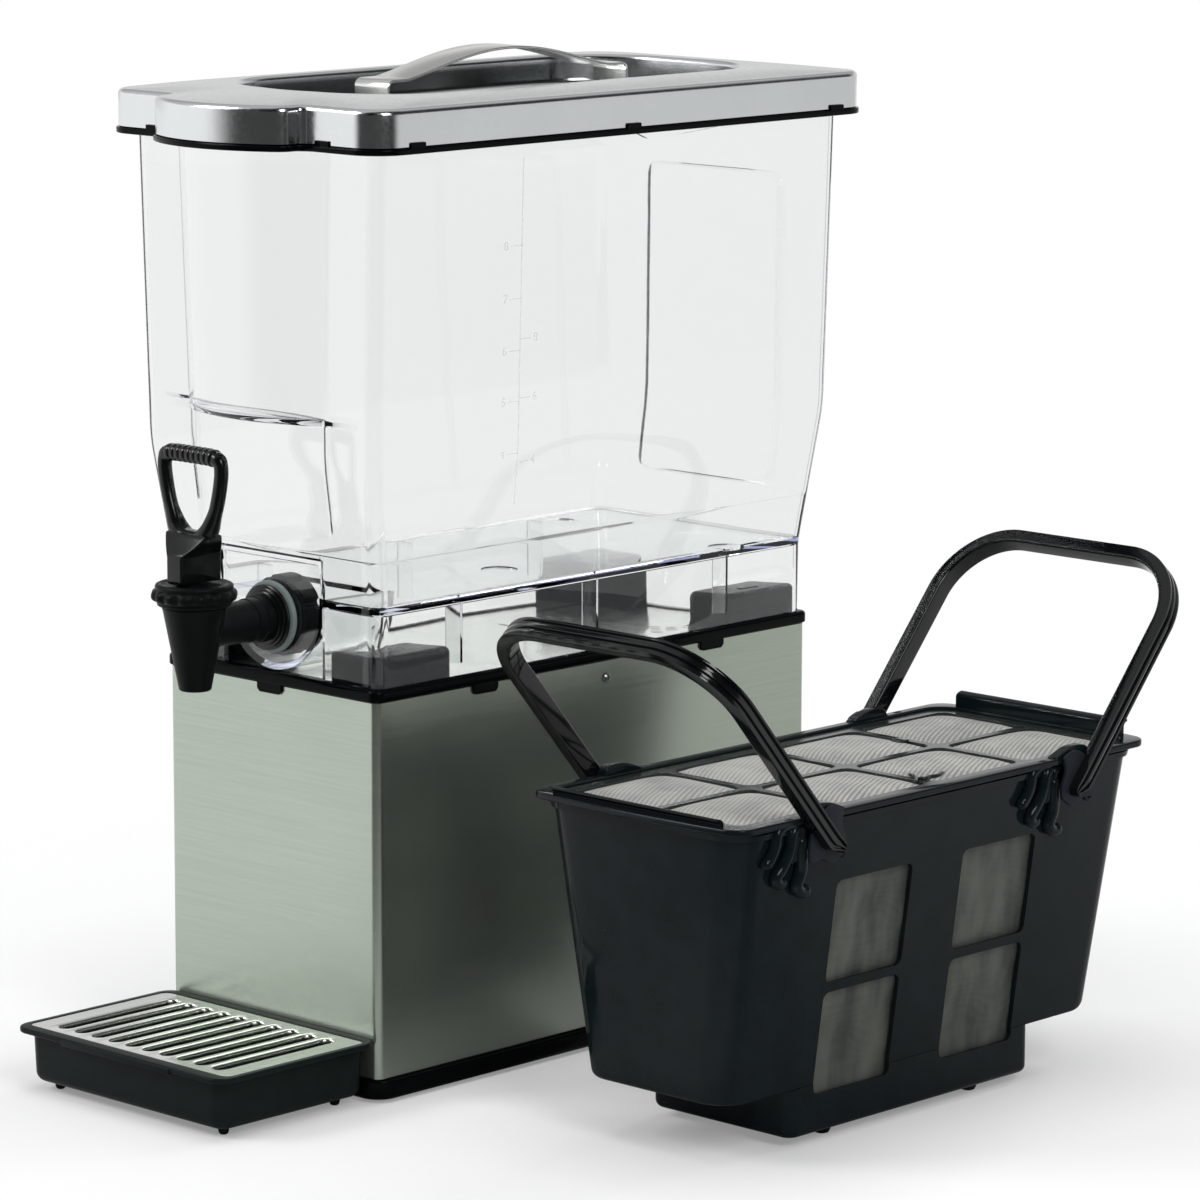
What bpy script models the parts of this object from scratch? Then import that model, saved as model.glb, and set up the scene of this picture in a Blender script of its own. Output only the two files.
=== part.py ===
# Cold brew coffee dispenser: a clear tub with a tap on a steel stand, its drip tray and
# lift-off lid, and the filter basket with two bails that stands beside it.
# Metres, +Z up. The origin is on the floor under the middle of the stand. The tap faces -Y.

import math

import bmesh
import bpy
from mathutils import Matrix, Vector

# Clearances and facets
GAP = 0.0003
OVERRUN = 0.004
OVERLAP = 0.0012
MERGE = 0.00001
SCREW_MERGE = 0.0001
CORNER_STEPS = 3
ROUND_STEPS = 28
SMALL_STEPS = 16
BORE_STEPS = 14
LID_FRONT_POINTS = 11

# Tub: the foot that the stand, the tray and the lid follow
TUB_FOOT_WIDTH = 0.155
TUB_FOOT_LENGTH = 0.3224

# Stand: steel wrap
STAND_SIDE_MARGIN = 0.0005
STAND_END_MARGIN = 0.0018
STAND_CORNER = 0.0045
STEEL_SHEET = 0.001
WRAP_HEIGHT = 0.1957

# Stand: bottom plate and its rubber feet
PLATE_MARGIN = 0.00325
PLATE_HEIGHT = 0.0105
PLATE_CORNER = 0.013
PLATE_EDGE = 0.003
PLATE_FLOOR = 0.003
UPSTAND_HEIGHT = 0.010
UPSTAND_WALL = 0.002
RUBBER_DIAMETER = 0.016
RUBBER_PROUD = 0.0015
RUBBER_POCKET = 0.0015
RUBBER_INSET = 0.024
RUBBER_CHAMFER = 0.0006

# Stand: black collar with the four blocks that locate the tub
COLLAR_PROUD = 0.0015
COLLAR_HEIGHT = 0.0062
COLLAR_EDGE = 0.001
COLLAR_SKIRT_DEPTH = 0.015
COLLAR_SKIRT_WALL = 0.0022
LEDGE_THICKNESS = 0.0037
LEDGE_WIDTH = 0.0045
TAB_WIDTH = 0.018
TAB_DROP = 0.005
TAB_THICKNESS = 0.001
TAB_CHAMFER = 0.0015
TAB_SPACING = 0.172
BLOCK_WIDTH = 0.036
BLOCK_LENGTH = 0.0525
BLOCK_RISE = 0.016
BLOCK_EDGE = 0.0055
BLOCK_WALL = 0.0025

# Stand: steel deck with its patch of vents
DECK_SINK = 0.0005
VENT_LENGTH = 0.008
VENT_WIDTH = 0.0022
VENT_PITCH_X = 0.0125
VENT_PITCH_Y = 0.0058
VENT_COLUMNS = 8
VENT_ROWS = 8
VENT_END_MARGIN = 0.0057

# Stand: side screws
SCREW_HEAD = 0.0053
SCREW_HEAD_HEIGHT = 0.0016
SCREW_SHANK = 0.0029
SCREW_LENGTH = 0.0085
SCREW_BORE = 0.0035
SCREW_DROP = 0.009
SCREW_FROM_MIDDLE = 0.0046
SCREW_RECESS = 0.0008
SCREW_RECESS_REACH = 0.0016
SCREW_RECESS_HALF_WIDTH = 0.0005
SCREW_CROWN_SHARES = ((0.28, 0.88), (0.44, 0.5))
BOSS_DIAMETER = 0.008
BOSS_LENGTH = 0.006

# Drip tray and its grate
TRAY_SIDE_PROUD = 0.001
TRAY_RIM_REACH = 0.1089
TRAY_RIM_HEIGHT = 0.0336
TRAY_RIM_THICKNESS = 0.003
TRAY_RIM_CORNER = 0.009
TRAY_RIM_EDGE = 0.0008
TRAY_OVERHANG = 0.005
TRAY_FRONT_OVERHANG = 0.0052
TRAY_WALL = 0.0025
TRAY_LIFT = 0.0045
TRAY_EDGE = 0.005
TRAY_FRONT_WALL = 0.0045
TRAY_DRAFT = 0.0006
TRAY_LIP = 0.0032
TRAY_FRONT_LIP = 0.007
TRAY_REAR_LIP = 0.0057
NUB_DIAMETER = 0.0056
NUB_INSET = 0.012
GRIP_WIDTH = 0.082
GRIP_PROUD = 0.0008
GRIP_HEIGHT = 0.0038
GRATE_THICKNESS = 0.0012
GRATE_SINK = 0.0003
GRATE_CORNER = 0.005
GRATE_SLOTS = 10
GRATE_SIDE_MARGIN = 0.0105
GRATE_BAR = 0.0046
GRATE_END_MARGIN = 0.0075

# Tub: walls, front and sump
BEND_SIDE_FLARE = 0.0079
BEND_END_FLARE = 0.0106
TOP_SIDE_FLARE = 0.0123
TOP_END_FLARE = 0.0121
TUB_WALL = 0.003
TUB_CORNER = 0.008
TUB_HEIGHT = 0.2732
TUB_FLOOR = 0.0372
TUB_BEND = 0.1127
BOW_SHELF = 0.1347
BOW_ROUND = 0.005
BOW_DEPTH = 0.0175
BOW_TOP_DEPTH = 0.020
BOW_HALF_WIDTH = 0.050
BOW_TOP_HALF_WIDTH = 0.055
PANEL_STEP = 0.0015
FRONT_PANEL_DEPTH = 0.0018
FRONT_PANEL_FOOT = 0.073
FRONT_PANEL_FADE = 0.015
REAR_PANEL_HALF_WIDTH = 0.049
REAR_PANEL_DEPTH = 0.0015
REAR_PANEL_FOOT = 0.0662
REAR_PANEL_TOP = 0.2362
PAD_HALF_WIDTH = 0.037
PAD_TOP = 0.0582
SUMP_RADIUS = 0.036
SUMP_SET_BACK = 0.0002
SUMP_LENGTH = 0.050

# Tap
SHANK_HEIGHT = 0.0282
SHANK_DIAMETER = 0.024
SHANK_BORE = 0.013
SHANK_INSIDE = 0.0185
CONE_REACH = 0.0538
CONE_DROP = 0.031
CONE_HEIGHT = 0.0405
CONE_TIP = 0.0166
CONE_TOP = 0.033
CONE_WALL_TIP = 0.0033
NECK_DIAMETER = 0.027
NECK_HEIGHT = 0.009
SEAT_CLEARANCE = 0.0006
CHAMBER_DIAMETER = 0.020
CHAMBER_DEPTH = 0.0205
FLANGE_DIAMETER = 0.034
FLANGE_THICKNESS = 0.005
FLANGE_STEP = 0.0028
WASHER_DIAMETER = 0.0375
WASHER_THICKNESS = 0.003
INNER_WASHER_THICKNESS = 0.0025
NUT_DIAMETER = 0.042
NUT_THICKNESS = 0.0105
NUT_NOTCHES = 8
NUT_NOTCH_WIDTH = 0.005
NUT_NOTCH_DEPTH = 0.0022
BONNET_DIAMETER = 0.045
BONNET_HEIGHT = 0.0144
BONNET_SCALLOPS = 16
BONNET_SCALLOP_DEPTH = 0.0012
BONNET_EDGE = 0.002
STEM_DIAMETER = 0.006
STEM_BORE = 0.0066
STEM_EYE_WIDTH = 0.0042
STEM_FLAT_DROP = 0.0048
SEAT_DIAMETER = 0.015
SEAT_HEIGHT = 0.010
SEAT_SOCKET = 0.0055
LEVER_WIDTH = 0.0105
LEVER_LENGTH = 0.029
LEVER_BLOCK_HEIGHT = 0.020
LEVER_HEIGHT = 0.0693
LEVER_PIVOT = 0.012
LEVER_SWING = math.radians(33)
LEVER_FRONT_ROUND = 0.005
LEVER_REAR_ROUND = 0.007
LEVER_SLOT = 0.005
RING_WIDTH = 0.042
RING_DEPTH = 0.012
RING_FOOT = 0.0268
RING_HOLE_TOP_HALF = 0.012
RING_HOLE_FOOT_HALF = 0.0045
RING_BAR = 0.0095
RING_EDGE = 0.003
RING_ROOT_SHARE = 0.2
RING_SIDE_SHARES = (0.78, 0.93)
PIN_DIAMETER = 0.003
PIN_BORE = 0.0036

# Lid
LID_SIDE_OVERHANG = 0.0109
LID_FRONT_OVERHANG = 0.0098
LID_REAR_OVERHANG = 0.0124
LID_CORNER = 0.018
LID_WALL_HEIGHT = 0.0194
LID_EDGE = 0.003
LID_SHEET = 0.001
LID_RISE = 0.0029
LID_BULGE_HALF_WIDTH = 0.048
LID_BULGE_RADIUS = 0.080
LID_BULGE_SET_BACK = 0.0515
LID_BULGE_CORNER = 0.010
LID_BULGE_FILLET = 0.004
WELL_SIDE_MARGIN = 0.0332
WELL_END_MARGIN = 0.0371
WELL_CORNER = 0.048
WELL_BOW = 0.006
WELL_DEPTH = 0.0165
WELL_EDGE = 0.0025
WELL_FLOOR_ROUND = 0.004
LINER_PROUD = 0.0012
LINER_DROP = 0.0018
LINER_THICKNESS = 0.003
LINER_RISE = 0.0022
LINER_LIP = 0.0028
LINER_LIP_WALL = 0.002
LINER_CLEARANCE = 0.0005
LINER_TAB_WIDTH = 0.010
LINER_TAB_HEIGHT = 0.0028
LINER_TAB_THICKNESS = 0.0008
LINER_TAB_MARGIN = 0.0145
STRAP_WIDTH = 0.025
STRAP_THICKNESS = 0.0015
STRAP_END_MARGIN = 0.058
STRAP_SHOULDER = 0.0125
STRAP_BEND = 0.003
STRAP_LEG_RISE = 0.0005
STRAP_ARCH = 0.0128
STRAP_ARCH_POWER = 1.2
STRAP_FOOT = 0.011

# Filter basket, standing beside the stand
BASKET_X = 0.2386
BASKET_Y = 0.0124
BASKET_WALL = 0.0022
BASKET_RIM_HALF_WIDTH = 0.071
BASKET_RIM_HALF_LENGTH = 0.158
BASKET_RIM_CORNER = 0.010
BASKET_RIM_THICKNESS = 0.0035
BASKET_RIM_BOW = 0.004
BASKET_RIM_BOTTOM = 0.1715
BASKET_TOP_HALF_WIDTH = 0.067
BASKET_TOP_HALF_LENGTH = 0.1535
BASKET_FOOT_HALF_WIDTH = 0.0475
BASKET_FOOT_HALF_LENGTH = 0.1455
BASKET_CORNER = 0.016
BASKET_SHELF = 0.0307
KEEL_HALF_LENGTH = 0.094
KEEL_BOTTOM = 0.0048
KEEL_CORNER = 0.008
KEEL_STEP = 0.0003
BASKET_EDGE = 0.004
LID_LEDGE_DROP = 0.005
LID_LEDGE_WIDTH = 0.0033
LID_LEDGE_THICKNESS = 0.0025
BASKET_NUB_DIAMETER = 0.009
BASKET_NUB_X = 0.036
BASKET_NUB_Y = 0.057
WINDOW_NEAR = 0.0195
WINDOW_FAR = 0.077
WINDOW_BOTTOM = 0.025
WINDOW_TOP = 0.1365
WINDOW_BAR = 0.005
WINDOW_CORNER = 0.004
MESH_SHEET = 0.0006
MESH_MARGIN = 0.003
LIP_HALF_WIDTH = 0.056
LIP_HEIGHT = 0.008
LIP_THICKNESS = 0.0022
LIP_CURL = 0.005
LATCH_LENGTH = 0.014
LATCH_DROP = 0.010
LATCH_THICKNESS = 0.003
FRAME_THICKNESS = 0.0032
FRAME_MARGIN = 0.008
FRAME_RIB = 0.0045
FRAME_CORNER = 0.006
FRAME_WINDOWS = 4
BAIL_PIVOT_Y = 0.097
BAIL_PIVOT_DROP = 0.010
BAIL_LEG = 0.1347
BAIL_CORNER = 0.038
BAIL_LEAN = math.radians(41)
BAIL_THICKNESS = 0.0074
BAIL_DEPTH = 0.0105
BAIL_GROOVE = 0.0014
BAIL_RIDGE = 0.0018
BAIL_CLEARANCE = 0.0005
BAIL_EYE = 0.015
CAM_EAR_OFFSET = 0.0028
CAM_EAR_RISE = 0.00675
CAM_EAR_RADIUS = 0.006
BAIL_PIN = 0.005
BAIL_PIN_BORE = 0.0056
BAIL_BOSS = 0.011

# Widths and lengths that follow from the sizes above
STAND_WIDTH = TUB_FOOT_WIDTH + 2 * STAND_SIDE_MARGIN
STAND_LENGTH = TUB_FOOT_LENGTH + 2 * STAND_END_MARGIN
TRAY_RIM_WIDTH = STAND_WIDTH + 2 * TRAY_SIDE_PROUD
TUB_BEND_WIDTH = TUB_FOOT_WIDTH + 2 * BEND_SIDE_FLARE
TUB_BEND_LENGTH = TUB_FOOT_LENGTH + 2 * BEND_END_FLARE
TUB_TOP_WIDTH = TUB_FOOT_WIDTH + 2 * TOP_SIDE_FLARE
TUB_TOP_LENGTH = TUB_FOOT_LENGTH + 2 * TOP_END_FLARE
LID_WIDTH = TUB_TOP_WIDTH + 2 * LID_SIDE_OVERHANG
LID_FRONT = TUB_TOP_LENGTH / 2 + LID_FRONT_OVERHANG
LID_REAR = TUB_TOP_LENGTH / 2 + LID_REAR_OVERHANG
LID_BULGE_CENTRE = LID_FRONT - LID_BULGE_SET_BACK
WELL_HALF_WIDTH = LID_WIDTH / 2 - WELL_SIDE_MARGIN
WELL_HALF_LENGTH = LID_FRONT - WELL_END_MARGIN
STRAP_HALF_LENGTH = WELL_HALF_LENGTH - STRAP_END_MARGIN
LINER_FRONT_TAB = LID_BULGE_HALF_WIDTH + LINER_TAB_MARGIN

# Heights and places that follow from the sizes above
PLATE_TOP = RUBBER_PROUD + PLATE_HEIGHT
WRAP_BOTTOM = PLATE_TOP + GAP
WRAP_TOP = WRAP_BOTTOM + WRAP_HEIGHT
COLLAR_BOTTOM = WRAP_TOP + GAP
COLLAR_TOP = COLLAR_BOTTOM + COLLAR_HEIGHT
TUB_BOTTOM = COLLAR_TOP + GAP
TUB_FLOOR_TOP = TUB_BOTTOM + TUB_FLOOR + TUB_WALL
TUB_TOP = TUB_BOTTOM + TUB_HEIGHT
TUB_FRONT = -TUB_FOOT_LENGTH / 2
SUMP_FRONT = TUB_FRONT + SUMP_SET_BACK
SUMP_AXIS = TUB_BOTTOM + SUMP_RADIUS + OVERLAP / 2
SHANK_Z = TUB_BOTTOM + SHANK_HEIGHT
CONE_Y = TUB_FRONT - CONE_REACH
CONE_BOTTOM = SHANK_Z - CONE_DROP
CONE_Z = CONE_BOTTOM + CONE_HEIGHT
BONNET_BOTTOM = CONE_Z + GAP
BONNET_TOP = BONNET_BOTTOM + BONNET_HEIGHT
LEVER_BOTTOM = BONNET_TOP + GAP
LEVER_PIVOT_Z = LEVER_BOTTOM + LEVER_PIVOT
LINER_BOTTOM = TUB_TOP - LINER_DROP
LINER_TOP = LINER_BOTTOM + LINER_THICKNESS
LID_BOTTOM = LINER_TOP + GAP
LID_SHOULDER = LID_BOTTOM + LID_WALL_HEIGHT
LID_TOP = LID_SHOULDER + LID_RISE
WELL_FLOOR = LID_TOP - WELL_DEPTH
BASKET_RIM_TOP = BASKET_RIM_BOTTOM + BASKET_RIM_THICKNESS
FRAME_BOTTOM = BASKET_RIM_TOP - LID_LEDGE_DROP + GAP
BAIL_PIVOT_Z = BASKET_RIM_BOTTOM - BAIL_PIVOT_DROP

# Ways a flat outline can face: its x, y and thickness run along these axes
FACING_UP = Matrix.Identity(4)
FACING_SIDE = Matrix(((0, 0, 1, 0), (1, 0, 0, 0), (0, 1, 0, 0), (0, 0, 0, 1)))
FACING_REAR = Matrix(((-1, 0, 0, 0), (0, 0, 1, 0), (0, 1, 0, 0), (0, 0, 0, 1)))
TURN_TO_REAR = Matrix.Rotation(-math.pi / 2, 4, "X")


def clear_scene():
    for old in list(bpy.data.objects):
        bpy.data.objects.remove(old, do_unlink=True)


def new_collection(name):
    made = bpy.data.collections.new(name)
    bpy.context.scene.collection.children.link(made)
    return made


clear_scene()
PARTS = new_collection("cold_brew_dispenser")
CUTTERS = new_collection("cutters")
CUTTERS.hide_render = True


def finish(name, colour, roughness, metallic=0.0, clear=0.0):
    made = bpy.data.materials.new(name)
    made.use_nodes = True
    shader = made.node_tree.nodes["Principled BSDF"]
    shader.inputs["Base Color"].default_value = (*colour, 1.0)
    shader.inputs["Roughness"].default_value = roughness
    shader.inputs["Metallic"].default_value = metallic
    shader.inputs["Transmission Weight"].default_value = clear
    made.diffuse_color = (*colour, 1.0)
    return made


BRUSHED_STEEL = finish("brushed_steel", (0.52, 0.52, 0.47), 0.32, metallic=1.0)
BRIGHT_STEEL = finish("bright_steel", (0.72, 0.73, 0.72), 0.18, metallic=1.0)
SATIN_BLACK = finish("satin_black", (0.020, 0.022, 0.024), 0.40)
GLOSS_BLACK = finish("gloss_black", (0.012, 0.014, 0.018), 0.15)
CHARCOAL = finish("charcoal", (0.028, 0.034, 0.037), 0.45)
RUBBER = finish("rubber", (0.018, 0.018, 0.018), 0.85)
SILICONE = finish("grey_silicone", (0.33, 0.34, 0.35), 0.50)
CLEAR = finish("clear_plastic", (0.90, 0.93, 0.92), 0.04, clear=1.0)
MESH_CLOTH = finish("filter_mesh", (0.52, 0.50, 0.46), 0.60)


def add_object(name, mesh_data, material=None):
    made = bpy.data.objects.new(name, mesh_data)
    PARTS.objects.link(made)
    if material:
        mesh_data.materials.append(material)
    return made


def add_bmesh(name, shape, material=None):
    bmesh.ops.remove_doubles(shape, verts=shape.verts, dist=MERGE)
    bmesh.ops.recalc_face_normals(shape, faces=shape.faces)
    mesh_data = bpy.data.meshes.new(name)
    shape.to_mesh(mesh_data)
    shape.free()
    mesh_data.shade_smooth()
    mesh_data.set_sharp_from_angle(angle=math.radians(35))
    return add_object(name, mesh_data, material)


def as_cutter(piece):
    PARTS.objects.unlink(piece)
    CUTTERS.objects.link(piece)
    piece.hide_render = True
    piece.display_type = "WIRE"
    return piece


def combine(piece, other, operation):
    step = piece.modifiers.new(other.name, "BOOLEAN")
    step.operation = operation
    step.solver = "EXACT"
    step.object = as_cutter(other)


def cut(piece, *tools):
    for tool in tools:
        combine(piece, tool, "DIFFERENCE")


def join(piece, *others):
    for other in others:
        combine(piece, other, "UNION")


def move_origin(piece, place):
    """Puts the piece's origin on its joint's axis and leaves its shape where it is."""
    piece.data.transform(Matrix.Translation(-Vector(place)))
    piece.location = place


def block(name, low, high, material=None):
    shape = bmesh.new()
    middle = (Vector(low) + Vector(high)) / 2
    size = Vector(high) - Vector(low)
    grown = Matrix.Translation(middle) @ Matrix.Diagonal((*size, 1.0))
    bmesh.ops.create_cube(shape, size=1.0, matrix=grown)
    return add_bmesh(name, shape, material)


def rod(name, start, end, diameter, steps=SMALL_STEPS, material=None):
    """A cylinder from one point to another."""
    start, end = Vector(start), Vector(end)
    turn = Vector((0, 0, 1)).rotation_difference(end - start).to_matrix().to_4x4()
    shape = bmesh.new()
    bmesh.ops.create_cone(
        shape, cap_ends=True, segments=steps, radius1=diameter / 2, radius2=diameter / 2,
        depth=(end - start).length, matrix=Matrix.Translation((start + end) / 2) @ turn)
    return add_bmesh(name, shape, material)


def arc(centre, radius, start, end, steps):
    """Points along an arc, angles in degrees."""
    angles = [math.radians(start + (end - start) * i / steps) for i in range(steps + 1)]
    return [(centre[0] + radius * math.cos(a), centre[1] + radius * math.sin(a)) for a in angles]


def rectangle(low_x, low_y, high_x, high_y, radius=0.0, steps=CORNER_STEPS):
    """A rectangle with rounded corners, anticlockwise from its low corner."""
    if radius <= 0:
        return [(low_x, low_y), (high_x, low_y), (high_x, high_y), (low_x, high_y)]
    return (arc((low_x + radius, low_y + radius), radius, 180, 270, steps)
            + arc((high_x - radius, low_y + radius), radius, 270, 360, steps)
            + arc((high_x - radius, high_y - radius), radius, 0, 90, steps)
            + arc((low_x + radius, high_y - radius), radius, 90, 180, steps))


def centred(half_x, half_y, radius=0.0, steps=CORNER_STEPS):
    return rectangle(-half_x, -half_y, half_x, half_y, radius, steps)


def at_height(outline, height):
    return [(x, y, height) for x, y in outline]


def edge_round(radius, steps=2):
    """(inset, rise) along a quarter round that starts flat below and ends upright."""
    angles = [math.pi / 2 * i / steps for i in range(steps + 1)]
    return [(radius * (1 - math.sin(a)), radius * (1 - math.cos(a))) for a in angles]


def loft(name, rings, material=None, tube=False):
    """A closed skin through rings of equally many points. It has two end caps, or closes on itself as a tube."""
    shape = bmesh.new()
    rows = [[shape.verts.new(point) for point in ring] for ring in rings]
    pairs = list(zip(rows, rows[1:]))
    if tube:
        pairs.append((rows[-1], rows[0]))
    for low, high in pairs:
        for i in range(len(low)):
            j = (i + 1) % len(low)
            shape.faces.new((low[i], low[j], high[j], high[i]))
    if not tube:
        shape.faces.new(list(reversed(rows[0])))
        shape.faces.new(rows[-1])
    return add_bmesh(name, shape, material)


def sheet(name, rings, thickness, material=None, floor=False):
    """An open surface through rings, given its thickness on the inside."""
    shape = bmesh.new()
    rows = [[shape.verts.new(point) for point in ring] for ring in rings]
    for low, high in zip(rows, rows[1:]):
        for i in range(len(low)):
            j = (i + 1) % len(low)
            shape.faces.new((low[i], low[j], high[j], high[i]))
    if floor:
        shape.faces.new(rows[-1])
    piece = add_bmesh(name, shape, material)
    wall = piece.modifiers.new("sheet", "SOLIDIFY")
    wall.thickness = thickness
    wall.offset = -1.0
    wall.use_even_offset = True
    return piece


def plate(name, outlines, low, high, material=None, facing=FACING_UP):
    """A flat outline with any holes inside it, thick from low to high along the way it faces."""
    curve = bpy.data.curves.new(name, "CURVE")
    curve.dimensions = "2D"
    curve.fill_mode = "BOTH"
    curve.extrude = (high - low) / 2
    for outline in outlines:
        spline = curve.splines.new("POLY")
        spline.points.add(len(outline) - 1)
        for spot, (x, y) in zip(spline.points, outline):
            spot.co = (x, y, 0.0, 1.0)
        spline.use_cyclic_u = True
    drawn = bpy.data.objects.new(name + "_outline", curve)
    PARTS.objects.link(drawn)
    bpy.context.view_layer.update()
    filled = drawn.evaluated_get(bpy.context.evaluated_depsgraph_get())
    mesh_data = bpy.data.meshes.new_from_object(filled)
    bpy.data.objects.remove(drawn, do_unlink=True)
    shape = bmesh.new()
    shape.from_mesh(mesh_data)
    bpy.data.meshes.remove(mesh_data)
    shape.transform(facing @ Matrix.Translation((0.0, 0.0, (low + high) / 2)))
    return add_bmesh(name, shape, material)


def turned(name, profile, place, turn=FACING_UP, material=None, steps=ROUND_STEPS, bored=False):
    """A profile of (radius, height) points, down the outer side first, spun about its axis."""
    mesh_data = bpy.data.meshes.new(name)
    edges = [(i, i + 1) for i in range(len(profile) - 1)]
    if bored:
        edges.append((len(profile) - 1, 0))
    mesh_data.from_pydata([(radius, 0.0, height) for radius, height in profile], edges, [])
    piece = add_object(name, mesh_data, material)
    piece.matrix_world = Matrix.Translation(place) @ turn
    spin = piece.modifiers.new("spin", "SCREW")
    spin.steps = steps
    spin.render_steps = steps
    spin.use_merge_vertices = True
    spin.merge_threshold = SCREW_MERGE
    return piece


def ring_profile(outer, bore, low, high):
    """A square-edged ring's profile from its two diameters."""
    return [(bore / 2, high), (outer / 2, high), (outer / 2, low), (bore / 2, low)]


# Stand

def build_foot_plate():
    half_x = STAND_WIDTH / 2 + PLATE_MARGIN
    half_y = STAND_LENGTH / 2 + PLATE_MARGIN
    rings = [at_height(centred(half_x - inset, half_y - inset, PLATE_CORNER - inset), RUBBER_PROUD + rise)
             for inset, rise in edge_round(PLATE_EDGE)]
    lead = PLATE_EDGE / 3
    rings.append(at_height(centred(half_x, half_y, PLATE_CORNER), PLATE_TOP - lead))
    rings.append(at_height(centred(half_x - lead, half_y - lead, PLATE_CORNER - lead), PLATE_TOP))
    inset = STEEL_SHEET + GAP
    up_x, up_y = STAND_WIDTH / 2 - inset, STAND_LENGTH / 2 - inset
    up_corner = STAND_CORNER - inset
    in_x, in_y = up_x - UPSTAND_WALL, up_y - UPSTAND_WALL
    in_corner = up_corner / 3
    rings.append(at_height(centred(up_x, up_y, up_corner), PLATE_TOP))
    rings.append(at_height(centred(up_x, up_y, up_corner), PLATE_TOP + UPSTAND_HEIGHT))
    rings.append(at_height(centred(in_x, in_y, in_corner), PLATE_TOP + UPSTAND_HEIGHT))
    rings.append(at_height(centred(in_x, in_y, in_corner), RUBBER_PROUD + PLATE_FLOOR))
    piece = loft("base_foot", rings, SATIN_BLACK)
    foot_top = RUBBER_PROUD + RUBBER_POCKET - GAP
    profile = [(0.0, foot_top), (RUBBER_DIAMETER / 2, foot_top), (RUBBER_DIAMETER / 2, RUBBER_CHAMFER),
               (RUBBER_DIAMETER / 2 - RUBBER_CHAMFER, 0.0), (0.0, 0.0)]
    for front in (-1, 1):
        for side in (-1, 1):
            x = side * (half_x - RUBBER_INSET)
            y = front * (half_y - RUBBER_INSET)
            label = ("front" if front < 0 else "rear") + ("_left" if side < 0 else "_right")
            cut(piece, rod("pocket_" + label, (x, y, RUBBER_PROUD - OVERRUN),
                           (x, y, RUBBER_PROUD + RUBBER_POCKET), RUBBER_DIAMETER + 2 * GAP))
            turned("rubber_foot_" + label, profile, (x, y, 0.0), material=RUBBER, steps=SMALL_STEPS)


def screw_places():
    """(side, y, z) of the two side screws."""
    return [(side, SCREW_FROM_MIDDLE, WRAP_TOP - SCREW_DROP) for side in (-1, 1)]


def build_wrap():
    outline = centred(STAND_WIDTH / 2, STAND_LENGTH / 2, STAND_CORNER)
    piece = sheet("base_shell", [at_height(outline, WRAP_BOTTOM), at_height(outline, WRAP_TOP)],
                  STEEL_SHEET, BRUSHED_STEEL)
    for side, y, z in screw_places():
        face = side * STAND_WIDTH / 2
        cut(piece, rod("wrap_screw_hole", (face + side * OVERRUN, y, z), (face - side * OVERRUN, y, z),
                       SCREW_BORE))


def block_reach():
    """Half width and half length over the blocks' outer faces, which sit inside the tub's foot."""
    return TUB_FOOT_WIDTH / 2 - TUB_WALL - GAP, TUB_FOOT_LENGTH / 2 - TUB_WALL - GAP


def block_corners():
    """(low x, low y, high x, high y) of the four locating blocks."""
    out_x, out_y = block_reach()
    found = []
    for side in (-1, 1):
        for front in (-1, 1):
            xs = sorted((side * out_x, side * (out_x - BLOCK_WIDTH)))
            ys = sorted((front * out_y, front * (out_y - BLOCK_LENGTH)))
            found.append((xs[0], ys[0], xs[1], ys[1]))
    return found


def deck_recess():
    """Half width and half length of the collar's recess for the deck, a little inside the blocks' outer faces."""
    return (TUB_FOOT_WIDTH / 2 - TUB_WALL - STEEL_SHEET, TUB_FOOT_LENGTH / 2 - TUB_WALL - STEEL_SHEET)


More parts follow.
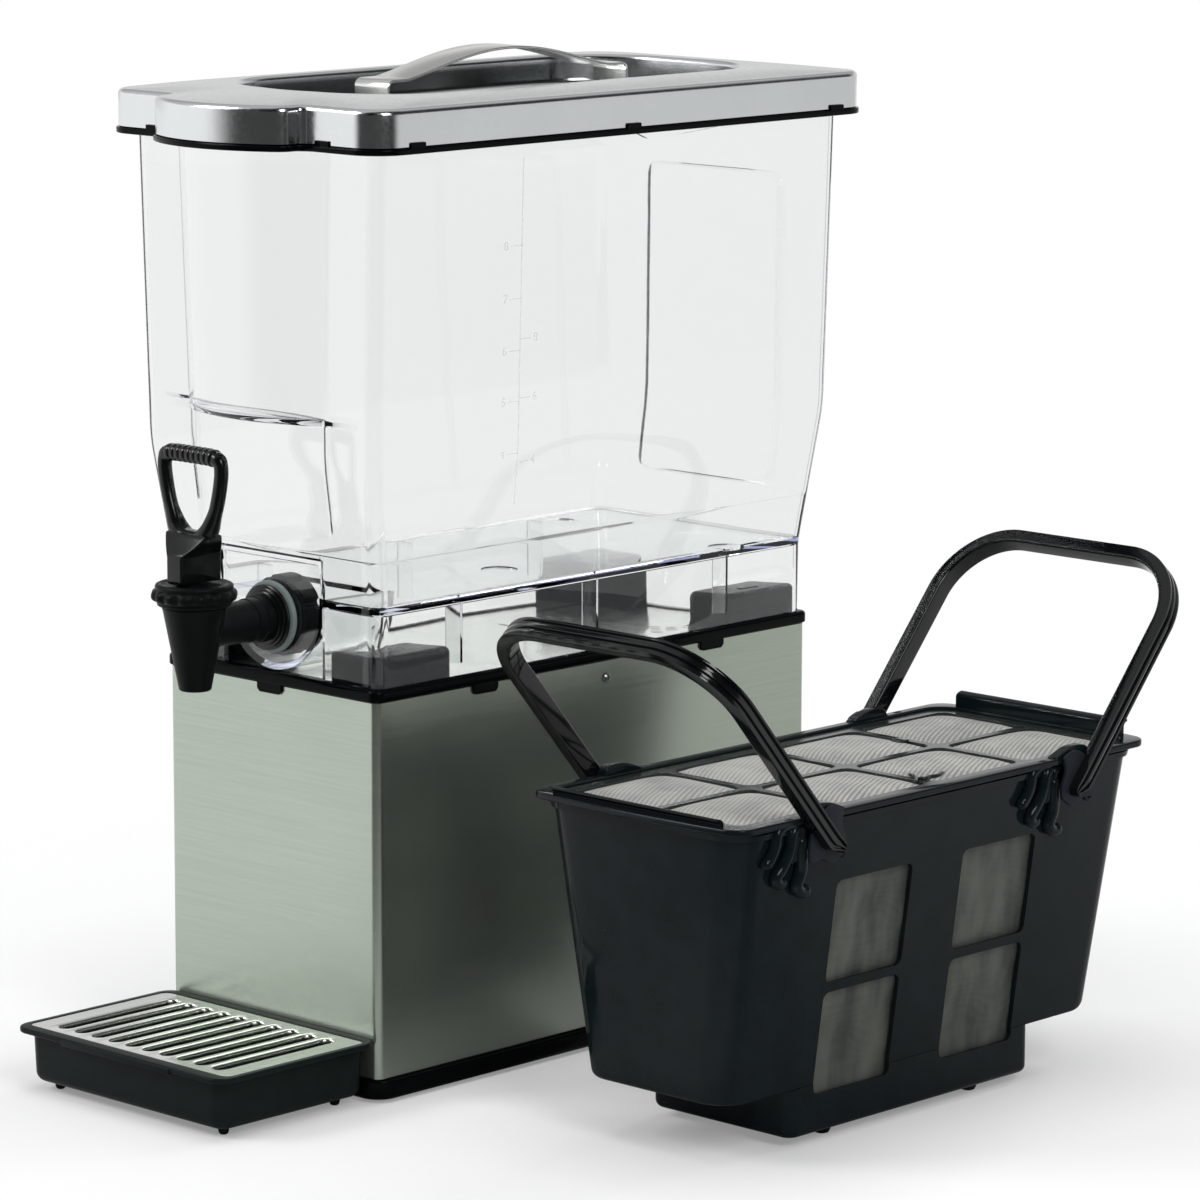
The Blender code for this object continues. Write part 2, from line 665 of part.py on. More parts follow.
def build_collar():
    lip_x, lip_y = STAND_WIDTH / 2 + COLLAR_PROUD, STAND_LENGTH / 2 + COLLAR_PROUD
    lip_corner = STAND_CORNER + COLLAR_PROUD
    inset = STEEL_SHEET + GAP
    skirt_x, skirt_y = STAND_WIDTH / 2 - inset, STAND_LENGTH / 2 - inset
    skirt_corner = STAND_CORNER - inset
    inner_x, inner_y = skirt_x - COLLAR_SKIRT_WALL, skirt_y - COLLAR_SKIRT_WALL
    inner_corner = skirt_corner / 3
    recess_x, recess_y = deck_recess()
    deck_bottom = COLLAR_TOP - DECK_SINK - STEEL_SHEET
    ledge_top = deck_bottom - GAP
    ledge_bottom = ledge_top - LEDGE_THICKNESS
    skirt_bottom = WRAP_TOP - COLLAR_SKIRT_DEPTH
    stations = [
        (lip_x, lip_y, lip_corner, COLLAR_BOTTOM),
        (lip_x, lip_y, lip_corner, COLLAR_TOP - COLLAR_EDGE),
        (lip_x - COLLAR_EDGE, lip_y - COLLAR_EDGE, lip_corner - COLLAR_EDGE, COLLAR_TOP),
        (recess_x, recess_y, inner_corner, COLLAR_TOP),
        (recess_x, recess_y, inner_corner, ledge_top),
        (recess_x - LEDGE_WIDTH, recess_y - LEDGE_WIDTH, inner_corner, ledge_top),
        (recess_x - LEDGE_WIDTH, recess_y - LEDGE_WIDTH, inner_corner, ledge_bottom),
        (inner_x, inner_y, inner_corner, ledge_bottom),
        (inner_x, inner_y, inner_corner, skirt_bottom),
        (skirt_x, skirt_y, skirt_corner, skirt_bottom),
        (skirt_x, skirt_y, skirt_corner, COLLAR_BOTTOM)]
    rings = [at_height(centred(x, y, corner), z) for x, y, corner, z in stations]
    piece = loft("base_collar", rings, SATIN_BLACK, tube=True)
    for number, (low_x, low_y, high_x, high_y) in enumerate(block_corners()):
        foot = ledge_bottom + OVERLAP
        solid = loft("block_%d" % number, [
            at_height(rectangle(low_x, low_y, high_x, high_y, BLOCK_EDGE), foot),
            at_height(rectangle(low_x, low_y, high_x, high_y, BLOCK_EDGE), COLLAR_TOP + BLOCK_RISE - BLOCK_EDGE / 2),
            at_height(rectangle(low_x + BLOCK_EDGE / 2, low_y + BLOCK_EDGE / 2, high_x - BLOCK_EDGE / 2,
                                high_y - BLOCK_EDGE / 2, BLOCK_EDGE / 2), COLLAR_TOP + BLOCK_RISE)])
        hollow = block("block_hollow_%d" % number,
                       (low_x + BLOCK_WALL, low_y + BLOCK_WALL, skirt_bottom),
                       (high_x - BLOCK_WALL, high_y - BLOCK_WALL, COLLAR_TOP + BLOCK_RISE - BLOCK_WALL))
        join(piece, solid)
        cut(piece, hollow)
    for side, y, z in screw_places():
        face = side * skirt_x
        join(piece, rod("screw_boss", (face - side * COLLAR_SKIRT_WALL / 2, y, z),
                        (face - side * BOSS_LENGTH, y, z), BOSS_DIAMETER))
        cut(piece, rod("screw_bore", (face + side * OVERRUN, y, z),
                       (face - side * (BOSS_LENGTH + OVERRUN), y, z), SCREW_BORE))
    tab = [(-TAB_WIDTH / 2, COLLAR_BOTTOM + OVERLAP),
           (-TAB_WIDTH / 2, COLLAR_BOTTOM - TAB_DROP + TAB_CHAMFER),
           (-TAB_WIDTH / 2 + TAB_CHAMFER, COLLAR_BOTTOM - TAB_DROP),
           (TAB_WIDTH / 2 - TAB_CHAMFER, COLLAR_BOTTOM - TAB_DROP),
           (TAB_WIDTH / 2, COLLAR_BOTTOM - TAB_DROP + TAB_CHAMFER),
           (TAB_WIDTH / 2, COLLAR_BOTTOM + OVERLAP)]
    for side in (-1, 1):
        near = STAND_LENGTH / 2 + GAP
        low, high = sorted((side * near, side * (near + TAB_THICKNESS)))
        join(piece, plate("end_tab", [tab], low, high, facing=FACING_REAR))
        near = STAND_WIDTH / 2 + GAP
        low, high = sorted((side * near, side * (near + TAB_THICKNESS)))
        for along in (-1, 1):
            moved = [(x + along * TAB_SPACING / 2, z) for x, z in tab]
            join(piece, plate("side_tab", [moved], low, high, facing=FACING_SIDE))


def build_deck():
    half_x, half_y = (half - GAP for half in deck_recess())
    out_x, out_y = block_reach()
    arm_x = out_x - BLOCK_WIDTH - GAP
    arm_y = out_y - BLOCK_LENGTH - GAP
    quarter = [(half_x, arm_y), (arm_x, arm_y), (arm_x, half_y)]
    outline = (quarter + [(-x, y) for x, y in reversed(quarter)]
               + [(-x, -y) for x, y in quarter] + [(x, -y) for x, y in reversed(quarter)])
    outlines = [outline]
    last_y = arm_y - VENT_END_MARGIN - VENT_WIDTH / 2
    for row in range(VENT_ROWS):
        y = last_y - (VENT_ROWS - 1 - row) * VENT_PITCH_Y
        shift = VENT_PITCH_X / 4 * (1 if row % 2 else -1)
        for column in range(VENT_COLUMNS):
            x = (column - (VENT_COLUMNS - 1) / 2) * VENT_PITCH_X + shift
            outlines.append(rectangle(x - VENT_LENGTH / 2, y - VENT_WIDTH / 2, x + VENT_LENGTH / 2,
                                      y + VENT_WIDTH / 2))
    top = COLLAR_TOP - DECK_SINK
    plate("base_deck", outlines, top - STEEL_SHEET, top, BRIGHT_STEEL)


def build_side_screws():
    for side, y, z in screw_places():
        head = SCREW_HEAD_HEIGHT
        crown = [(SCREW_HEAD * out_share, head * up_share) for out_share, up_share in SCREW_CROWN_SHARES]
        shank = [(SCREW_HEAD / 2, 0.0), (SCREW_SHANK / 2, 0.0),
                 (SCREW_SHANK / 2, -SCREW_LENGTH + SCREW_SHANK / 3), (SCREW_SHANK / 3, -SCREW_LENGTH),
                 (0.0, -SCREW_LENGTH)]
        profile = [(0.0, head)] + crown + shank
        face = side * (STAND_WIDTH / 2 + GAP)
        turn = Matrix.Rotation(side * math.pi / 2, 4, "Y")
        label = "left" if side < 0 else "right"
        piece = turned("side_screw_" + label, profile, (face, y, z), turn, BRIGHT_STEEL, steps=SMALL_STEPS)
        reach, narrow = SCREW_RECESS_REACH, SCREW_RECESS_HALF_WIDTH
        deep = sorted((face + side * (head + OVERRUN), face + side * (head - SCREW_RECESS)))
        for name, wide, tall in (("recess_across", reach, narrow), ("recess_down", narrow, reach)):
            cut(piece, block(name, (deep[0], y - wide, z - tall), (deep[1], y + wide, z + tall)))


# Drip tray

def tray_rear():
    return -(STAND_LENGTH / 2 + GAP)


def tray_front():
    return tray_rear() - TRAY_RIM_REACH


def tray_ring(half_x, front, rear, corner, height):
    return at_height(rectangle(-half_x, front, half_x, rear, corner), height)


def build_tray():
    rim_x = TRAY_RIM_WIDTH / 2
    rim_front, rim_rear = tray_front(), tray_rear()
    body_x = rim_x - TRAY_OVERHANG
    body_front = rim_front + TRAY_FRONT_OVERHANG
    body_rear = -(STAND_LENGTH / 2 + PLATE_MARGIN + GAP)
    top = TRAY_RIM_HEIGHT
    rings = []
    for inset, rise in edge_round(TRAY_EDGE, 3):
        inset += TRAY_DRAFT
        rings.append(tray_ring(body_x - inset, body_front + inset, body_rear - inset,
                               TRAY_RIM_CORNER - inset / 2, TRAY_LIFT + rise))
    under = top - TRAY_RIM_THICKNESS
    rings.append(tray_ring(body_x, body_front, body_rear, TRAY_RIM_CORNER, under))
    rings.append(tray_ring(rim_x - TRAY_RIM_EDGE, rim_front + TRAY_RIM_EDGE, rim_rear, TRAY_RIM_CORNER, under))
    rings.append(tray_ring(rim_x, rim_front, rim_rear, TRAY_RIM_CORNER, under + TRAY_RIM_EDGE))
    rings.append(tray_ring(rim_x, rim_front, rim_rear, TRAY_RIM_CORNER, top - TRAY_RIM_EDGE))
    rings.append(tray_ring(rim_x - TRAY_RIM_EDGE, rim_front + TRAY_RIM_EDGE, rim_rear - TRAY_RIM_EDGE / 2,
                           TRAY_RIM_CORNER, top))
    seat = top - GRATE_SINK - GRATE_THICKNESS - GAP
    seat_x, seat_front, seat_rear = rim_x - TRAY_LIP, rim_front + TRAY_FRONT_LIP, rim_rear - TRAY_REAR_LIP
    rings.append(tray_ring(seat_x, seat_front, seat_rear, GRATE_CORNER, top))
    rings.append(tray_ring(seat_x, seat_front, seat_rear, GRATE_CORNER, seat))
    well_x, well_front, well_rear = body_x - TRAY_WALL, body_front + TRAY_FRONT_WALL, body_rear - TRAY_FRONT_WALL
    rings.append(tray_ring(well_x, well_front, well_rear, GRATE_CORNER, seat))
    for inset, rise in reversed(edge_round(TRAY_EDGE)):
        rings.append(tray_ring(well_x - inset, well_front + inset, well_rear - inset,
                               GRATE_CORNER - inset / 2, TRAY_LIFT + TRAY_WALL + rise))
    piece = loft("drip_tray", rings, CHARCOAL)
    join(piece, block("front_grip", (-GRIP_WIDTH / 2, rim_front - GRIP_PROUD, top - GRIP_HEIGHT),
                      (GRIP_WIDTH / 2, rim_front + TRAY_FRONT_OVERHANG + OVERLAP, top - TRAY_RIM_EDGE)))
    for number, (side, y) in enumerate([(side, y) for side in (-1, 1)
                                        for y in (body_front + NUB_INSET, body_rear - NUB_INSET)]):
        profile = [(0.0, TRAY_LIFT + OVERLAP), (NUB_DIAMETER / 2, TRAY_LIFT + OVERLAP),
                   (NUB_DIAMETER / 2, TRAY_LIFT / 2), (NUB_DIAMETER / 3, 0.0), (0.0, 0.0)]
        join(piece, turned("tray_nub_%d" % number, profile, (side * (body_x - NUB_INSET), y, 0.0), steps=12))


def build_grate():
    half_x = TRAY_RIM_WIDTH / 2 - TRAY_LIP - GAP
    front, rear = tray_front() + TRAY_FRONT_LIP + GAP, tray_rear() - TRAY_REAR_LIP - GAP
    outlines = [rectangle(-half_x, front, half_x, rear, GRATE_CORNER - GAP)]
    pitch = 2 * (half_x - GRATE_SIDE_MARGIN) / GRATE_SLOTS
    half = (pitch - GRATE_BAR) / 2
    for number in range(GRATE_SLOTS):
        x = (number - (GRATE_SLOTS - 1) / 2) * pitch
        outlines.append(rectangle(x - half, front + GRATE_END_MARGIN, x + half, rear - GRATE_END_MARGIN,
                                  half - MERGE / 4, steps=4))
    top = TRAY_RIM_HEIGHT - GRATE_SINK
    plate("drip_grate", outlines, top - GRATE_THICKNESS, top, BRIGHT_STEEL)


# Tub

def between(value, stations):
    """Straight-line value at a height, from (height, value) stations."""
    for (low, first), (high, last) in zip(stations, stations[1:]):
        if value <= high:
            share = (value - low) / (high - low)
            return first + (last - first) * max(share, 0.0)
    return stations[-1][1]


def tub_half_x(rise):
    return between(rise, [(TUB_FLOOR, TUB_FOOT_WIDTH / 2), (TUB_BEND, TUB_BEND_WIDTH / 2),
                          (TUB_HEIGHT, TUB_TOP_WIDTH / 2)])


def tub_half_y(rise):
    return between(rise, [(TUB_FLOOR, TUB_FOOT_LENGTH / 2), (TUB_BEND, TUB_BEND_LENGTH / 2),
                          (TUB_HEIGHT, TUB_TOP_LENGTH / 2)])


def bow_half_width(rise):
    return between(rise, [(BOW_SHELF, BOW_HALF_WIDTH), (TUB_HEIGHT, BOW_TOP_HALF_WIDTH)])


def bow_depth(rise):
    return between(rise, [(BOW_SHELF, BOW_DEPTH), (TUB_HEIGHT, BOW_TOP_DEPTH)])


def tub_ring(rise, height, inset=0.0, feature="", bow_share=1.0):
    """One level of the tub's wall. feature says what the front wall does there: pad, panel or bow."""
    half_x, half_y = tub_half_x(rise) - inset, tub_half_y(rise) - inset
    corner = TUB_CORNER - inset
    bow_x = bow_half_width(rise)
    stretch = bow_x / BOW_HALF_WIDTH
    panel_x = BOW_HALF_WIDTH - PANEL_STEP
    inner_pad = PAD_HALF_WIDTH - PANEL_STEP / 2
    outer_pad = PAD_HALF_WIDTH + PANEL_STEP / 2
    right_half = [0.0, inner_pad / 3, inner_pad * 2 / 3, inner_pad, outer_pad, panel_x, BOW_HALF_WIDTH]
    front_x = [-x for x in reversed(right_half[1:])] + right_half
    front = []
    for x in front_x:
        y = -half_y
        if feature == "pad" and abs(x) < PAD_HALF_WIDTH:
            y = TUB_FRONT + inset
        if feature == "panel" and abs(x) < panel_x + MERGE:
            y += FRONT_PANEL_DEPTH * bow_share
        if feature == "bow":
            y -= bow_depth(rise) * bow_share * (1 - (x / BOW_HALF_WIDTH) ** 2)
        front.append((x * stretch, y))
    rear_depth = REAR_PANEL_DEPTH if REAR_PANEL_FOOT < rise < REAR_PANEL_TOP else 0.0
    outer, inner = REAR_PANEL_HALF_WIDTH, REAR_PANEL_HALF_WIDTH - PANEL_STEP
    rear = [(outer, half_y), (inner, half_y - rear_depth), (-inner, half_y - rear_depth), (-outer, half_y)]
    outline = (arc((-half_x + corner, -half_y + corner), corner, 180, 270, CORNER_STEPS) + front
               + arc((half_x - corner, -half_y + corner), corner, 270, 360, CORNER_STEPS)
               + arc((half_x - corner, half_y - corner), corner, 0, 90, CORNER_STEPS) + rear
               + arc((-half_x + corner, half_y - corner), corner, 90, 180, CORNER_STEPS))
    return at_height(outline, height)


def tub_levels(inset):
    """Rings up the tub's wall, from the floor to the rim. Inside, ledges sit one wall higher."""
    lift = inset
    levels = [(TUB_FLOOR, inset, "pad", 1.0), (PAD_TOP, lift, "pad", 1.0),
              (PAD_TOP + PANEL_STEP, lift, "", 1.0), (REAR_PANEL_FOOT - PANEL_STEP / 2, 0.0, "", 1.0),
              (REAR_PANEL_FOOT + PANEL_STEP / 2, 0.0, "", 1.0), (FRONT_PANEL_FOOT, 0.0, "panel", 0.0),
              (FRONT_PANEL_FOOT + FRONT_PANEL_FADE, 0.0, "panel", 1.0), (TUB_BEND, 0.0, "panel", 1.0),
              (BOW_SHELF - BOW_ROUND / 2, lift, "panel", 1.0)]
    full = BOW_DEPTH
    for turn_share in (0.0, 0.5, 0.87, 1.0):
        reach = (full - BOW_ROUND * (1 - turn_share)) / full
        rise = BOW_SHELF - BOW_ROUND / 2 + BOW_ROUND * (1 - math.sqrt(1 - turn_share ** 2))
        levels.append((rise, lift, "bow", reach))
    levels += [(REAR_PANEL_TOP - PANEL_STEP / 2, 0.0, "bow", 1.0), (REAR_PANEL_TOP + PANEL_STEP / 2, 0.0, "bow", 1.0),
               (TUB_HEIGHT, 0.0, "bow", 1.0)]
    return [tub_ring(rise, TUB_BOTTOM + rise + raised, inset, feature, share)
            for rise, raised, feature, share in levels]


def trough(name, radius, front, rear, top):
    """A half-round trough that runs back from the front wall, with upright sides up to its top."""
    outline = arc((0.0, SUMP_AXIS), radius, 180, 360, 14) + [(radius, top), (-radius, top)]
    return plate(name, [outline], front, rear, facing=FACING_REAR)


def build_tub():
    underside = TUB_BOTTOM + TUB_FLOOR
    foot_out = tub_ring(0.0, TUB_BOTTOM, 0.0)
    foot_in = tub_ring(0.0, TUB_BOTTOM, TUB_WALL)
    floor_in = tub_ring(0.0, underside, TUB_WALL)
    rings = [floor_in, foot_in, foot_out] + tub_levels(0.0) + list(reversed(tub_levels(TUB_WALL)))
    piece = loft("reservoir", rings, CLEAR)
    half = PAD_HALF_WIDTH
    cut(piece, block("skirt_gap", (-half, TUB_FRONT - OVERRUN, TUB_BOTTOM - OVERRUN),
                     (half, TUB_FRONT + TUB_WALL + OVERRUN, underside - OVERLAP / 2)))
    join(piece, trough("sump", SUMP_RADIUS, SUMP_FRONT, SUMP_FRONT + SUMP_LENGTH, underside + TUB_WALL / 2))
    cut(piece, trough("sump_hollow", SUMP_RADIUS - TUB_WALL, SUMP_FRONT + TUB_WALL,
                      SUMP_FRONT + SUMP_LENGTH - TUB_WALL, TUB_FLOOR_TOP + OVERLAP))
    cut(piece, rod("tap_hole", (0.0, TUB_FRONT - OVERRUN, SHANK_Z), (0.0, TUB_FRONT + TUB_WALL + OVERRUN, SHANK_Z),
                   SHANK_DIAMETER + 2 * GAP, ROUND_STEPS))


# Tap

def build_tap():
    wall_out, wall_in = SUMP_FRONT, SUMP_FRONT + TUB_WALL
    ring_bore = SHANK_DIAMETER + 2 * GAP
    washer_out = wall_out - GAP
    flange_out = washer_out - WASHER_THICKNESS - GAP
    turned("faucet_washer", ring_profile(WASHER_DIAMETER, ring_bore, -WASHER_THICKNESS, 0.0),
           (0.0, washer_out, SHANK_Z), TURN_TO_REAR, SILICONE, bored=True)
    step = FLANGE_DIAMETER / 2 - FLANGE_THICKNESS / 2
    flange = [(ring_bore / 2, 0.0), (FLANGE_DIAMETER / 2, 0.0), (FLANGE_DIAMETER / 2, -FLANGE_STEP),
              (step, -FLANGE_THICKNESS), (ring_bore / 2, -FLANGE_THICKNESS)]
    turned("faucet_flange", flange, (0.0, flange_out, SHANK_Z), TURN_TO_REAR, SATIN_BLACK, bored=True)
    inner_washer = wall_in + GAP
    turned("faucet_inner_washer", ring_profile(WASHER_DIAMETER, ring_bore, 0.0, INNER_WASHER_THICKNESS),
           (0.0, inner_washer, SHANK_Z), TURN_TO_REAR, SILICONE, bored=True)
    nut_face = inner_washer + INNER_WASHER_THICKNESS + GAP
    nut = turned("faucet_nut", ring_profile(NUT_DIAMETER, ring_bore, 0.0, NUT_THICKNESS),
                 (0.0, nut_face, SHANK_Z), TURN_TO_REAR, SATIN_BLACK, bored=True)
    for number in range(NUT_NOTCHES):
        angle = 2 * math.pi * (number + 0.5) / NUT_NOTCHES
        about = Matrix.Translation((0.0, 0.0, SHANK_Z)) @ Matrix.Rotation(angle, 4, "Y")
        notch = block("nut_notch_%d" % number,
                      (-NUT_NOTCH_WIDTH / 2, nut_face - OVERRUN, NUT_DIAMETER / 2 - NUT_NOTCH_DEPTH),
                      (NUT_NOTCH_WIDTH / 2, nut_face + NUT_THICKNESS + OVERRUN, NUT_DIAMETER / 2 + OVERRUN))
        notch.data.transform(about)
        cut(nut, notch)
    build_tap_body(nut_face + NUT_THICKNESS)
    build_bonnet()
    build_stem()
    build_lever()


def build_tap_body(shank_end):
    shank_end = max(shank_end + OVERLAP, SUMP_FRONT + SHANK_INSIDE)
    tip, top = CONE_TIP / 2, CONE_TOP / 2
    profile = [(0.0, CONE_Z + OVERLAP), (top, CONE_Z + OVERLAP), (top, CONE_Z - CONE_WALL_TIP), (tip, CONE_BOTTOM),
               (0.0, CONE_BOTTOM)]
    piece = turned("faucet_body", profile, (0.0, CONE_Y, 0.0), material=SATIN_BLACK)
    join(piece, rod("shank", (0.0, CONE_Y, SHANK_Z), (0.0, shank_end, SHANK_Z), SHANK_DIAMETER, ROUND_STEPS))
    cut(piece, rod("bonnet_seat", (0.0, CONE_Y, CONE_Z), (0.0, CONE_Y, BONNET_TOP),
                   BONNET_DIAMETER + 2 * SEAT_CLEARANCE, ROUND_STEPS))
    join(piece, rod("neck", (0.0, CONE_Y, CONE_Z - OVERLAP), (0.0, CONE_Y, CONE_Z + NECK_HEIGHT), NECK_DIAMETER,
                    ROUND_STEPS))
    chamber_foot = CONE_Z - CHAMBER_DEPTH
    outlet = tip - CONE_WALL_TIP
    bore = [(0.0, CONE_Z + NECK_HEIGHT + OVERRUN), (CHAMBER_DIAMETER / 2, CONE_Z + NECK_HEIGHT + OVERRUN),
            (CHAMBER_DIAMETER / 2, chamber_foot), (outlet, chamber_foot), (outlet, CONE_BOTTOM - OVERRUN),
            (0.0, CONE_BOTTOM - OVERRUN)]
    chamber = turned("chamber", bore, (0.0, CONE_Y, 0.0))
    join(chamber, rod("shank_bore", (0.0, CONE_Y, SHANK_Z), (0.0, shank_end + OVERRUN, SHANK_Z), SHANK_BORE,
                      BORE_STEPS))
    cut(piece, chamber)


def build_bonnet():
    points = []
    count = BONNET_SCALLOPS * 4
    for i in range(count):
        angle = 2 * math.pi * i / count
        wave = (1 - math.cos(2 * math.pi * i / 4)) / 2
        radius = BONNET_DIAMETER / 2 - BONNET_SCALLOP_DEPTH * wave
        points.append((radius * math.cos(angle), radius * math.sin(angle)))

    def scaled(inset, height):
        share = 1 - inset / (BONNET_DIAMETER / 2)
        return [(x * share, y * share + CONE_Y, height) for x, y in points]

    edge = BONNET_EDGE
    piece = loft("faucet_bonnet", [scaled(edge / 2, BONNET_BOTTOM), scaled(0.0, BONNET_BOTTOM + edge / 2),
                                   scaled(0.0, BONNET_TOP - edge), scaled(edge / 3, BONNET_TOP - edge / 3),
                                   scaled(edge, BONNET_TOP)], SATIN_BLACK)
    ceiling = CONE_Z + NECK_HEIGHT + GAP
    hollow = [(0.0, BONNET_TOP + OVERRUN), (STEM_BORE / 2, BONNET_TOP + OVERRUN), (STEM_BORE / 2, ceiling),
              (NECK_DIAMETER / 2 + GAP, ceiling), (NECK_DIAMETER / 2 + GAP, BONNET_BOTTOM - OVERRUN),
              (0.0, BONNET_BOTTOM - OVERRUN)]
    cut(piece, turned("bonnet_hollow", hollow, (0.0, CONE_Y, 0.0)))


def build_stem():
    seat_foot = CONE_Z - CHAMBER_DEPTH + GAP
    seat_top = seat_foot + SEAT_HEIGHT
    stem_foot = seat_top - SEAT_SOCKET + GAP
    eye_top = LEVER_PIVOT_Z + STEM_DIAMETER / 2
    stem = turned("faucet_stem", [(0.0, eye_top), (STEM_DIAMETER / 2, eye_top), (STEM_DIAMETER / 2, stem_foot),
                                  (0.0, stem_foot)], (0.0, CONE_Y, 0.0), material=BRIGHT_STEEL, steps=SMALL_STEPS)
    flat_foot = LEVER_BOTTOM - STEM_FLAT_DROP
    half = STEM_DIAMETER / 2 + OVERRUN
    for side in (-1, 1):
        near, far = side * STEM_EYE_WIDTH / 2, side * half
        low, high = sorted((near, far))
        cut(stem, block("stem_flat", (low, CONE_Y - half, flat_foot), (high, CONE_Y + half, eye_top + OVERRUN)))
    cut(stem, rod("stem_eye", (-half, CONE_Y, LEVER_PIVOT_Z), (half, CONE_Y, LEVER_PIVOT_Z), PIN_BORE, 12))
    seat = turned("seat_cup", [(0.0, seat_top), (SEAT_DIAMETER / 2, seat_top), (SEAT_DIAMETER / 2, seat_foot),
                               (0.0, seat_foot)], (0.0, CONE_Y, 0.0), material=SILICONE, steps=SMALL_STEPS)
    cut(seat, rod("seat_socket", (0.0, CONE_Y, seat_top - SEAT_SOCKET), (0.0, CONE_Y, seat_top + OVERRUN),
                  STEM_DIAMETER + 2 * GAP))


def build_lever():
    half_y = LEVER_LENGTH / 2
    half_x = LEVER_WIDTH / 2
    front, rear = CONE_Y - half_y, CONE_Y + half_y
    block_top = LEVER_BOTTOM + LEVER_BLOCK_HEIGHT
    side_outline = (arc((front + LEVER_FRONT_ROUND, LEVER_BOTTOM + LEVER_FRONT_ROUND), LEVER_FRONT_ROUND,
                        180, 270, 4)
                    + arc((rear - LEVER_REAR_ROUND, LEVER_BOTTOM + LEVER_REAR_ROUND), LEVER_REAR_ROUND,
                          270, 360, 4)
                    + arc((rear - LEVER_REAR_ROUND, block_top - LEVER_REAR_ROUND), LEVER_REAR_ROUND, 0, 90, 4)
                    + arc((front + LEVER_REAR_ROUND, block_top - LEVER_REAR_ROUND), LEVER_REAR_ROUND, 90, 180, 4))
    lever = plate("faucet_lever", [side_outline], -half_x, half_x, GLOSS_BLACK, facing=FACING_SIDE)
    ring_foot = LEVER_BOTTOM + RING_FOOT
    ring_top = LEVER_BOTTOM + LEVER_HEIGHT
    ring_x = RING_WIDTH / 2
    neck_z = block_top - LEVER_REAR_ROUND
    shoulder = (ring_foot + ring_top) / 2
    neck_x = half_x - OVERLAP / 2
    low_share, high_share = RING_SIDE_SHARES
    silhouette = [(neck_x, neck_z), (neck_x, block_top - RING_EDGE),
                  (half_x + ring_x * RING_ROOT_SHARE, block_top + RING_EDGE),
                  (ring_x * low_share, ring_foot + RING_EDGE), (ring_x * high_share, shoulder - RING_BAR)]
    crown = arc((ring_x - RING_BAR, ring_top - RING_BAR), RING_BAR, 0, 90, 4)
    right = silhouette + crown
    outline = right + [(-x, z) for x, z in reversed(right)]
    foot_half, top_half = RING_HOLE_FOOT_HALF, RING_HOLE_TOP_HALF
    hole_right = ([(0.0, ring_foot)] + arc((foot_half / 3, ring_foot + foot_half), foot_half, 290, 350, 3)
                  + arc((top_half - RING_EDGE, ring_top - RING_BAR - GAP - RING_EDGE), RING_EDGE, 0, 90, 3))
    hole = hole_right + [(-x, z) for x, z in reversed(hole_right) if x > 0]
    ring = plate("lever_ring", [outline, hole], CONE_Y - RING_DEPTH / 2, CONE_Y + RING_DEPTH / 2,
                 facing=FACING_REAR)
    join(lever, ring)
    slot_top = LEVER_PIVOT_Z + STEM_DIAMETER / 2 + PIN_DIAMETER
    slot_front, slot_rear = CONE_Y - STEM_DIAMETER, CONE_Y + STEM_DIAMETER
    # the slot's front end slants away from the stem, which stays clear of it when the lever is down
    reach = (STEM_DIAMETER / 2 + GAP + LEVER_PIVOT * math.sin(LEVER_SWING)) / math.cos(LEVER_SWING)
    slot_outline = [(CONE_Y - reach, LEVER_BOTTOM - OVERRUN), (slot_rear, LEVER_BOTTOM - OVERRUN),
                    (slot_rear, slot_top), (slot_front, slot_top), (slot_front, LEVER_PIVOT_Z),
                    (CONE_Y - reach, LEVER_BOTTOM)]
    cut(lever, plate("lever_slot", [slot_outline], -LEVER_SLOT / 2, LEVER_SLOT / 2, facing=FACING_SIDE))
    pin_half = half_x - GAP
    cut(lever, rod("lever_pin_bore", (-half_x - OVERRUN, CONE_Y, LEVER_PIVOT_Z),
                   (half_x + OVERRUN, CONE_Y, LEVER_PIVOT_Z), PIN_BORE, 12))
    axis = (0.0, CONE_Y, LEVER_PIVOT_Z)
    move_origin(lever, axis)
    pin = rod("lever_pin", (-pin_half, CONE_Y, LEVER_PIVOT_Z), (pin_half, CONE_Y, LEVER_PIVOT_Z), PIN_DIAMETER, 12,
              BRIGHT_STEEL)
    move_origin(pin, axis)


# Lid

def lid_outline(inset):
    """The lid in plan: a rounded rectangle whose front end bulges. Every inset has equally many points."""
    half_x, front, rear = LID_WIDTH / 2 - inset, -LID_FRONT + inset, LID_REAR - inset
    corner = max(LID_CORNER - inset, MERGE)
    radius = LID_BULGE_RADIUS - inset
    end = LID_BULGE_CORNER - min(inset, LID_BULGE_CORNER / 2)
    side_x = LID_BULGE_HALF_WIDTH - inset
    fillet = LID_BULGE_FILLET + inset
    end_y = -LID_BULGE_CENTRE - math.sqrt((radius - end) ** 2 - (side_x - end) ** 2)
    lean = math.degrees(math.asin((side_x - end) / (radius - end)))
    fillet_y = front - fillet
    right = (arc((0.0, -LID_BULGE_CENTRE), radius, 270, 270 + lean, 4)
             + arc((side_x - end, end_y), end, 270 + lean, 360, 3)[1:]
             + arc((side_x + fillet, fillet_y), fillet, 180, 90, 2)
             + arc((half_x - corner, front + corner), corner, 270, 360, 4)
             + arc((half_x - corner, rear - corner), corner, 0, 90, 4))
    return right + [(-x, y) for x, y in reversed(right[1:])]


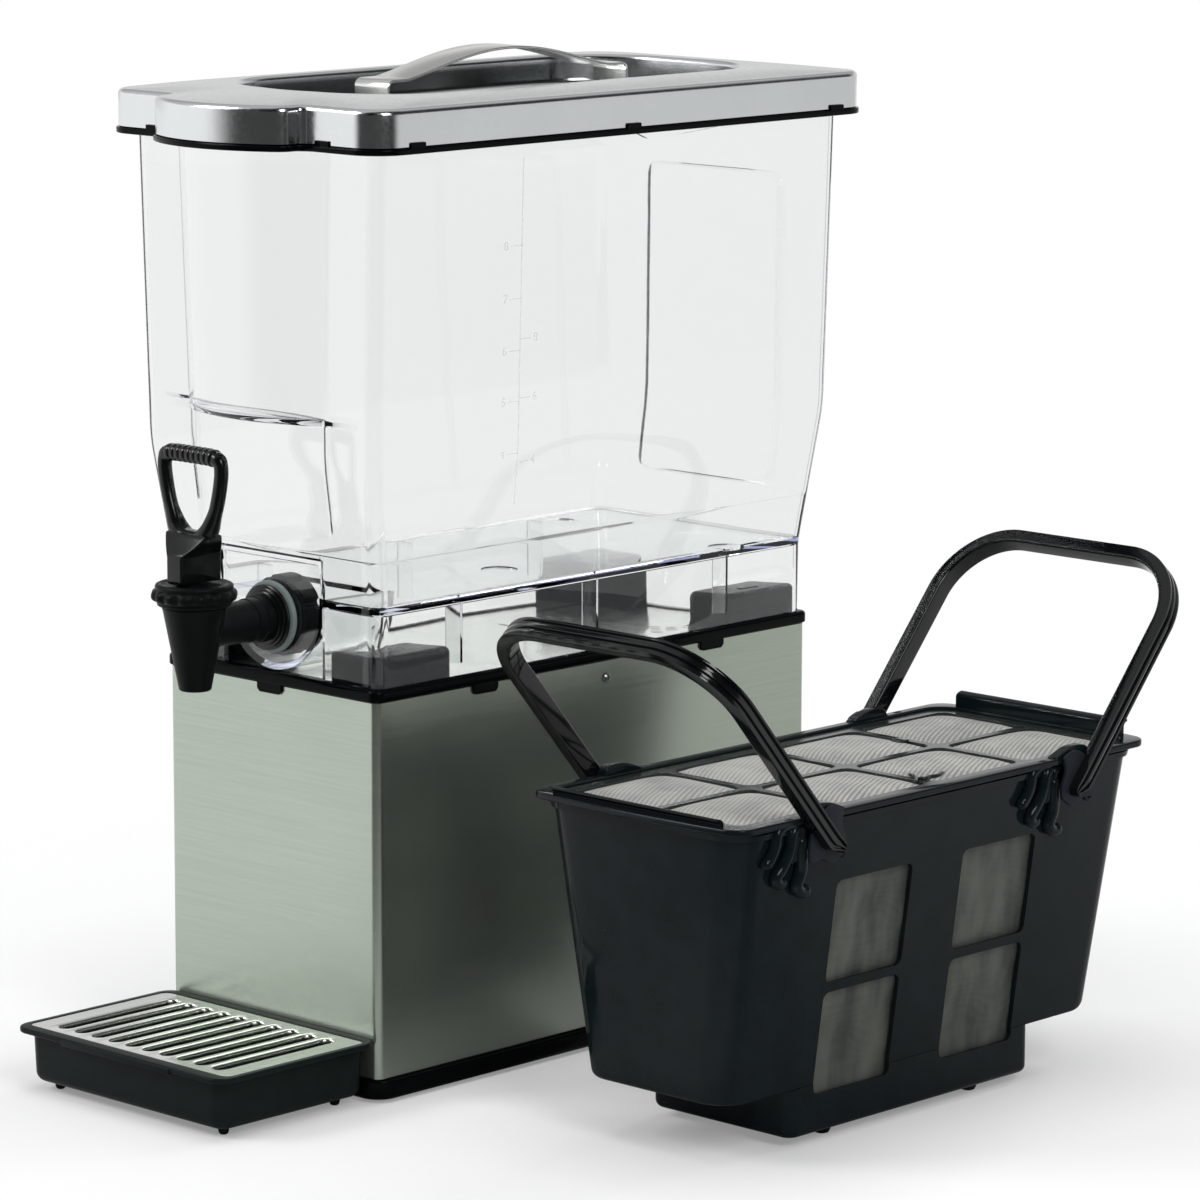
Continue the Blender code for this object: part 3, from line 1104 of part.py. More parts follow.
def well_outline(inset):
    """The well in the lid: a rounded rectangle with slightly bowed ends, with the lid's number of points."""
    half_x, half_y = WELL_HALF_WIDTH - inset, WELL_HALF_LENGTH - inset
    corner = WELL_CORNER - inset
    flat = half_x - corner
    front = []
    for i in range(LID_FRONT_POINTS):
        share = i / LID_FRONT_POINTS
        x = flat * share
        front.append((x, -half_y - WELL_BOW * (1 - share ** 2) * flat / WELL_CORNER))
    right = (front + arc((flat, -half_y + corner), corner, 270, 360, 4)
             + arc((flat, half_y - corner), corner, 0, 90, 4))
    return right + [(-x, y) for x, y in reversed(right[1:])]


def tub_top_outline(inset):
    """The tub's rim, with the lid's number of points."""
    half_x, half_y = TUB_TOP_WIDTH / 2 - inset, TUB_TOP_LENGTH / 2 - inset
    corner = max(TUB_CORNER - inset, TUB_CORNER / 3)
    front = []
    for i in range(LID_FRONT_POINTS):
        x = BOW_TOP_HALF_WIDTH * i / (LID_FRONT_POINTS - 1)
        front.append((x, -half_y - BOW_TOP_DEPTH * (1 - (x / BOW_TOP_HALF_WIDTH) ** 2)))
    right = (front + arc((half_x - corner, -half_y + corner), corner, 270, 360, 4)
             + arc((half_x - corner, half_y - corner), corner, 0, 90, 4))
    return right + [(-x, y) for x, y in reversed(right[1:])]


def build_lid_pan():
    rings = [at_height(lid_outline(0.0), LID_BOTTOM), at_height(lid_outline(0.0), LID_SHOULDER - LID_EDGE)]
    for inset, rise in reversed(edge_round(LID_EDGE)[:-1]):
        rings.append(at_height(lid_outline(LID_EDGE - inset), LID_SHOULDER - rise))
    rings.append(at_height(well_outline(-WELL_EDGE), LID_TOP))
    for inset, rise in reversed(edge_round(WELL_EDGE)[:-1]):
        rings.append(at_height(well_outline(-inset), LID_TOP - WELL_EDGE + rise))
    for inset, rise in reversed(edge_round(WELL_FLOOR_ROUND)):
        rings.append(at_height(well_outline(inset), WELL_FLOOR + rise))
    sheet("lid_pan", rings, LID_SHEET, BRIGHT_STEEL, floor=True)


def build_liner():
    inner = LID_SHEET + GAP
    stations = [
        (lid_outline(-LINER_PROUD), LINER_BOTTOM), (lid_outline(-LINER_PROUD), LINER_TOP),
        (lid_outline(inner), LINER_TOP), (lid_outline(inner), LINER_TOP + LINER_RISE),
        (tub_top_outline(TUB_WALL + LINER_CLEARANCE + LINER_LIP_WALL), LINER_TOP + LINER_RISE),
        (tub_top_outline(TUB_WALL + LINER_CLEARANCE + LINER_LIP_WALL), TUB_TOP - LINER_LIP),
        (tub_top_outline(TUB_WALL + LINER_CLEARANCE), TUB_TOP - LINER_LIP),
        (tub_top_outline(TUB_WALL + LINER_CLEARANCE), TUB_TOP + GAP),
        (tub_top_outline(-LINER_CLEARANCE), TUB_TOP + GAP),
        (tub_top_outline(-LINER_CLEARANCE), LINER_BOTTOM)]
    piece = loft("lid_liner", [at_height(outline, z) for outline, z in stations], SATIN_BLACK, tube=True)
    low, high = LINER_TOP - OVERLAP, LINER_TOP + LINER_TAB_HEIGHT
    half = LINER_TAB_WIDTH / 2
    near = GAP
    far = near + LINER_TAB_THICKNESS
    for side in (-1, 1):
        x = side * LINER_FRONT_TAB
        join(piece, block("front_tab", (x - half, -LID_FRONT - far, low), (x + half, -LID_FRONT - near, high)))
        face = sorted((side * (LID_WIDTH / 2 + near), side * (LID_WIDTH / 2 + far)))
        for y in (-LID_FRONT + LID_CORNER + LINER_TAB_WIDTH, 0.0, LID_REAR - LID_CORNER - LINER_TAB_WIDTH):
            join(piece, block("side_tab", (face[0], y - half, low), (face[1], y + half, high)))


def strap_line():
    """(y, z) along the underside of the strap, from its foot in the well to the top of its arch, for +Y."""
    floor = WELL_FLOOR + GAP + STRAP_THICKNESS
    leg = STRAP_HALF_LENGTH
    shoulder = LID_TOP + STRAP_LEG_RISE
    bend = STRAP_BEND
    line = [(leg - STRAP_FOOT, floor), (leg - bend, floor)]
    line += arc((leg - bend, floor + bend), bend, 270, 360, 3)[1:]
    line += arc((leg - bend, shoulder - bend), bend, 0, 80, 3)
    start_y = leg - STRAP_SHOULDER
    count = 7
    for i in range(count + 1):
        share = i / count
        rise = STRAP_ARCH * math.sin(math.pi / 2 * share) ** STRAP_ARCH_POWER
        line.append((start_y * (1 - share), shoulder + rise))
    return line


def offset_line(line, distance):
    """The line moved sideways by a distance, to its left as it runs."""
    moved = []
    for i, (y, z) in enumerate(line):
        before, after = Vector(line[max(i - 1, 0)]), Vector(line[min(i + 1, len(line) - 1)])
        way = (after - before).normalized()
        moved.append((y - way.y * distance, z + way.x * distance))
    return moved


def build_strap():
    half = strap_line()
    upper = offset_line(half, -STRAP_THICKNESS)
    lower_side = half + [(-y, z) for y, z in reversed(half[:-1])]
    upper_side = upper + [(-y, z) for y, z in reversed(upper[:-1])]
    outline = lower_side + list(reversed(upper_side))
    plate("lid_handle", [outline], -STRAP_WIDTH / 2, STRAP_WIDTH / 2, BRIGHT_STEEL, facing=FACING_SIDE)


# Filter basket

def basket_half_x(height):
    return between(height, [(BASKET_SHELF, BASKET_FOOT_HALF_WIDTH), (BASKET_RIM_BOTTOM, BASKET_TOP_HALF_WIDTH)])


def basket_half_y(height):
    return between(height, [(BASKET_SHELF, BASKET_FOOT_HALF_LENGTH), (BASKET_RIM_BOTTOM, BASKET_TOP_HALF_LENGTH)])


def basket_ring(half_x, half_y, corner, height, bow=0.0):
    """A rounded rectangle about the basket's middle, its ends bowed out."""
    corner = max(corner, MERGE)
    flat = half_x - corner
    shares = (-0.6, -0.2, 0.2, 0.6)
    front = [(flat * s, -half_y - bow * (1 - s * s)) for s in shares]
    outline = (arc((-flat, -half_y + corner), corner, 180, 270, 4) + front
               + arc((flat, -half_y + corner), corner, 270, 360, 4)
               + arc((flat, half_y - corner), corner, 0, 90, 4) + [(-x, -y) for x, y in front]
               + arc((-flat, half_y - corner), corner, 90, 180, 4))
    return [(BASKET_X + x, BASKET_Y + y, height) for x, y in outline]


def wall_ring(height, inset=0.0, end_inset=0.0):
    """The basket's wall at a height. The flat sides run straight down into the keel, so only the ends round in."""
    return basket_ring(basket_half_x(height) - inset, basket_half_y(height) - inset - end_inset,
                       BASKET_CORNER - inset, height)


def keel_ring(inset, height):
    return basket_ring(BASKET_FOOT_HALF_WIDTH + KEEL_STEP - inset, KEEL_HALF_LENGTH - inset, KEEL_CORNER - inset,
                       height)


def build_basket_shell():
    rim_x, rim_y = BASKET_RIM_HALF_WIDTH, BASKET_RIM_HALF_LENGTH
    edge = BASKET_RIM_THICKNESS / 4
    ledge_x = basket_half_x(BASKET_RIM_BOTTOM) - BASKET_WALL
    ledge_y = basket_half_y(BASKET_RIM_BOTTOM) - BASKET_WALL
    ledge_top = BASKET_RIM_TOP - LID_LEDGE_DROP
    ledge_corner = BASKET_CORNER - BASKET_WALL
    in_x, in_y = ledge_x - LID_LEDGE_WIDTH, ledge_y - LID_LEDGE_WIDTH
    in_corner = ledge_corner - LID_LEDGE_WIDTH
    rings = [keel_ring(inset, KEEL_BOTTOM + rise) for inset, rise in edge_round(BASKET_EDGE)]
    rings.append(keel_ring(0.0, BASKET_SHELF))
    for inset, rise in edge_round(BASKET_EDGE):
        rings.append(wall_ring(BASKET_SHELF + rise, 0.0, inset))
    rings += [wall_ring(BASKET_RIM_BOTTOM),
              basket_ring(rim_x, rim_y, BASKET_RIM_CORNER, BASKET_RIM_BOTTOM, BASKET_RIM_BOW),
              basket_ring(rim_x, rim_y, BASKET_RIM_CORNER, BASKET_RIM_TOP - edge, BASKET_RIM_BOW),
              basket_ring(rim_x - edge, rim_y - edge, BASKET_RIM_CORNER - edge, BASKET_RIM_TOP, BASKET_RIM_BOW),
              basket_ring(ledge_x, ledge_y, ledge_corner, BASKET_RIM_TOP),
              basket_ring(ledge_x, ledge_y, ledge_corner, ledge_top),
              basket_ring(in_x, in_y, in_corner, ledge_top),
              basket_ring(in_x, in_y, in_corner, ledge_top - LID_LEDGE_THICKNESS)]
    under = ledge_top - LID_LEDGE_THICKNESS - LID_LEDGE_WIDTH / 2
    rings.append(wall_ring(under, BASKET_WALL))
    inner_shelf = BASKET_SHELF + BASKET_WALL
    for inset, rise in reversed(edge_round(BASKET_EDGE)):
        rings.append(wall_ring(inner_shelf + rise, BASKET_WALL, inset))
    rings.append(keel_ring(BASKET_WALL, inner_shelf))
    for inset, rise in reversed(edge_round(BASKET_EDGE)):
        rings.append(keel_ring(BASKET_WALL + inset, KEEL_BOTTOM + BASKET_WALL + rise))
    piece = loft("basket_shell", rings, GLOSS_BLACK)
    middle = (WINDOW_BOTTOM + WINDOW_TOP) / 2
    rows = ((WINDOW_BOTTOM, middle - WINDOW_BAR / 2), (middle + WINDOW_BAR / 2, WINDOW_TOP))
    reach = BASKET_RIM_HALF_WIDTH
    for along in (-1, 1):
        near, far = sorted((BASKET_Y + along * WINDOW_NEAR, BASKET_Y + along * WINDOW_FAR))
        for low, high in rows:
            outline = rectangle(near, low, far, high, WINDOW_CORNER, steps=2)
            cut(piece, plate("window", [outline], BASKET_X - reach, BASKET_X + reach, facing=FACING_SIDE))
    add_rim_lips(piece)
    add_basket_nubs(piece)
    add_bail_pivots(piece)
    add_latches(piece)


def add_rim_lips(piece):
    """A raised lip along each end of the rim, curling outwards."""
    for end in (-1, 1):
        inner = basket_half_y(BASKET_RIM_BOTTOM)
        foot = BASKET_RIM_TOP - OVERLAP
        tall = LIP_HEIGHT if end > 0 else LIP_HEIGHT / 2
        top = BASKET_RIM_TOP + tall
        section = [(inner, foot), (inner + LIP_THICKNESS, foot), (inner + LIP_THICKNESS, top - LIP_CURL / 2),
                   (inner + LIP_CURL, top - LIP_THICKNESS / 2), (inner + LIP_CURL, top),
                   (inner + LIP_THICKNESS, top), (inner, top - LIP_CURL / 3)]
        placed = [(BASKET_Y + end * y, z) for y, z in section]
        join(piece, plate("rim_lip", [placed], BASKET_X - LIP_HALF_WIDTH, BASKET_X + LIP_HALF_WIDTH,
                          facing=FACING_SIDE))


def add_basket_nubs(piece):
    for number, (side, along) in enumerate([(side, along) for side in (-1, 1) for along in (-1, 1)]):
        half = BASKET_NUB_DIAMETER / 2
        profile = [(0.0, KEEL_BOTTOM + OVERLAP), (half, KEEL_BOTTOM + OVERLAP), (half, KEEL_BOTTOM / 2),
                   (half / 2, 0.0), (0.0, 0.0)]
        join(piece, turned("basket_nub_%d" % number, profile,
                           (BASKET_X + side * BASKET_NUB_X, BASKET_Y + along * BASKET_NUB_Y, 0.0), steps=12))


def bail_inner_face():
    return BASKET_RIM_HALF_WIDTH + BAIL_CLEARANCE


def add_bail_pivots(piece):
    wall = basket_half_x(BAIL_PIVOT_Z)
    for side in (-1, 1):
        for along in (-1, 1):
            y = BASKET_Y + along * BAIL_PIVOT_Y
            start = (BASKET_X + side * (wall - BASKET_WALL / 2), y, BAIL_PIVOT_Z)
            shoulder = (BASKET_X + side * (bail_inner_face() - GAP), y, BAIL_PIVOT_Z)
            end = (BASKET_X + side * (bail_inner_face() + BAIL_THICKNESS - GAP), y, BAIL_PIVOT_Z)
            join(piece, rod("bail_boss", start, shoulder, BAIL_BOSS))
            join(piece, rod("bail_pin", start, end, BAIL_PIN, 12))


def add_latches(piece):
    """Snap latches under the rim, halfway along each side."""
    for side in (-1, 1):
        wall = basket_half_x(BASKET_RIM_BOTTOM - LATCH_DROP)
        inner = BASKET_X + side * (wall - BASKET_WALL / 2)
        outer = BASKET_X + side * (wall + LATCH_THICKNESS)
        low, high = sorted((inner, outer))
        join(piece, block("latch", (low, BASKET_Y - LATCH_LENGTH / 2, BASKET_RIM_BOTTOM - LATCH_DROP),
                          (high, BASKET_Y + LATCH_LENGTH / 2, BASKET_RIM_BOTTOM + OVERLAP)))


def build_side_meshes():
    """Filter cloth behind the windows, following the wall's slope and the upright keel below it."""
    low, high = WINDOW_BOTTOM - MESH_MARGIN, WINDOW_TOP + MESH_MARGIN
    half_y = WINDOW_FAR + MESH_MARGIN

    def face(height, inset):
        return basket_half_x(max(height, BASKET_SHELF)) - inset

    near = BASKET_WALL + 2 * GAP
    far = near + MESH_SHEET
    knee = BASKET_SHELF + BASKET_EDGE
    line = [low, knee, high]
    for side, label in ((-1, "left"), (1, "right")):
        outer = [(side * face(z, near + KEEL_STEP), z) for z in line]
        inner = [(side * face(z, far + KEEL_STEP), z) for z in reversed(line)]
        outline = [(-(BASKET_X + x), z) for x, z in outer + inner]
        plate("basket_mesh_" + label, [outline], BASKET_Y - half_y, BASKET_Y + half_y, MESH_CLOTH,
              facing=FACING_REAR)


def build_basket_lid():
    half_x = basket_half_x(BASKET_RIM_BOTTOM) - BASKET_WALL - GAP
    half_y = basket_half_y(BASKET_RIM_BOTTOM) - BASKET_WALL - GAP
    corner = BASKET_CORNER - BASKET_WALL - GAP

    def around(points):
        return [(BASKET_X + x, BASKET_Y + y) for x, y in points]

    outlines = [around(centred(half_x, half_y, corner, steps=4))]
    open_x, open_y = half_x - FRAME_MARGIN, half_y - FRAME_MARGIN
    pitch = (2 * open_y + FRAME_RIB) / FRAME_WINDOWS
    for row in range(FRAME_WINDOWS):
        low_y = -open_y + row * pitch
        for low_x, high_x in ((-open_x, -FRAME_RIB / 2), (FRAME_RIB / 2, open_x)):
            outlines.append(around(rectangle(low_x, low_y, high_x, low_y + pitch - FRAME_RIB, FRAME_CORNER,
                                             steps=2)))
    plate("basket_lid", outlines, FRAME_BOTTOM, FRAME_BOTTOM + FRAME_THICKNESS, GLOSS_BLACK)
    inset = LID_LEDGE_WIDTH + GAP
    outline = around(centred(half_x - inset, half_y - inset, corner - inset, steps=3))
    top = FRAME_BOTTOM - GAP
    plate("basket_lid_mesh", [outline], top - MESH_SHEET, top, MESH_CLOTH)


def bail_path():
    """(x, distance from the pivot axis) along one bail's middle line, foot to foot."""
    half = bail_inner_face() + BAIL_THICKNESS / 2
    corner = BAIL_CORNER
    reach = BAIL_LEG
    right = [(half, BAIL_EYE / 3)] + arc((half - corner, reach - corner), corner, 0, 90, 6)
    return right + [(-x, d) for x, d in reversed(right)]


def bail_section():
    """(outwards, along the pivot's turn) points of the bail's grooved section."""
    t, d = BAIL_THICKNESS / 2, BAIL_DEPTH / 2
    g, r = BAIL_GROOVE, BAIL_RIDGE
    return [(t, -d), (t, -d + r), (t - g, -d + r), (t - g, -r / 2), (t, -r / 2), (t, r / 2), (t - g, r / 2),
            (t - g, d - r), (t, d - r), (t, d), (-t, d), (-t, -d)]


def build_bail(name, end):
    """One bail, drawn upright about its pivots, then leaned outwards to the end of the basket it belongs to."""
    path = bail_path()
    rings = []
    for i, (x, d) in enumerate(path):
        before, after = Vector(path[max(i - 1, 0)]), Vector(path[min(i + 1, len(path) - 1)])
        way = (after - before).normalized()
        out = Vector((way.y, -way.x))
        rings.append([(x + out.x * across, turn, d + out.y * across) for across, turn in bail_section()])
    piece = loft(name, rings, GLOSS_BLACK)
    inner, outer = bail_inner_face(), bail_inner_face() + BAIL_THICKNESS
    for side in (-1, 1):
        low, high = sorted((side * inner, side * outer))
        cam = (arc((0.0, 0.0), BAIL_EYE / 2, 160, 380, 8)
               + arc((-end * CAM_EAR_OFFSET, CAM_EAR_RISE), CAM_EAR_RADIUS, 20, 160, 5))
        join(piece, plate("bail_eye", [cam], low + GAP, high - GAP, facing=FACING_SIDE))
        cut(piece, rod("bail_pin_bore", (side * (inner - OVERRUN), 0.0, 0.0), (side * (outer + OVERRUN), 0.0, 0.0),
                       BAIL_PIN_BORE, 12))
    return piece


def build_bails():
    for name, end in (("front_bail", -1), ("rear_bail", 1)):
        piece = build_bail(name, end)
        place = Vector((BASKET_X, BASKET_Y + end * BAIL_PIVOT_Y, BAIL_PIVOT_Z))
        lean = Matrix.Translation(place) @ Matrix.Rotation(-end * BAIL_LEAN, 4, "X")
        piece.matrix_world = lean
        for step in piece.modifiers:
            step.object.matrix_world = lean @ step.object.matrix_world


build_foot_plate()
build_wrap()
build_collar()
build_deck()
build_side_screws()
build_tray()
build_grate()
build_tub()
build_tap()
build_lid_pan()
build_liner()
build_strap()
build_basket_shell()
build_side_meshes()
build_basket_lid()
build_bails()
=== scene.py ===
# Cold brew dispenser with its filter basket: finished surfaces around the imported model.
import math

import bmesh
import bpy
import numpy as np
from mathutils import Matrix, Vector


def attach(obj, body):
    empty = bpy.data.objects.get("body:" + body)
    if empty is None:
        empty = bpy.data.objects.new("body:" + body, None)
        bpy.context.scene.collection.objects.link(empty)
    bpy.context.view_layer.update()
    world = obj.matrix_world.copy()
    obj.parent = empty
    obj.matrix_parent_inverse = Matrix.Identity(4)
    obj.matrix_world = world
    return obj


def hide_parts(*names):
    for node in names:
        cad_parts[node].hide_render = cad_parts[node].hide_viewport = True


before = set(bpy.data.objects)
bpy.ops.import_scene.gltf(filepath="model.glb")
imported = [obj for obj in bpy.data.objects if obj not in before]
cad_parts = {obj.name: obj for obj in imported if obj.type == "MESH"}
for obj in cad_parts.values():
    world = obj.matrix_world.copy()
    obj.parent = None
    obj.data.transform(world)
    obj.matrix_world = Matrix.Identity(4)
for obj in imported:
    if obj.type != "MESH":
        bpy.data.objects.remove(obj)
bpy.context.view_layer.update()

print("stage: frame loaded")


# Shapes: each is a pair of points and faces, worked out as arrays.

fourWays = [(side, along) for side in (-1, 1) for along in (-1, 1)]

def smooth(value, low, high):
    # 0 below low, 1 above high, with an eased climb between them
    share = np.clip((np.asarray(value, float) - low) / (high - low), 0.0, 1.0)
    return share * share * (3 - 2 * share)


def arc(centreX, centreY, radius, start, end, count):
    # points on a circle from one angle to another, in degrees
    angle = np.radians(np.linspace(start, end, count + 1))
    return np.column_stack((centreX + radius * np.cos(angle), centreY + radius * np.sin(angle)))


def quarter(edge, steps=5):
    # (inset, rise) of a rounded bottom edge, from its lowest ring to the upright wall
    angle = np.linspace(0, math.pi / 2, steps + 1)
    return np.column_stack((edge * (1 - np.sin(angle)), edge * (1 - np.cos(angle))))


def boxTemplate(cornerSteps=8, frontSteps=2, sideSteps=2):
    # one turn of a rounded rectangle, anticlockwise from the front left
    # its columns are the shares of the straight part, then the corner's direction
    across = np.linspace(-1, 1, frontSteps + 1)
    along = np.linspace(-1, 1, sideSteps + 1)
    turns = []
    for sx, sy, start in ((1, -1, 270), (1, 1, 0), (-1, 1, 90), (-1, -1, 180)):
        angle = np.radians(np.linspace(start, start + 90, cornerSteps + 1)[1:-1])
        turns.append(np.column_stack((np.broadcast_to((sx, sy), (len(angle), 2)), np.cos(angle), np.sin(angle))))
    flat = np.ones_like(across)
    tall = np.ones_like(along)
    front = np.column_stack((across, -flat, 0 * flat, -flat))
    right = np.column_stack((tall, along, tall, 0 * tall))
    sides = [front, right, -front, -right]
    return np.concatenate([part for pair in zip(sides, turns) for part in pair])


def boxRings(rows, template, centre=(0.0, 0.0)):
    # rows of (half x, half y, corner, height) swept over the template:
    # share * (half - corner) + corner * direction
    halfX, halfY, corner, height = np.asarray(rows, float).T[:, :, None]
    sx, sy, cx, cy = template.T[:, None, :]
    x = centre[0] + sx * (halfX - corner) + corner * cx
    y = centre[1] + sy * (halfY - corner) + corner * cy
    return np.stack((x, y, np.broadcast_to(height, x.shape)), axis=-1)


def skin(grid, ringed=False, capFirst=True, capLast=True, wrapped=True):
    # quads between neighbouring rings, with the end rings filled unless the grid closes on itself
    rows, cols = grid.shape[:2]
    r = np.arange(rows if ringed else rows - 1)
    c = np.arange(cols if wrapped else cols - 1)
    rr, cc = np.meshgrid(r, c, indexing="ij")
    r2, c2 = (rr + 1) % rows, (cc + 1) % cols
    quads = np.stack((rr * cols + cc, rr * cols + c2, r2 * cols + c2, r2 * cols + cc), axis=-1)
    faces = quads.reshape(-1, 4).tolist()
    if wrapped and not ringed:
        if capFirst:
            faces.append(list(range(cols))[::-1])
        if capLast:
            faces.append([(rows - 1) * cols + i for i in range(cols)])
    return grid.reshape(-1, 3), faces


def flatRings(outlines, heights):
    # outlines of equal length, each lifted to its own height
    return np.stack([np.column_stack((outline, np.full(len(outline), height)))
                     for outline, height in zip(outlines, heights)])


def revolve(profile, centre, steps, axis="Z"):
    # a profile of (radius, along) turned about an axis through the centre, listed from low to high
    profile = np.asarray(profile, float)
    angle = np.linspace(0, 2 * math.pi, steps, endpoint=False)
    radius, along = profile[:, :1], np.broadcast_to(profile[:, 1:2], (len(profile), steps))
    a, b = radius * np.cos(angle), radius * np.sin(angle)
    if axis == "Z":
        grid = np.stack((a, b, along), axis=-1)
    elif axis == "Y":
        grid = np.stack((b, along, a), axis=-1)
    else:
        grid = np.stack((along, a, b), axis=-1)
    return grid + np.asarray(centre, float)


def slab(outline, low, high, axis, edge=0.0):
    # a flat outline given thickness along an axis, its rims rounded by drawing the outline towards its middle
    outline = np.asarray(outline, float)
    middle = (outline.min(axis=0) + outline.max(axis=0)) / 2
    half = np.maximum((outline.max(axis=0) - outline.min(axis=0)) / 2, 1e-6)
    stations = [(0.0, low), (0.0, high)]
    if edge:
        turned = quarter(edge, 3)
        stations = [(i, low + r) for i, r in turned] + [(i, high - r) for i, r in turned[::-1]]
    rings = []
    for inset, place in stations:
        drawn = middle + (outline - middle) * (1 - inset / half)
        level = np.full(len(outline), place)
        first, second = drawn.T
        rings.append(np.column_stack({"Z": (first, second, level), "X": (level, first, second),
                                      "Y": (-first, level, second)}[axis]))
    return skin(np.stack(rings))


def boxOutline(lowX, lowY, highX, highY, corner=0.0, steps=5):
    corner = max(corner, 1e-5)
    return np.concatenate((arc(lowX + corner, lowY + corner, corner, 180, 270, steps),
                           arc(highX - corner, lowY + corner, corner, 270, 360, steps),
                           arc(highX - corner, highY - corner, corner, 0, 90, steps),
                           arc(lowX + corner, highY - corner, corner, 90, 180, steps)))


def brick(low, high, corner=0.0, edge=0.0):
    return slab(boxOutline(low[0], low[1], high[0], high[1], corner), low[2], high[2], "Z", edge)


def wayAlong(line):
    # the direction of a line at each of its points
    way = np.gradient(line, axis=0)
    return way / np.linalg.norm(way, axis=1, keepdims=True)


def sweep(path, section, normals, closed=False):
    # a section (across, outward) carried along a path: point + across * side + outward * normal
    path, section, normals = (np.asarray(part, float) for part in (path, section, normals))
    if closed:
        tangent = np.roll(path, -1, axis=0) - np.roll(path, 1, axis=0)
        tangent /= np.linalg.norm(tangent, axis=1, keepdims=True)
    else:
        tangent = wayAlong(path)
    side = np.cross(tangent, normals)
    side /= np.linalg.norm(side, axis=1, keepdims=True)
    outward = np.cross(side, tangent)
    return path[:, None] + section[None, :, :1] * side[:, None] + section[None, :, 1:2] * outward[:, None]


def splined(knots, steps, closed=False):
    # a smooth line through the knots: cubic pieces whose slopes are half the step between the neighbours
    knots = np.asarray(knots, float)
    count = len(knots)
    first = np.arange(count if closed else count - 1)
    picks = [first + shift for shift in (-1, 0, 1, 2)]
    picks = [pick % count if closed else np.clip(pick, 0, count - 1) for pick in picks]
    a, b, c, d = (knots[pick][:, None] for pick in picks)
    s = np.linspace(0, 1, steps, endpoint=False)[None, :, None]
    line = 0.5 * (2 * b + (c - a) * s + (2 * a - 5 * b + 4 * c - d) * s ** 2
                  + (3 * b - a - 3 * c + d) * s ** 3)
    line = line.reshape(-1, knots.shape[1])
    return line if closed else np.concatenate((line, knots[-1:]))


def roundSection(halfAcross, halfOut, power, steps):
    # a rounded section between an oval and a box: |a|^power + |b|^power = 1
    angle = np.linspace(0, 2 * math.pi, steps, endpoint=False)
    cosine, sine = np.cos(angle), np.sin(angle)
    share = 2 / power
    return np.column_stack((halfAcross * np.sign(cosine) * abs(cosine) ** share,
                            halfOut * np.sign(sine) * abs(sine) ** share))


def bar(knots, radius, normal=(1.0, 0.0, 0.0)):
    # a round bar along a smooth line, its ends rounded off: radius * sqrt(1 - (1 - reach / radius)^2)
    tipShare = 0.04  # the square of the last ring's share, so that the end stays open enough to fill
    path = splined(knots, 6)
    run = np.concatenate(([0.0], np.cumsum(np.linalg.norm(np.diff(path, axis=0), axis=1))))
    reach = np.clip(np.minimum(run, run[-1] - run) / radius, 0, 1)
    grow = np.sqrt(np.maximum(1 - (1 - reach) ** 2, tipShare))
    grid = sweep(path, roundSection(radius, radius, 2.0, 12), np.broadcast_to(normal, path.shape))
    return skin(path[:, None] + (grid - path[:, None]) * grow[:, None, None])


def joined(shapes):
    # several shapes as one list of points and faces
    points, faces, start = [], [], 0
    for shapePoints, shapeFaces in shapes:
        points.append(shapePoints)
        faces += [[i + start for i in face] for face in shapeFaces]
        start += len(shapePoints)
    return np.concatenate(points), faces


def meshOf(name, shapes, weld=0.0):
    points, faces = joined(shapes)
    mesh = bpy.data.meshes.new(name)
    mesh.from_pydata(points.tolist(), [], faces)
    mesh.validate()
    if weld:
        work = bmesh.new()
        work.from_mesh(mesh)
        bmesh.ops.remove_doubles(work, verts=work.verts, dist=weld)
        bmesh.ops.recalc_face_normals(work, faces=work.faces)
        work.to_mesh(mesh)
        work.free()
    return mesh


def addObject(name, mesh):
    made = bpy.data.objects.new(name, mesh)
    bpy.context.scene.collection.objects.link(made)
    return made


def combine(piece, shapes, operation):
    # an exact Boolean of the piece with closed shapes, kept as the piece's new mesh
    for shape in shapes:
        tool = addObject("tool", meshOf("tool", [shape]))
        step = piece.modifiers.new("step", "BOOLEAN")
        step.operation = operation
        step.solver = "EXACT"
        step.object = tool
        bpy.context.view_layer.update()
        fresh = bpy.data.meshes.new_from_object(piece.evaluated_get(bpy.context.evaluated_depsgraph_get()))
        piece.modifiers.remove(step)
        old = piece.data
        fresh.name = old.name
        piece.data = fresh
        bpy.data.meshes.remove(old)
        bpy.data.meshes.remove(tool.data)


def makePiece(name, shapes, finish, body, nodes=(), angle=32, weld=0.0, booleans=(), bevel=0.0,
              sheet=0.0, offset=0.0):
    # booleans are (operation, shapes) in order; bevel and sheet are modifiers left on the piece
    piece = addObject(name, meshOf(name, shapes, weld))
    for operation, parts in booleans:
        combine(piece, parts, operation)
    piece.data.materials.clear()
    piece.data.materials.append(finish)
    piece.data.shade_smooth()
    piece.data.set_sharp_from_angle(angle=math.radians(angle))
    if bevel:
        edge = piece.modifiers.new("edge", "BEVEL")
        edge.width = bevel
        edge.segments = 2
        edge.limit_method = "ANGLE"
        edge.angle_limit = math.radians(35)
        edge.harden_normals = True
    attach(piece, body)
    if nodes:
        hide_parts(*nodes)
    if sheet:
        wall = piece.modifiers.new("sheet", "SOLIDIFY")
        wall.thickness = sheet
        wall.offset = offset


# Finishes

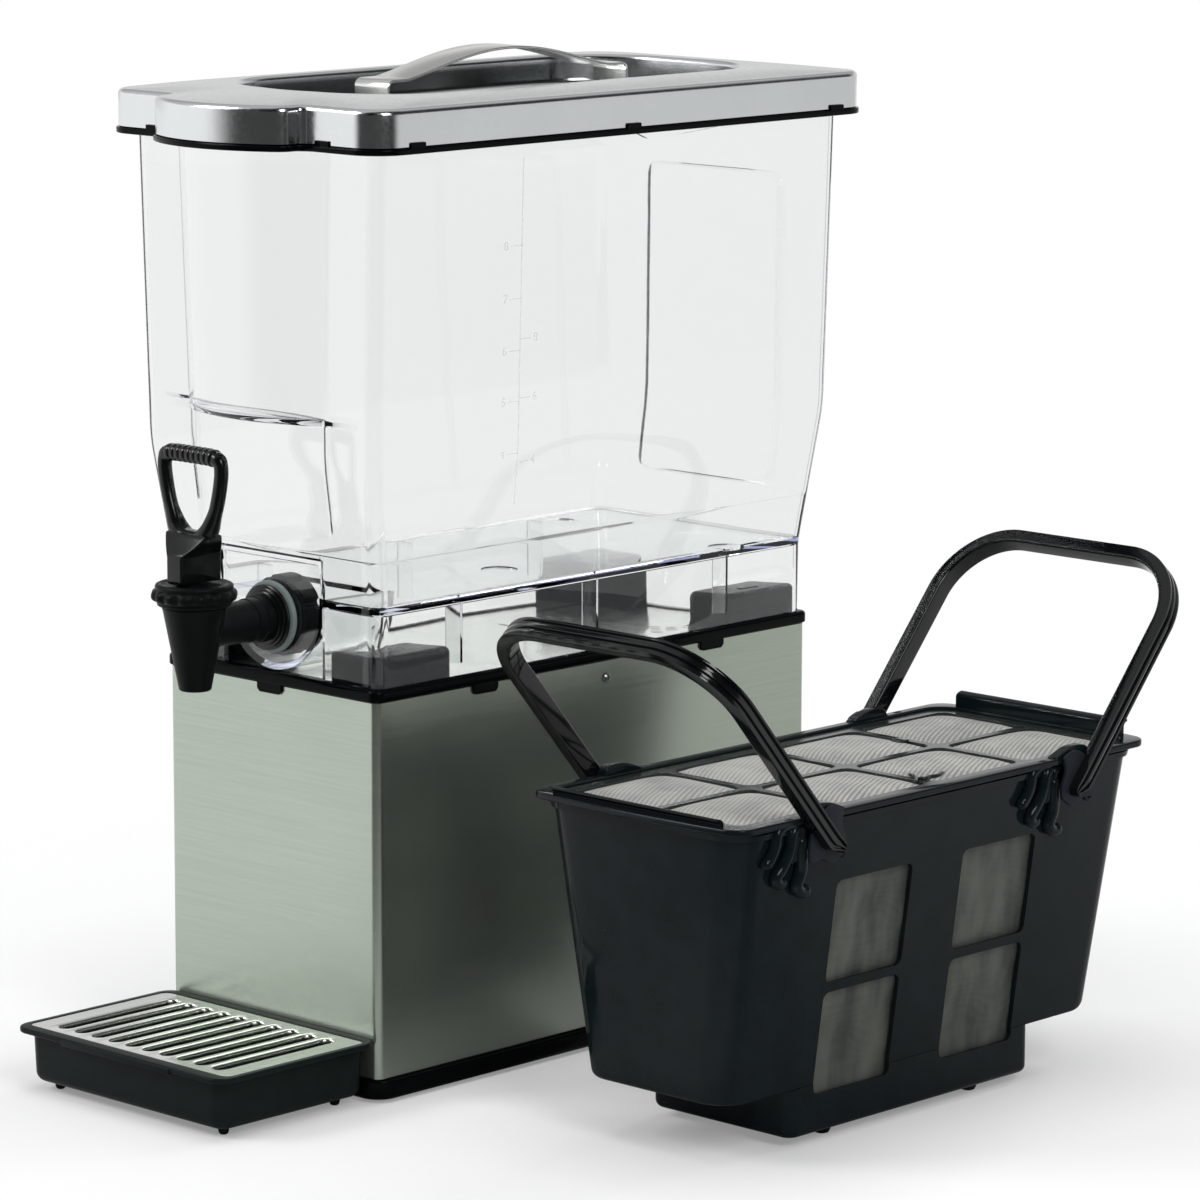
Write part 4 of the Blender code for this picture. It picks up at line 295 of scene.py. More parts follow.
def startFinish(name, colour, roughness, metallic=0.0, **sockets):
    material = bpy.data.materials.new(name)
    material.use_nodes = True
    nodes = material.node_tree.nodes
    surface = nodes["Principled BSDF"]
    surface.inputs["Base Color"].default_value = (*colour, 1.0)
    surface.inputs["Roughness"].default_value = roughness
    surface.inputs["Metallic"].default_value = metallic
    for socket, value in sockets.items():
        surface.inputs[socket].default_value = value
    where = nodes.new("ShaderNodeTexCoord")
    return {"material": material, "nodes": nodes, "links": material.node_tree.links, "surface": surface,
            "where": where.outputs["Object"]}


def addNode(kit, kind, inputs=None, **settings):
    node = kit["nodes"].new(kind)
    for key, value in settings.items():
        setattr(node, key, value)
    for key, value in (inputs or {}).items():
        if isinstance(value, bpy.types.NodeSocket):
            kit["links"].new(value, node.inputs[key])
        else:
            node.inputs[key].default_value = value
    return node


def placed(kit, scale=(1, 1, 1), turn=(0, 0, 0), shift=(0, 0, 0)):
    return addNode(kit, "ShaderNodeMapping", {"Vector": kit["where"], "Scale": scale, "Rotation": turn,
                                              "Location": shift}).outputs["Vector"]


def noise(kit, scale, detail=3.0, roughness=0.5, vector=None):
    return addNode(kit, "ShaderNodeTexNoise", {"Vector": vector or kit["where"], "Scale": scale, "Detail": detail,
                                               "Roughness": roughness}).outputs["Fac"]


def bands(kit, vector, scale, distortion, direction, **settings):
    return addNode(kit, "ShaderNodeTexWave", {"Vector": vector, "Scale": scale, "Distortion": distortion, **settings},
                   wave_type="BANDS", bands_direction=direction).outputs["Fac"]


def spread(kit, value, low, high, fromLow=0.3, fromHigh=0.7, easing="LINEAR"):
    # a value between two limits stretched to a new range
    return addNode(kit, "ShaderNodeMapRange", {"Value": value, "From Min": fromLow, "From Max": fromHigh,
                                               "To Min": low, "To Max": high},
                   interpolation_type=easing).outputs["Result"]


def arithmetic(kit, operation, first, second=0.0):
    return addNode(kit, "ShaderNodeMath", {0: first, 1: second}, operation=operation).outputs["Value"]


def times(kit, first, second):
    return arithmetic(kit, "MULTIPLY", first, second)


def oneMinus(kit, value):
    return arithmetic(kit, "SUBTRACT", 1.0, value)


def blended(kit, first, firstShare, second, secondShare):
    # first * its share + second * its share
    return arithmetic(kit, "ADD", times(kit, first, firstShare), times(kit, second, secondShare))


def feed(kit, value, socket):
    kit["links"].new(value, kit["surface"].inputs[socket])


def tinted(kit, share, first, second):
    # the base colour between two, each of them a colour or a socket
    first, second = (part if isinstance(part, bpy.types.NodeSocket) else (*part, 1.0) for part in (first, second))
    colour = addNode(kit, "ShaderNodeMix", {"Factor": share, 6: first, 7: second}, data_type="RGBA").outputs[2]
    feed(kit, colour, "Base Color")
    return colour


def raised(kit, height, strength, distance, under=None):
    inputs = {"Height": height, "Strength": strength, "Distance": distance}
    if under is not None:
        inputs["Normal"] = under
    out = addNode(kit, "ShaderNodeBump", inputs).outputs["Normal"]
    feed(kit, out, "Normal")
    return out


def brushedFinish(name, colour, dark, roughness, stretch, depth, anisotropy, metallic=1.0):
    # fine scratches along the sheet, and a broad cloudiness in tone and gloss
    sockets = {"Anisotropic": anisotropy, "Anisotropic Rotation": 0.25}
    kit = startFinish(name, colour, roughness, metallic, **sockets)
    fine = noise(kit, 1.0, 1.0, 0.5, placed(kit, stretch))
    cloud = noise(kit, 3.0, 2.0, 0.5)
    tinted(kit, spread(kit, blended(kit, fine, 0.5, cloud, 0.5), 0.0, 1.0), dark, colour)
    feed(kit, spread(kit, fine, roughness - 0.010, roughness + 0.015), "Roughness")
    raised(kit, fine, 0.1, depth)
    return kit["material"]


# the heights and half widths over which the painted shade in the lid's well comes in and goes out
paintedWellShade = {"colour": (0.10, 0.107, 0.108), "low": (0.4960, 0.4985), "high": (0.5070, 0.5112),
             "halfX": (0.074, 0.080), "halfY": (0.105, 0.152)}


def pressedFinish(name, colour, dark, roughness):
    # bright pressed sheet: slow dents that bend the reflections, a faint orange-peel skin, and painted shade on the
    # well's walls
    kit = startFinish(name, colour, roughness, 1.0)
    skinned = noise(kit, 480.0, 2.0, 0.6)
    slow = noise(kit, 38.0, 2.0, 0.5)
    cloud = noise(kit, 11.0, 3.0, 0.55)
    base = tinted(kit, spread(kit, cloud, 0.0, 1.0), dark, colour)
    # painted shade: the well's walls, which only mirror one another, are darkened in their colour over a band of
    # heights inside the well's outline
    place = addNode(kit, "ShaderNodeSeparateXYZ", {0: kit["where"]}).outputs
    acrossX, acrossY = (arithmetic(kit, "ABSOLUTE", place[axis]) for axis in "XY")
    band = times(kit, spread(kit, place["Z"], 0.0, 1.0, *paintedWellShade["low"]),
                 spread(kit, place["Z"], 1.0, 0.0, *paintedWellShade["high"]))
    within = times(kit, spread(kit, acrossX, 1.0, 0.0, *paintedWellShade["halfX"]),
                   spread(kit, acrossY, 1.0, 0.0, *paintedWellShade["halfY"]))
    tinted(kit, times(kit, band, within), base, paintedWellShade["colour"])
    feed(kit, spread(kit, skinned, roughness - 0.02, roughness + 0.06), "Roughness")
    raised(kit, slow, 0.2, 0.0009, raised(kit, skinned, 0.30, 0.00004))
    return kit["material"]


def plasticFinish(name, colour, roughness, grain, depth, specular):
    # moulded plastic: a fine grain, a slow waviness that bends the highlights, and faint rubbed patches
    tone = 1.2
    kit = startFinish(name, colour, roughness, 0.0, **{"Specular IOR Level": specular})
    grains = noise(kit, grain, 2.0, 0.5)
    waves = noise(kit, 26.0, 2.0, 0.5)
    rubbed = noise(kit, 60.0, 4.0, 0.6)
    dark, light = (tuple(part * factor for part in colour) for factor in (1 / tone, tone))
    tinted(kit, spread(kit, rubbed, 0.0, 1.0), dark, light)
    feed(kit, spread(kit, rubbed, roughness * 0.88, roughness * 1.15), "Roughness")
    raised(kit, waves, 0.08, 0.0005, raised(kit, grains, 0.15, depth))
    return kit["material"]


def clearFinish(name, colour, through, edge, density):
    # clear moulded plastic: a slow ripple in the walls, and a violet tint where they are seen edge on
    # lamps pass through it and reach what stands behind
    kit = startFinish(name, colour, 0.012, 0.0, **{"Transmission Weight": 1.0, "IOR": 1.46})
    ripple = noise(kit, 11.0, 2.0, 0.5)
    fine = noise(kit, 90.0, 2.0, 0.5)
    raised(kit, arithmetic(kit, "ADD", ripple, times(kit, fine, 0.05)), 0.1, 0.0012)
    feed(kit, spread(kit, fine, 0.004, 0.03), "Roughness")
    path = addNode(kit, "ShaderNodeLightPath").outputs
    plain = addNode(kit, "ShaderNodeBsdfTransparent", {"Color": (*through, 1.0)}).outputs["BSDF"]
    mix = addNode(kit, "ShaderNodeMixShader", {0: path["Is Shadow Ray"], 1: kit["surface"].outputs["BSDF"], 2: plain})
    tint = addNode(kit, "ShaderNodeVolumeAbsorption", {"Color": (*edge, 1.0), "Density": density})
    output = kit["nodes"]["Material Output"].inputs
    kit["links"].new(mix.outputs["Shader"], output["Surface"])
    kit["links"].new(tint.outputs["Volume"], output["Volume"])
    return kit["material"]


def speckFinish(name, colour, roughness, dark, light, speckle, gloss, bump, **sockets):
    # a fine speckle of (scale, detail, roughness) in colour and gloss, raised by (strength, distance)
    kit = startFinish(name, colour, roughness, 0.0, **sockets)
    speck = noise(kit, *speckle)
    tinted(kit, speck, dark, light)
    feed(kit, spread(kit, speck, *gloss), "Roughness")
    raised(kit, speck, *bump)
    return kit["material"]


def meshFinish(name, light, dark, turn, pitch, patches, contrast):
    # woven filter cloth: diagonal ribs at their pitch crossed by finer threads, with cloudy light and dark patches
    kit = startFinish(name, light, 0.6, 0.0, **{"Sheen Weight": 0.1})
    turned = placed(kit, (1, 1, 1), turn)
    scale = math.pi / 10 / pitch
    ribs = bands(kit, turned, scale, 1.2, "X", **{"Detail": 1.0, "Detail Scale": 0.6})
    threads = bands(kit, turned, 2 * scale, 0.3, "Y")
    weave = blended(kit, ribs, 0.75, threads, 0.25)
    cloud = noise(kit, 1.0, 3.0, 0.6, placed(kit, patches))
    mixed = blended(kit, weave, contrast, cloud, 0.9)
    tinted(kit, spread(kit, mixed, 0.0, 1.0, 0.3 + contrast * 0.3, 0.6 + contrast * 0.7), dark, light)
    feed(kit, spread(kit, weave, 0.5, 0.7, 0.2, 0.8), "Roughness")
    raised(kit, weave, 0.6, 0.00010)
    return kit["material"]


# name, colour, darker colour, roughness, grain along x, y and z, its depth, anisotropy, metallic share
baseSteel = brushedFinish("satinBaseSteel", (0.475, 0.53, 0.455), (0.42, 0.475, 0.41), 0.25, (16, 16, 900),
                          0.0000004, 0.35, 0.9)
screwSteel = brushedFinish("screwSteel", (0.40, 0.41, 0.39), (0.30, 0.31, 0.30), 0.30, (900, 900, 900), 0.00001, 0.0)
brightSteel = brushedFinish("brightSteel", (0.90, 0.91, 0.88), (0.82, 0.83, 0.80), 0.20, (1900, 14, 1900),
                            0.00003, 0.4)
lidSteel = pressedFinish("lidSteel", (0.80, 0.825, 0.83), (0.74, 0.765, 0.77), 0.17)

# name, colour, roughness, scale of the grain, its depth, specular level
trimBlack = plasticFinish("trimBlack", (0.0015, 0.0019, 0.0022), 0.13, 1400.0, 0.000006, 0.06)
trayCharcoal = plasticFinish("trayCharcoal", (0.0065, 0.0105, 0.0100), 0.34, 1200.0, 0.00004, 0.08)
tapBlack = plasticFinish("tapBlack", (0.003, 0.0042, 0.0042), 0.42, 1500.0, 0.00004, 0.09)
leverBlack = plasticFinish("leverBlack", (0.003, 0.0035, 0.0035), 0.16, 900.0, 0.00001, 0.34)
basketBlack = plasticFinish("basketBlack", (0.0052, 0.0086, 0.0098), 0.08, 700.0, 0.000002, 0.17)
bailBlack = plasticFinish("bailBlack", (0.003, 0.0035, 0.004), 0.08, 700.0, 0.000002, 0.50)
plateGrey = plasticFinish("hingePlate", (0.012, 0.015, 0.020), 0.42, 1300.0, 0.00003, 0.12)
lidFrameBlack = plasticFinish("basketLidFrame", (0.016, 0.021, 0.019), 0.14, 1100.0, 0.00001, 0.5)
blockBlue = plasticFinish("collarBlock", (0.0012, 0.0035, 0.0040), 0.26, 1200.0, 0.00003, 0.05)

clearTub = clearFinish("clearTub", (0.938, 0.952, 0.936), (0.93, 0.95, 0.945), (0.60, 0.63, 0.85), 14.0)
greySilicone = speckFinish("greySilicone", (0.15, 0.185, 0.18), 0.45, (0.12, 0.15, 0.145), (0.17, 0.205, 0.20),
                           (420.0, 3.0, 0.6), (0.38, 0.55), (0.15, 0.0001),
                           **{"Subsurface Weight": 0.15, "Subsurface Radius": (0.002, 0.002, 0.002)})
footRubber = speckFinish("footRubber", (0.02, 0.02, 0.02), 0.8, (0.010, 0.010, 0.010), (0.022, 0.022, 0.022),
                         (900.0, 3.0, 0.6), (0.7, 0.9), (0.3, 0.0001))
scaleFrost = speckFinish("tubScale", (0.52, 0.57, 0.56), 0.5, (0.48, 0.53, 0.52), (0.60, 0.64, 0.63),
                         (300.0, 2.0, 0.5), (0.4, 0.6), (0.2, 0.00005),
                         **{"Alpha": 0.17, "Specular IOR Level": 0.3})

# name, light colour, dark colour, turn of the weave, pitch of its ribs, scale of the patches, contrast
lidCloth = meshFinish("lidCloth", (0.375, 0.365, 0.34), (0.150, 0.152, 0.143), (0, 0, math.radians(-27.3)),
                      0.0025, (38, 38, 38), 0.7)
sideCloth = meshFinish("sideCloth", (0.085, 0.095, 0.075), (0.018, 0.023, 0.019),
                       (math.radians(52), 0, math.radians(90)), 0.0012, (60, 60, 14), 0.22)
print("stage: finishes made")


# Stand

stand = {"halfX": 0.078, "halfY": 0.163, "corner": 0.0045, "sheet": 0.001, "low": 0.0123, "high": 0.2080,
         "lip": 0.0003, "plateX": 0.08125, "plateY": 0.16625, "plateCorner": 0.013, "plateLow": 0.0015,
         "plateTop": 0.0120, "plateEdge": 0.003, "plateRim": 0.0012, "upstand": 0.010, "upstandWall": 0.002,
         "upstandCorner": 0.0032, "innerCorner": 0.0015}


def insetRows(halfX, halfY, corner, steps):
    # rows of a box drawn in by each (inset, height)
    return [(halfX - inset, halfY - inset, corner - inset, height) for inset, height in steps]


def buildStand():
    s = stand
    edges = [(i, s["plateLow"] + r) for i, r in quarter(s["plateEdge"], 6)]
    edges += [(i, s["plateTop"] - r) for i, r in quarter(s["plateRim"], 4)[::-1]]
    rows = insetRows(s["plateX"], s["plateY"], s["plateCorner"], edges)
    up, wall, top = s["sheet"] + s["lip"], s["upstandWall"], s["plateTop"] + s["upstand"]
    outer = (s["halfX"] - up, s["halfY"] - up, s["upstandCorner"])
    inner = (outer[0] - wall, outer[1] - wall, s["innerCorner"])
    rows += [(*outer, s["plateTop"]), (*outer, top), (*inner, top), (*inner, s["plateLow"] + s["plateEdge"])]
    makePiece("footPlate", [skin(boxRings(rows, boxTemplate(10, 4, 6)))], trimBlack, "base",
              ["base_foot"])
    low, high, lip, sheet = s["low"], s["high"], s["lip"], s["sheet"]
    steps = [(lip, low), (0.0, low + lip), (0.0, high - lip), (lip, high), (sheet, high), (sheet, low)]
    wrap = boxRings(insetRows(s["halfX"], s["halfY"], s["corner"], steps), boxTemplate(12, 4, 6))
    makePiece("steelWrap", [skin(wrap, ringed=True)], baseSteel, "base", ["base_shell"])
    for name in ("front_left", "front_right", "rear_left", "rear_right"):
        dress("rubber_foot_" + name, footRubber)
    for name in ("side_screw_left", "side_screw_right"):
        dress(name, screwSteel)
    dress("base_deck", brightSteel)


def dress(node, finish):
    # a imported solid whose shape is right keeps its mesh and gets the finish
    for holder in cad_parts[node].material_slots:
        holder.material = finish


collar = {"low": 0.2083, "high": 0.2145, "halfX": 0.0795, "halfY": 0.1645, "corner": 0.006, "edge": 0.0020,
          "lowEdge": 0.0008, "seat": (0.0736, 0.1573, 0.002), "seatDrop": 0.0018, "shelf": (0.069, 0.153, 0.002),
          "shelfDrop": 0.0055, "skirtIn": (0.0745, 0.1595, 0.002), "skirtOut": (0.0767, 0.1617, 0.0032),
          "skirtDrop": 0.0146,
          "tabWidth": 0.018, "tabDrop": 0.005, "tabTop": 0.0006, "tabCorner": 0.0018, "tabThick": 0.0011,
          "tabX": 0.0783, "tabY": 0.1633, "tabSpacing": 0.172,
          "blockX": 0.0742, "blockY": 0.1579, "blockWidth": 0.036, "blockLength": 0.0525, "blockTop": 0.2305,
          "blockCorner": 0.0055, "blockEdge": 0.0035, "markHalf": 0.0028, "markX": (0.002, 0.0075), "markProud": 0.0005}


def buildCollar():
    # the section (inset, height) runs up the outside, over the edge and down the inside to the skirt
    c = collar
    edges = [(i, c["low"] + r) for i, r in quarter(c["lowEdge"], 3)]
    edges += [(i, c["high"] - r) for i, r in quarter(c["edge"], 5)[::-1]]
    rows = insetRows(c["halfX"], c["halfY"], c["corner"], edges)
    seat, shelf, foot = c["high"] - c["seatDrop"], c["high"] - c["shelfDrop"], c["low"] - c["skirtDrop"]
    rows += [(*c["seat"], c["high"]), (*c["seat"], seat), (*c["shelf"], seat), (*c["shelf"], shelf),
             (*c["skirtIn"], shelf), (*c["skirtIn"], foot), (*c["skirtOut"], foot), (*c["skirtOut"], c["low"])]
    shapes = [skin(boxRings(rows, boxTemplate(8, 4, 6)), ringed=True)]
    half, drop, cham, top = c["tabWidth"] / 2, c["tabDrop"], c["tabCorner"], c["tabTop"]
    tab = np.array([(-half, top), (-half, cham - drop), (cham - half, -drop), (half - cham, -drop),
                    (half, cham - drop), (half, top)]) + (0.0, c["low"])
    for side in (-1, 1):
        shapes.append(slab(tab, *sorted((side * c["tabY"], side * (c["tabY"] + c["tabThick"]))), "Y"))
        for along in (-1, 1):
            moved = tab + (along * c["tabSpacing"] / 2, 0.0)
            shapes.append(slab(moved, *sorted((side * c["tabX"], side * (c["tabX"] + c["tabThick"]))), "X"))
    makePiece("collarRing", shapes, trimBlack, "base", ["base_collar"], bevel=0.0002)


def buildBlocks():
    # four corner blocks, with two raised pads on the rear right one
    c = collar
    halfX, halfY, top = c["blockWidth"] / 2, c["blockLength"] / 2, c["blockTop"]
    levels = [(0.0, c["high"] - 0.0006)] + [(i, top - r) for i, r in quarter(c["blockEdge"], 6)[::-1]]
    rows = insetRows(halfX, halfY, c["blockCorner"], levels)
    x, y = c["blockX"] - halfX, c["blockY"] - halfY
    blocks = [skin(boxRings(rows, boxTemplate(8), (side * x, front * y))) for side, front in fourWays]
    for middle in (y - 0.0035, y + 0.0035):
        low = (x + c["markX"][0], middle - c["markHalf"], top - 0.0002)
        high = (x + c["markX"][1], middle + c["markHalf"], top + c["markProud"])
        blocks.append(brick(low, high, 0.001))
    makePiece("collarBlocks", blocks, blockBlue, "base")


buildStand()
buildCollar()
buildBlocks()
print("stage: stand")


# Drip tray and grate

tray = {"halfX": 0.079, "front": -0.2722, "rear": -0.1633, "top": 0.0336, "rim": 0.003, "rimEdge": 0.0009,
        "corner": 0.009, "overhang": 0.005, "frontLap": 0.0052, "lift": 0.0045, "edge": 0.0055, "rearGap": 0.16655,
        "flare": 0.0006, "seatX": 0.0032, "seatFront": 0.007, "seatRear": 0.0057, "seatDrop": 0.0018,
        "wallX": 0.0025, "wallY": 0.0045, "wellCorner": 0.005, "floor": 0.0025, "nubInset": 0.012,
        "nub": ((0.0002, 0.0), (0.0017, 0.0), (0.0024, 0.0006), (0.0028, 0.0022), (0.0028, 0.0052), (0.0002, 0.0052)),
        "gripHalf": 0.041, "gripFront": 0.0008, "gripRear": 0.0040, "gripLow": 0.0038, "gripHigh": 0.0007}


def trayRings(rows, template):
    # rows of (half x, front, rear, corner, height) about the tray's own middle
    rings = []
    for halfX, front, rear, corner, height in rows:
        middle = (0.0, (front + rear) / 2)
        rings.append(boxRings([(halfX, (rear - front) / 2, corner, height)], template, middle)[0])
    return np.stack(rings)


def buildTray():
    # up the outside, over the rim to the grate's seat, then down into the well
    t = tray
    flare, corner, well = t["flare"], t["corner"], t["wellCorner"]
    under, seat = t["top"] - t["rim"], t["top"] - t["seatDrop"]
    bodyX, bodyFront, bodyRear = t["halfX"] - t["overhang"], t["front"] + t["frontLap"], -t["rearGap"]
    rows = [(bodyX - i - flare, bodyFront + i + flare, bodyRear - i, corner - i, t["lift"] + r)
            for i, r in quarter(t["edge"], 7)]
    rows += [(bodyX, bodyFront, bodyRear, corner, under - flare),
             (bodyX + flare, bodyFront - flare, bodyRear, corner, under)]
    rows += [(t["halfX"] - i, t["front"] + i, t["rear"], corner - i / 2, under + r)
             for i, r in quarter(t["rimEdge"], 4)]
    rows += [(t["halfX"] - i, t["front"] + i, t["rear"] - i / 2, corner - i / 2, t["top"] - r)
             for i, r in quarter(t["rimEdge"], 4)[::-1]]
    ledge = (t["halfX"] - t["seatX"], t["front"] + t["seatFront"], t["rear"] - t["seatRear"], well)
    wellX, wellFront, wellRear = bodyX - t["wallX"], bodyFront + t["wallY"], bodyRear - t["wallY"]
    rows += [(*ledge, t["top"]), (*ledge, seat), (wellX, wellFront, wellRear, well, seat)]
    rows += [(wellX - i, wellFront + i, wellRear - i, well - i / 2, t["lift"] + t["floor"] + r)
             for i, r in quarter(well, 5)[::-1]]
    shapes = [skin(trayRings(rows, boxTemplate(10, 3, 3)))]
    grip = boxOutline(-t["gripHalf"], t["front"] - t["gripFront"], t["gripHalf"], t["front"] + t["gripRear"],
                      0.0007, 3)
    shapes.append(slab(grip, t["top"] - t["gripLow"], t["top"] - t["gripHigh"], "Z", 0.0004))
    for side in (-1, 1):
        for y in (bodyFront + t["nubInset"], bodyRear - t["nubInset"]):
            shapes.append(skin(revolve(t["nub"], (side * (bodyX - t["nubInset"]), y, 0.0), 24)))
    makePiece("dripTray", shapes, trayCharcoal, "tray", ["drip_tray"])


grate = {"halfX": 0.0755, "front": -0.2649, "rear": -0.1693, "top": 0.0333, "slots": 10, "pitch": 0.013,
         "slot": 0.0078, "margin": 0.0075, "lip": 0.0014, "drop": 0.0024, "sheet": 0.0009, "corner": 0.0047}


def stadium(centreX, halfX, low, high, steps):
    # a slot with round ends: right side, rear end, left side, front end
    front, rear = low + halfX, high - halfX
    return np.concatenate((arc(centreX, front, halfX, 270, 360, steps), arc(centreX, rear, halfX, 0, 90, steps),
                           arc(centreX, rear, halfX, 90, 180, steps), arc(centreX, front, halfX, 180, 270, steps)))


def cellOutline(lowX, highX, low, high, steps):
    # the rectangle round a slot, with as many points as the slot has
    middle = (lowX + highX) / 2
    share = np.linspace(0, 1, steps + 1)
    half = (highX - lowX) / 2
    quarterX, quarterY = np.minimum(share * 2, 1) * half, np.clip(share * 2 - 1, 0, 1) * half
    frontRight = np.column_stack((middle + quarterX, low + quarterY))
    rearRight = np.column_stack((middle + quarterX[::-1], high - quarterY[::-1]))
    rearLeft = np.column_stack((2 * middle - rearRight[::-1, 0], rearRight[::-1, 1]))
    frontLeft = np.column_stack((2 * middle - frontRight[::-1, 0], frontRight[::-1, 1]))
    return np.concatenate((frontRight, rearRight, rearLeft, frontLeft))


def slotPlace(number):
    return (number - (grate["slots"] - 1) / 2) * grate["pitch"]


def slotCell(x):
    # one slot with its share of the plate: over the rounded lip, round its foot and back up under the sheet
    g = grate
    half, lip, sheet, steps = g["slot"] / 2, g["lip"], g["sheet"], 8
    low, high = g["front"] + g["margin"], g["rear"] - g["margin"]
    angle = np.linspace(0, math.pi / 2, 5)
    stations = [(lip * (1 - math.sin(a)), lip * (1 - math.cos(a))) for a in angle]
    stations += [(0.0, g["drop"]), (sheet, g["drop"])]
    stations += [((lip - sheet) * (1 - math.sin(a)) + sheet, sheet + (lip - sheet) * (1 - math.cos(a)))
                 for a in angle[::-1]]
    cell = cellOutline(x - g["pitch"] / 2, x + g["pitch"] / 2, g["front"], g["rear"], steps)
    outlines, heights = [cell], [g["top"]]
    for grow, drop in stations:
        outlines.append(stadium(x, half + grow, low - grow, high + grow, steps))
        heights.append(g["top"] - drop)
    outlines.append(cell)
    heights.append(g["top"] - sheet)
    points, faces = skin(flatRings(outlines, heights), capFirst=False, capLast=False)
    return points, [face[::-1] for face in faces]


def buildGrate():
    shapes = [slotCell(slotPlace(number)) for number in range(grate["slots"])]
    shapes += [marginShape(-1), marginShape(1), frontRearRims()]
    makePiece("dripGrate", shapes, brightSteel, "grate", ["drip_grate"], weld=0.00002, angle=40)


def marginShape(side):
    # the plain strip beyond the last slot: its outer corners rounded, its outer edge turned down
    g = grate
    corner, half = g["corner"], g["pitch"] / 2
    outer = np.concatenate((arc(g["halfX"] - corner, g["front"] + corner, corner, 270, 360, 6),
                            arc(g["halfX"] - corner, g["rear"] - corner, corner, 0, 90, 6)))
    edge = g["slots"] * half
    inner = np.column_stack((np.full(len(outer), edge), np.concatenate((
        np.linspace(g["front"], g["front"] + half, 7), np.linspace(g["rear"] - half, g["rear"], 7)))))
    grid = flatRings([inner, outer, outer, inner],
                     [g["top"], g["top"], g["top"] - g["sheet"], g["top"] - g["sheet"]]) * (side, 1, 1)
    return skin(grid, wrapped=False)


def frontRearRims():
    # the narrow front and rear faces of the slotted middle
    g = grate
    xs = np.concatenate([slotPlace(number) + np.linspace(-1, 1, 9) * g["pitch"] / 2 for number in range(g["slots"])])
    shapes = []
    for y in (g["front"], g["rear"]):
        line = np.column_stack((xs, np.full(len(xs), y)))
        shapes.append(skin(flatRings([line, line], [g["top"], g["top"] - g["sheet"]]), wrapped=False))
    return joined(shapes)


buildTray()
buildGrate()
print("stage: drip tray")


# Tub

tub = {"low": 0.2148, "floor": 0.0372, "height": 0.2732, "wall": 0.003, "corner": 0.008,
       "rises": (0.0372, 0.1127, 0.2732), "halfX": (0.0775, 0.0854, 0.0898), "halfY": (0.1612, 0.1718, 0.1733),
       "bend": 0.007, "bowShelf": 0.1322, "bowRound": 0.005, "bowFillet": 0.002, "bowDepth": (0.0175, 0.020),
       "bowHalf": (0.050, 0.055), "panelDepth": 0.0018, "panelFoot": 0.073, "panelFade": 0.015,
       "panelHalf": 0.0487, "padHalf": 0.037, "padTop": 0.0582, "rearHalf": 0.0485, "rearFoot": 0.0662,
       "rearTop": 0.2362, "rearDepth": 0.0015, "rearCorner": 0.006, "sumpRadius": 0.036, "sumpAxis": 0.2514,
       "sumpFront": -0.1610, "sumpLength": 0.050, "tapHole": 0.0246, "tapZ": 0.2430, "ribSpacing": 0.1005,
       "ribDepth": 0.011, "ribHalf": 0.0008, "pocket": 0.0102, "pockets": ((0.029, -0.027), (-0.057, 0.109), (0.066, 0.109))}


def spanAt(rise, name):
    # the half size at each level, its bend eased by averaging over a short height
    offsets = np.linspace(-1, 1, 9) * tub["bend"]
    levels = np.maximum(rise[:, None] + offsets, 0)
    eased = np.interp(levels, tub["rises"], tub[name]).mean(axis=1)
    return np.where(rise < tub["rises"][0], tub[name][0], eased)


def tubStations():
    # one turn round the tub, as columns: which wall a station is on (1 front, 2 rear, 0 sides and corners), its
    # place along that wall or its corner's two signs, and the corner's direction; millimetres, closer at steps
    half = np.array((0, 4, 8, 12, 16, 20, 24, 28, 32, 34.5, 36.2, 36.7, 37.3, 37.8, 39.5, 42, 44.5, 46.5, 47.8,
                     48.3, 49.1, 50)) / 1000
    front = np.concatenate((-half[:0:-1], half))
    back = np.array((60, 53, 50, 49.4, 48.8, 48.2, 47.6, 46.5, 40, 20, 0)) / 1000
    rear = np.concatenate((back, -back[-2::-1]))
    rows = [np.column_stack((np.ones_like(front), front, 0 * front, 0 * front, -np.ones_like(front)))]
    for sx, sy, start in ((1, -1, 270), (1, 1, 0), (-1, 1, 90), (-1, -1, 180)):
        angle = np.radians(np.linspace(start, start + 90, 9))
        rows.append(np.column_stack((np.broadcast_to((0, sx, sy), (9, 3)), np.cos(angle), np.sin(angle))))
        if start == 0:
            rows.append(np.column_stack((np.full(len(rear), 2), rear, 0 * rear, 0 * rear, np.ones_like(rear))))
    return np.concatenate(rows)


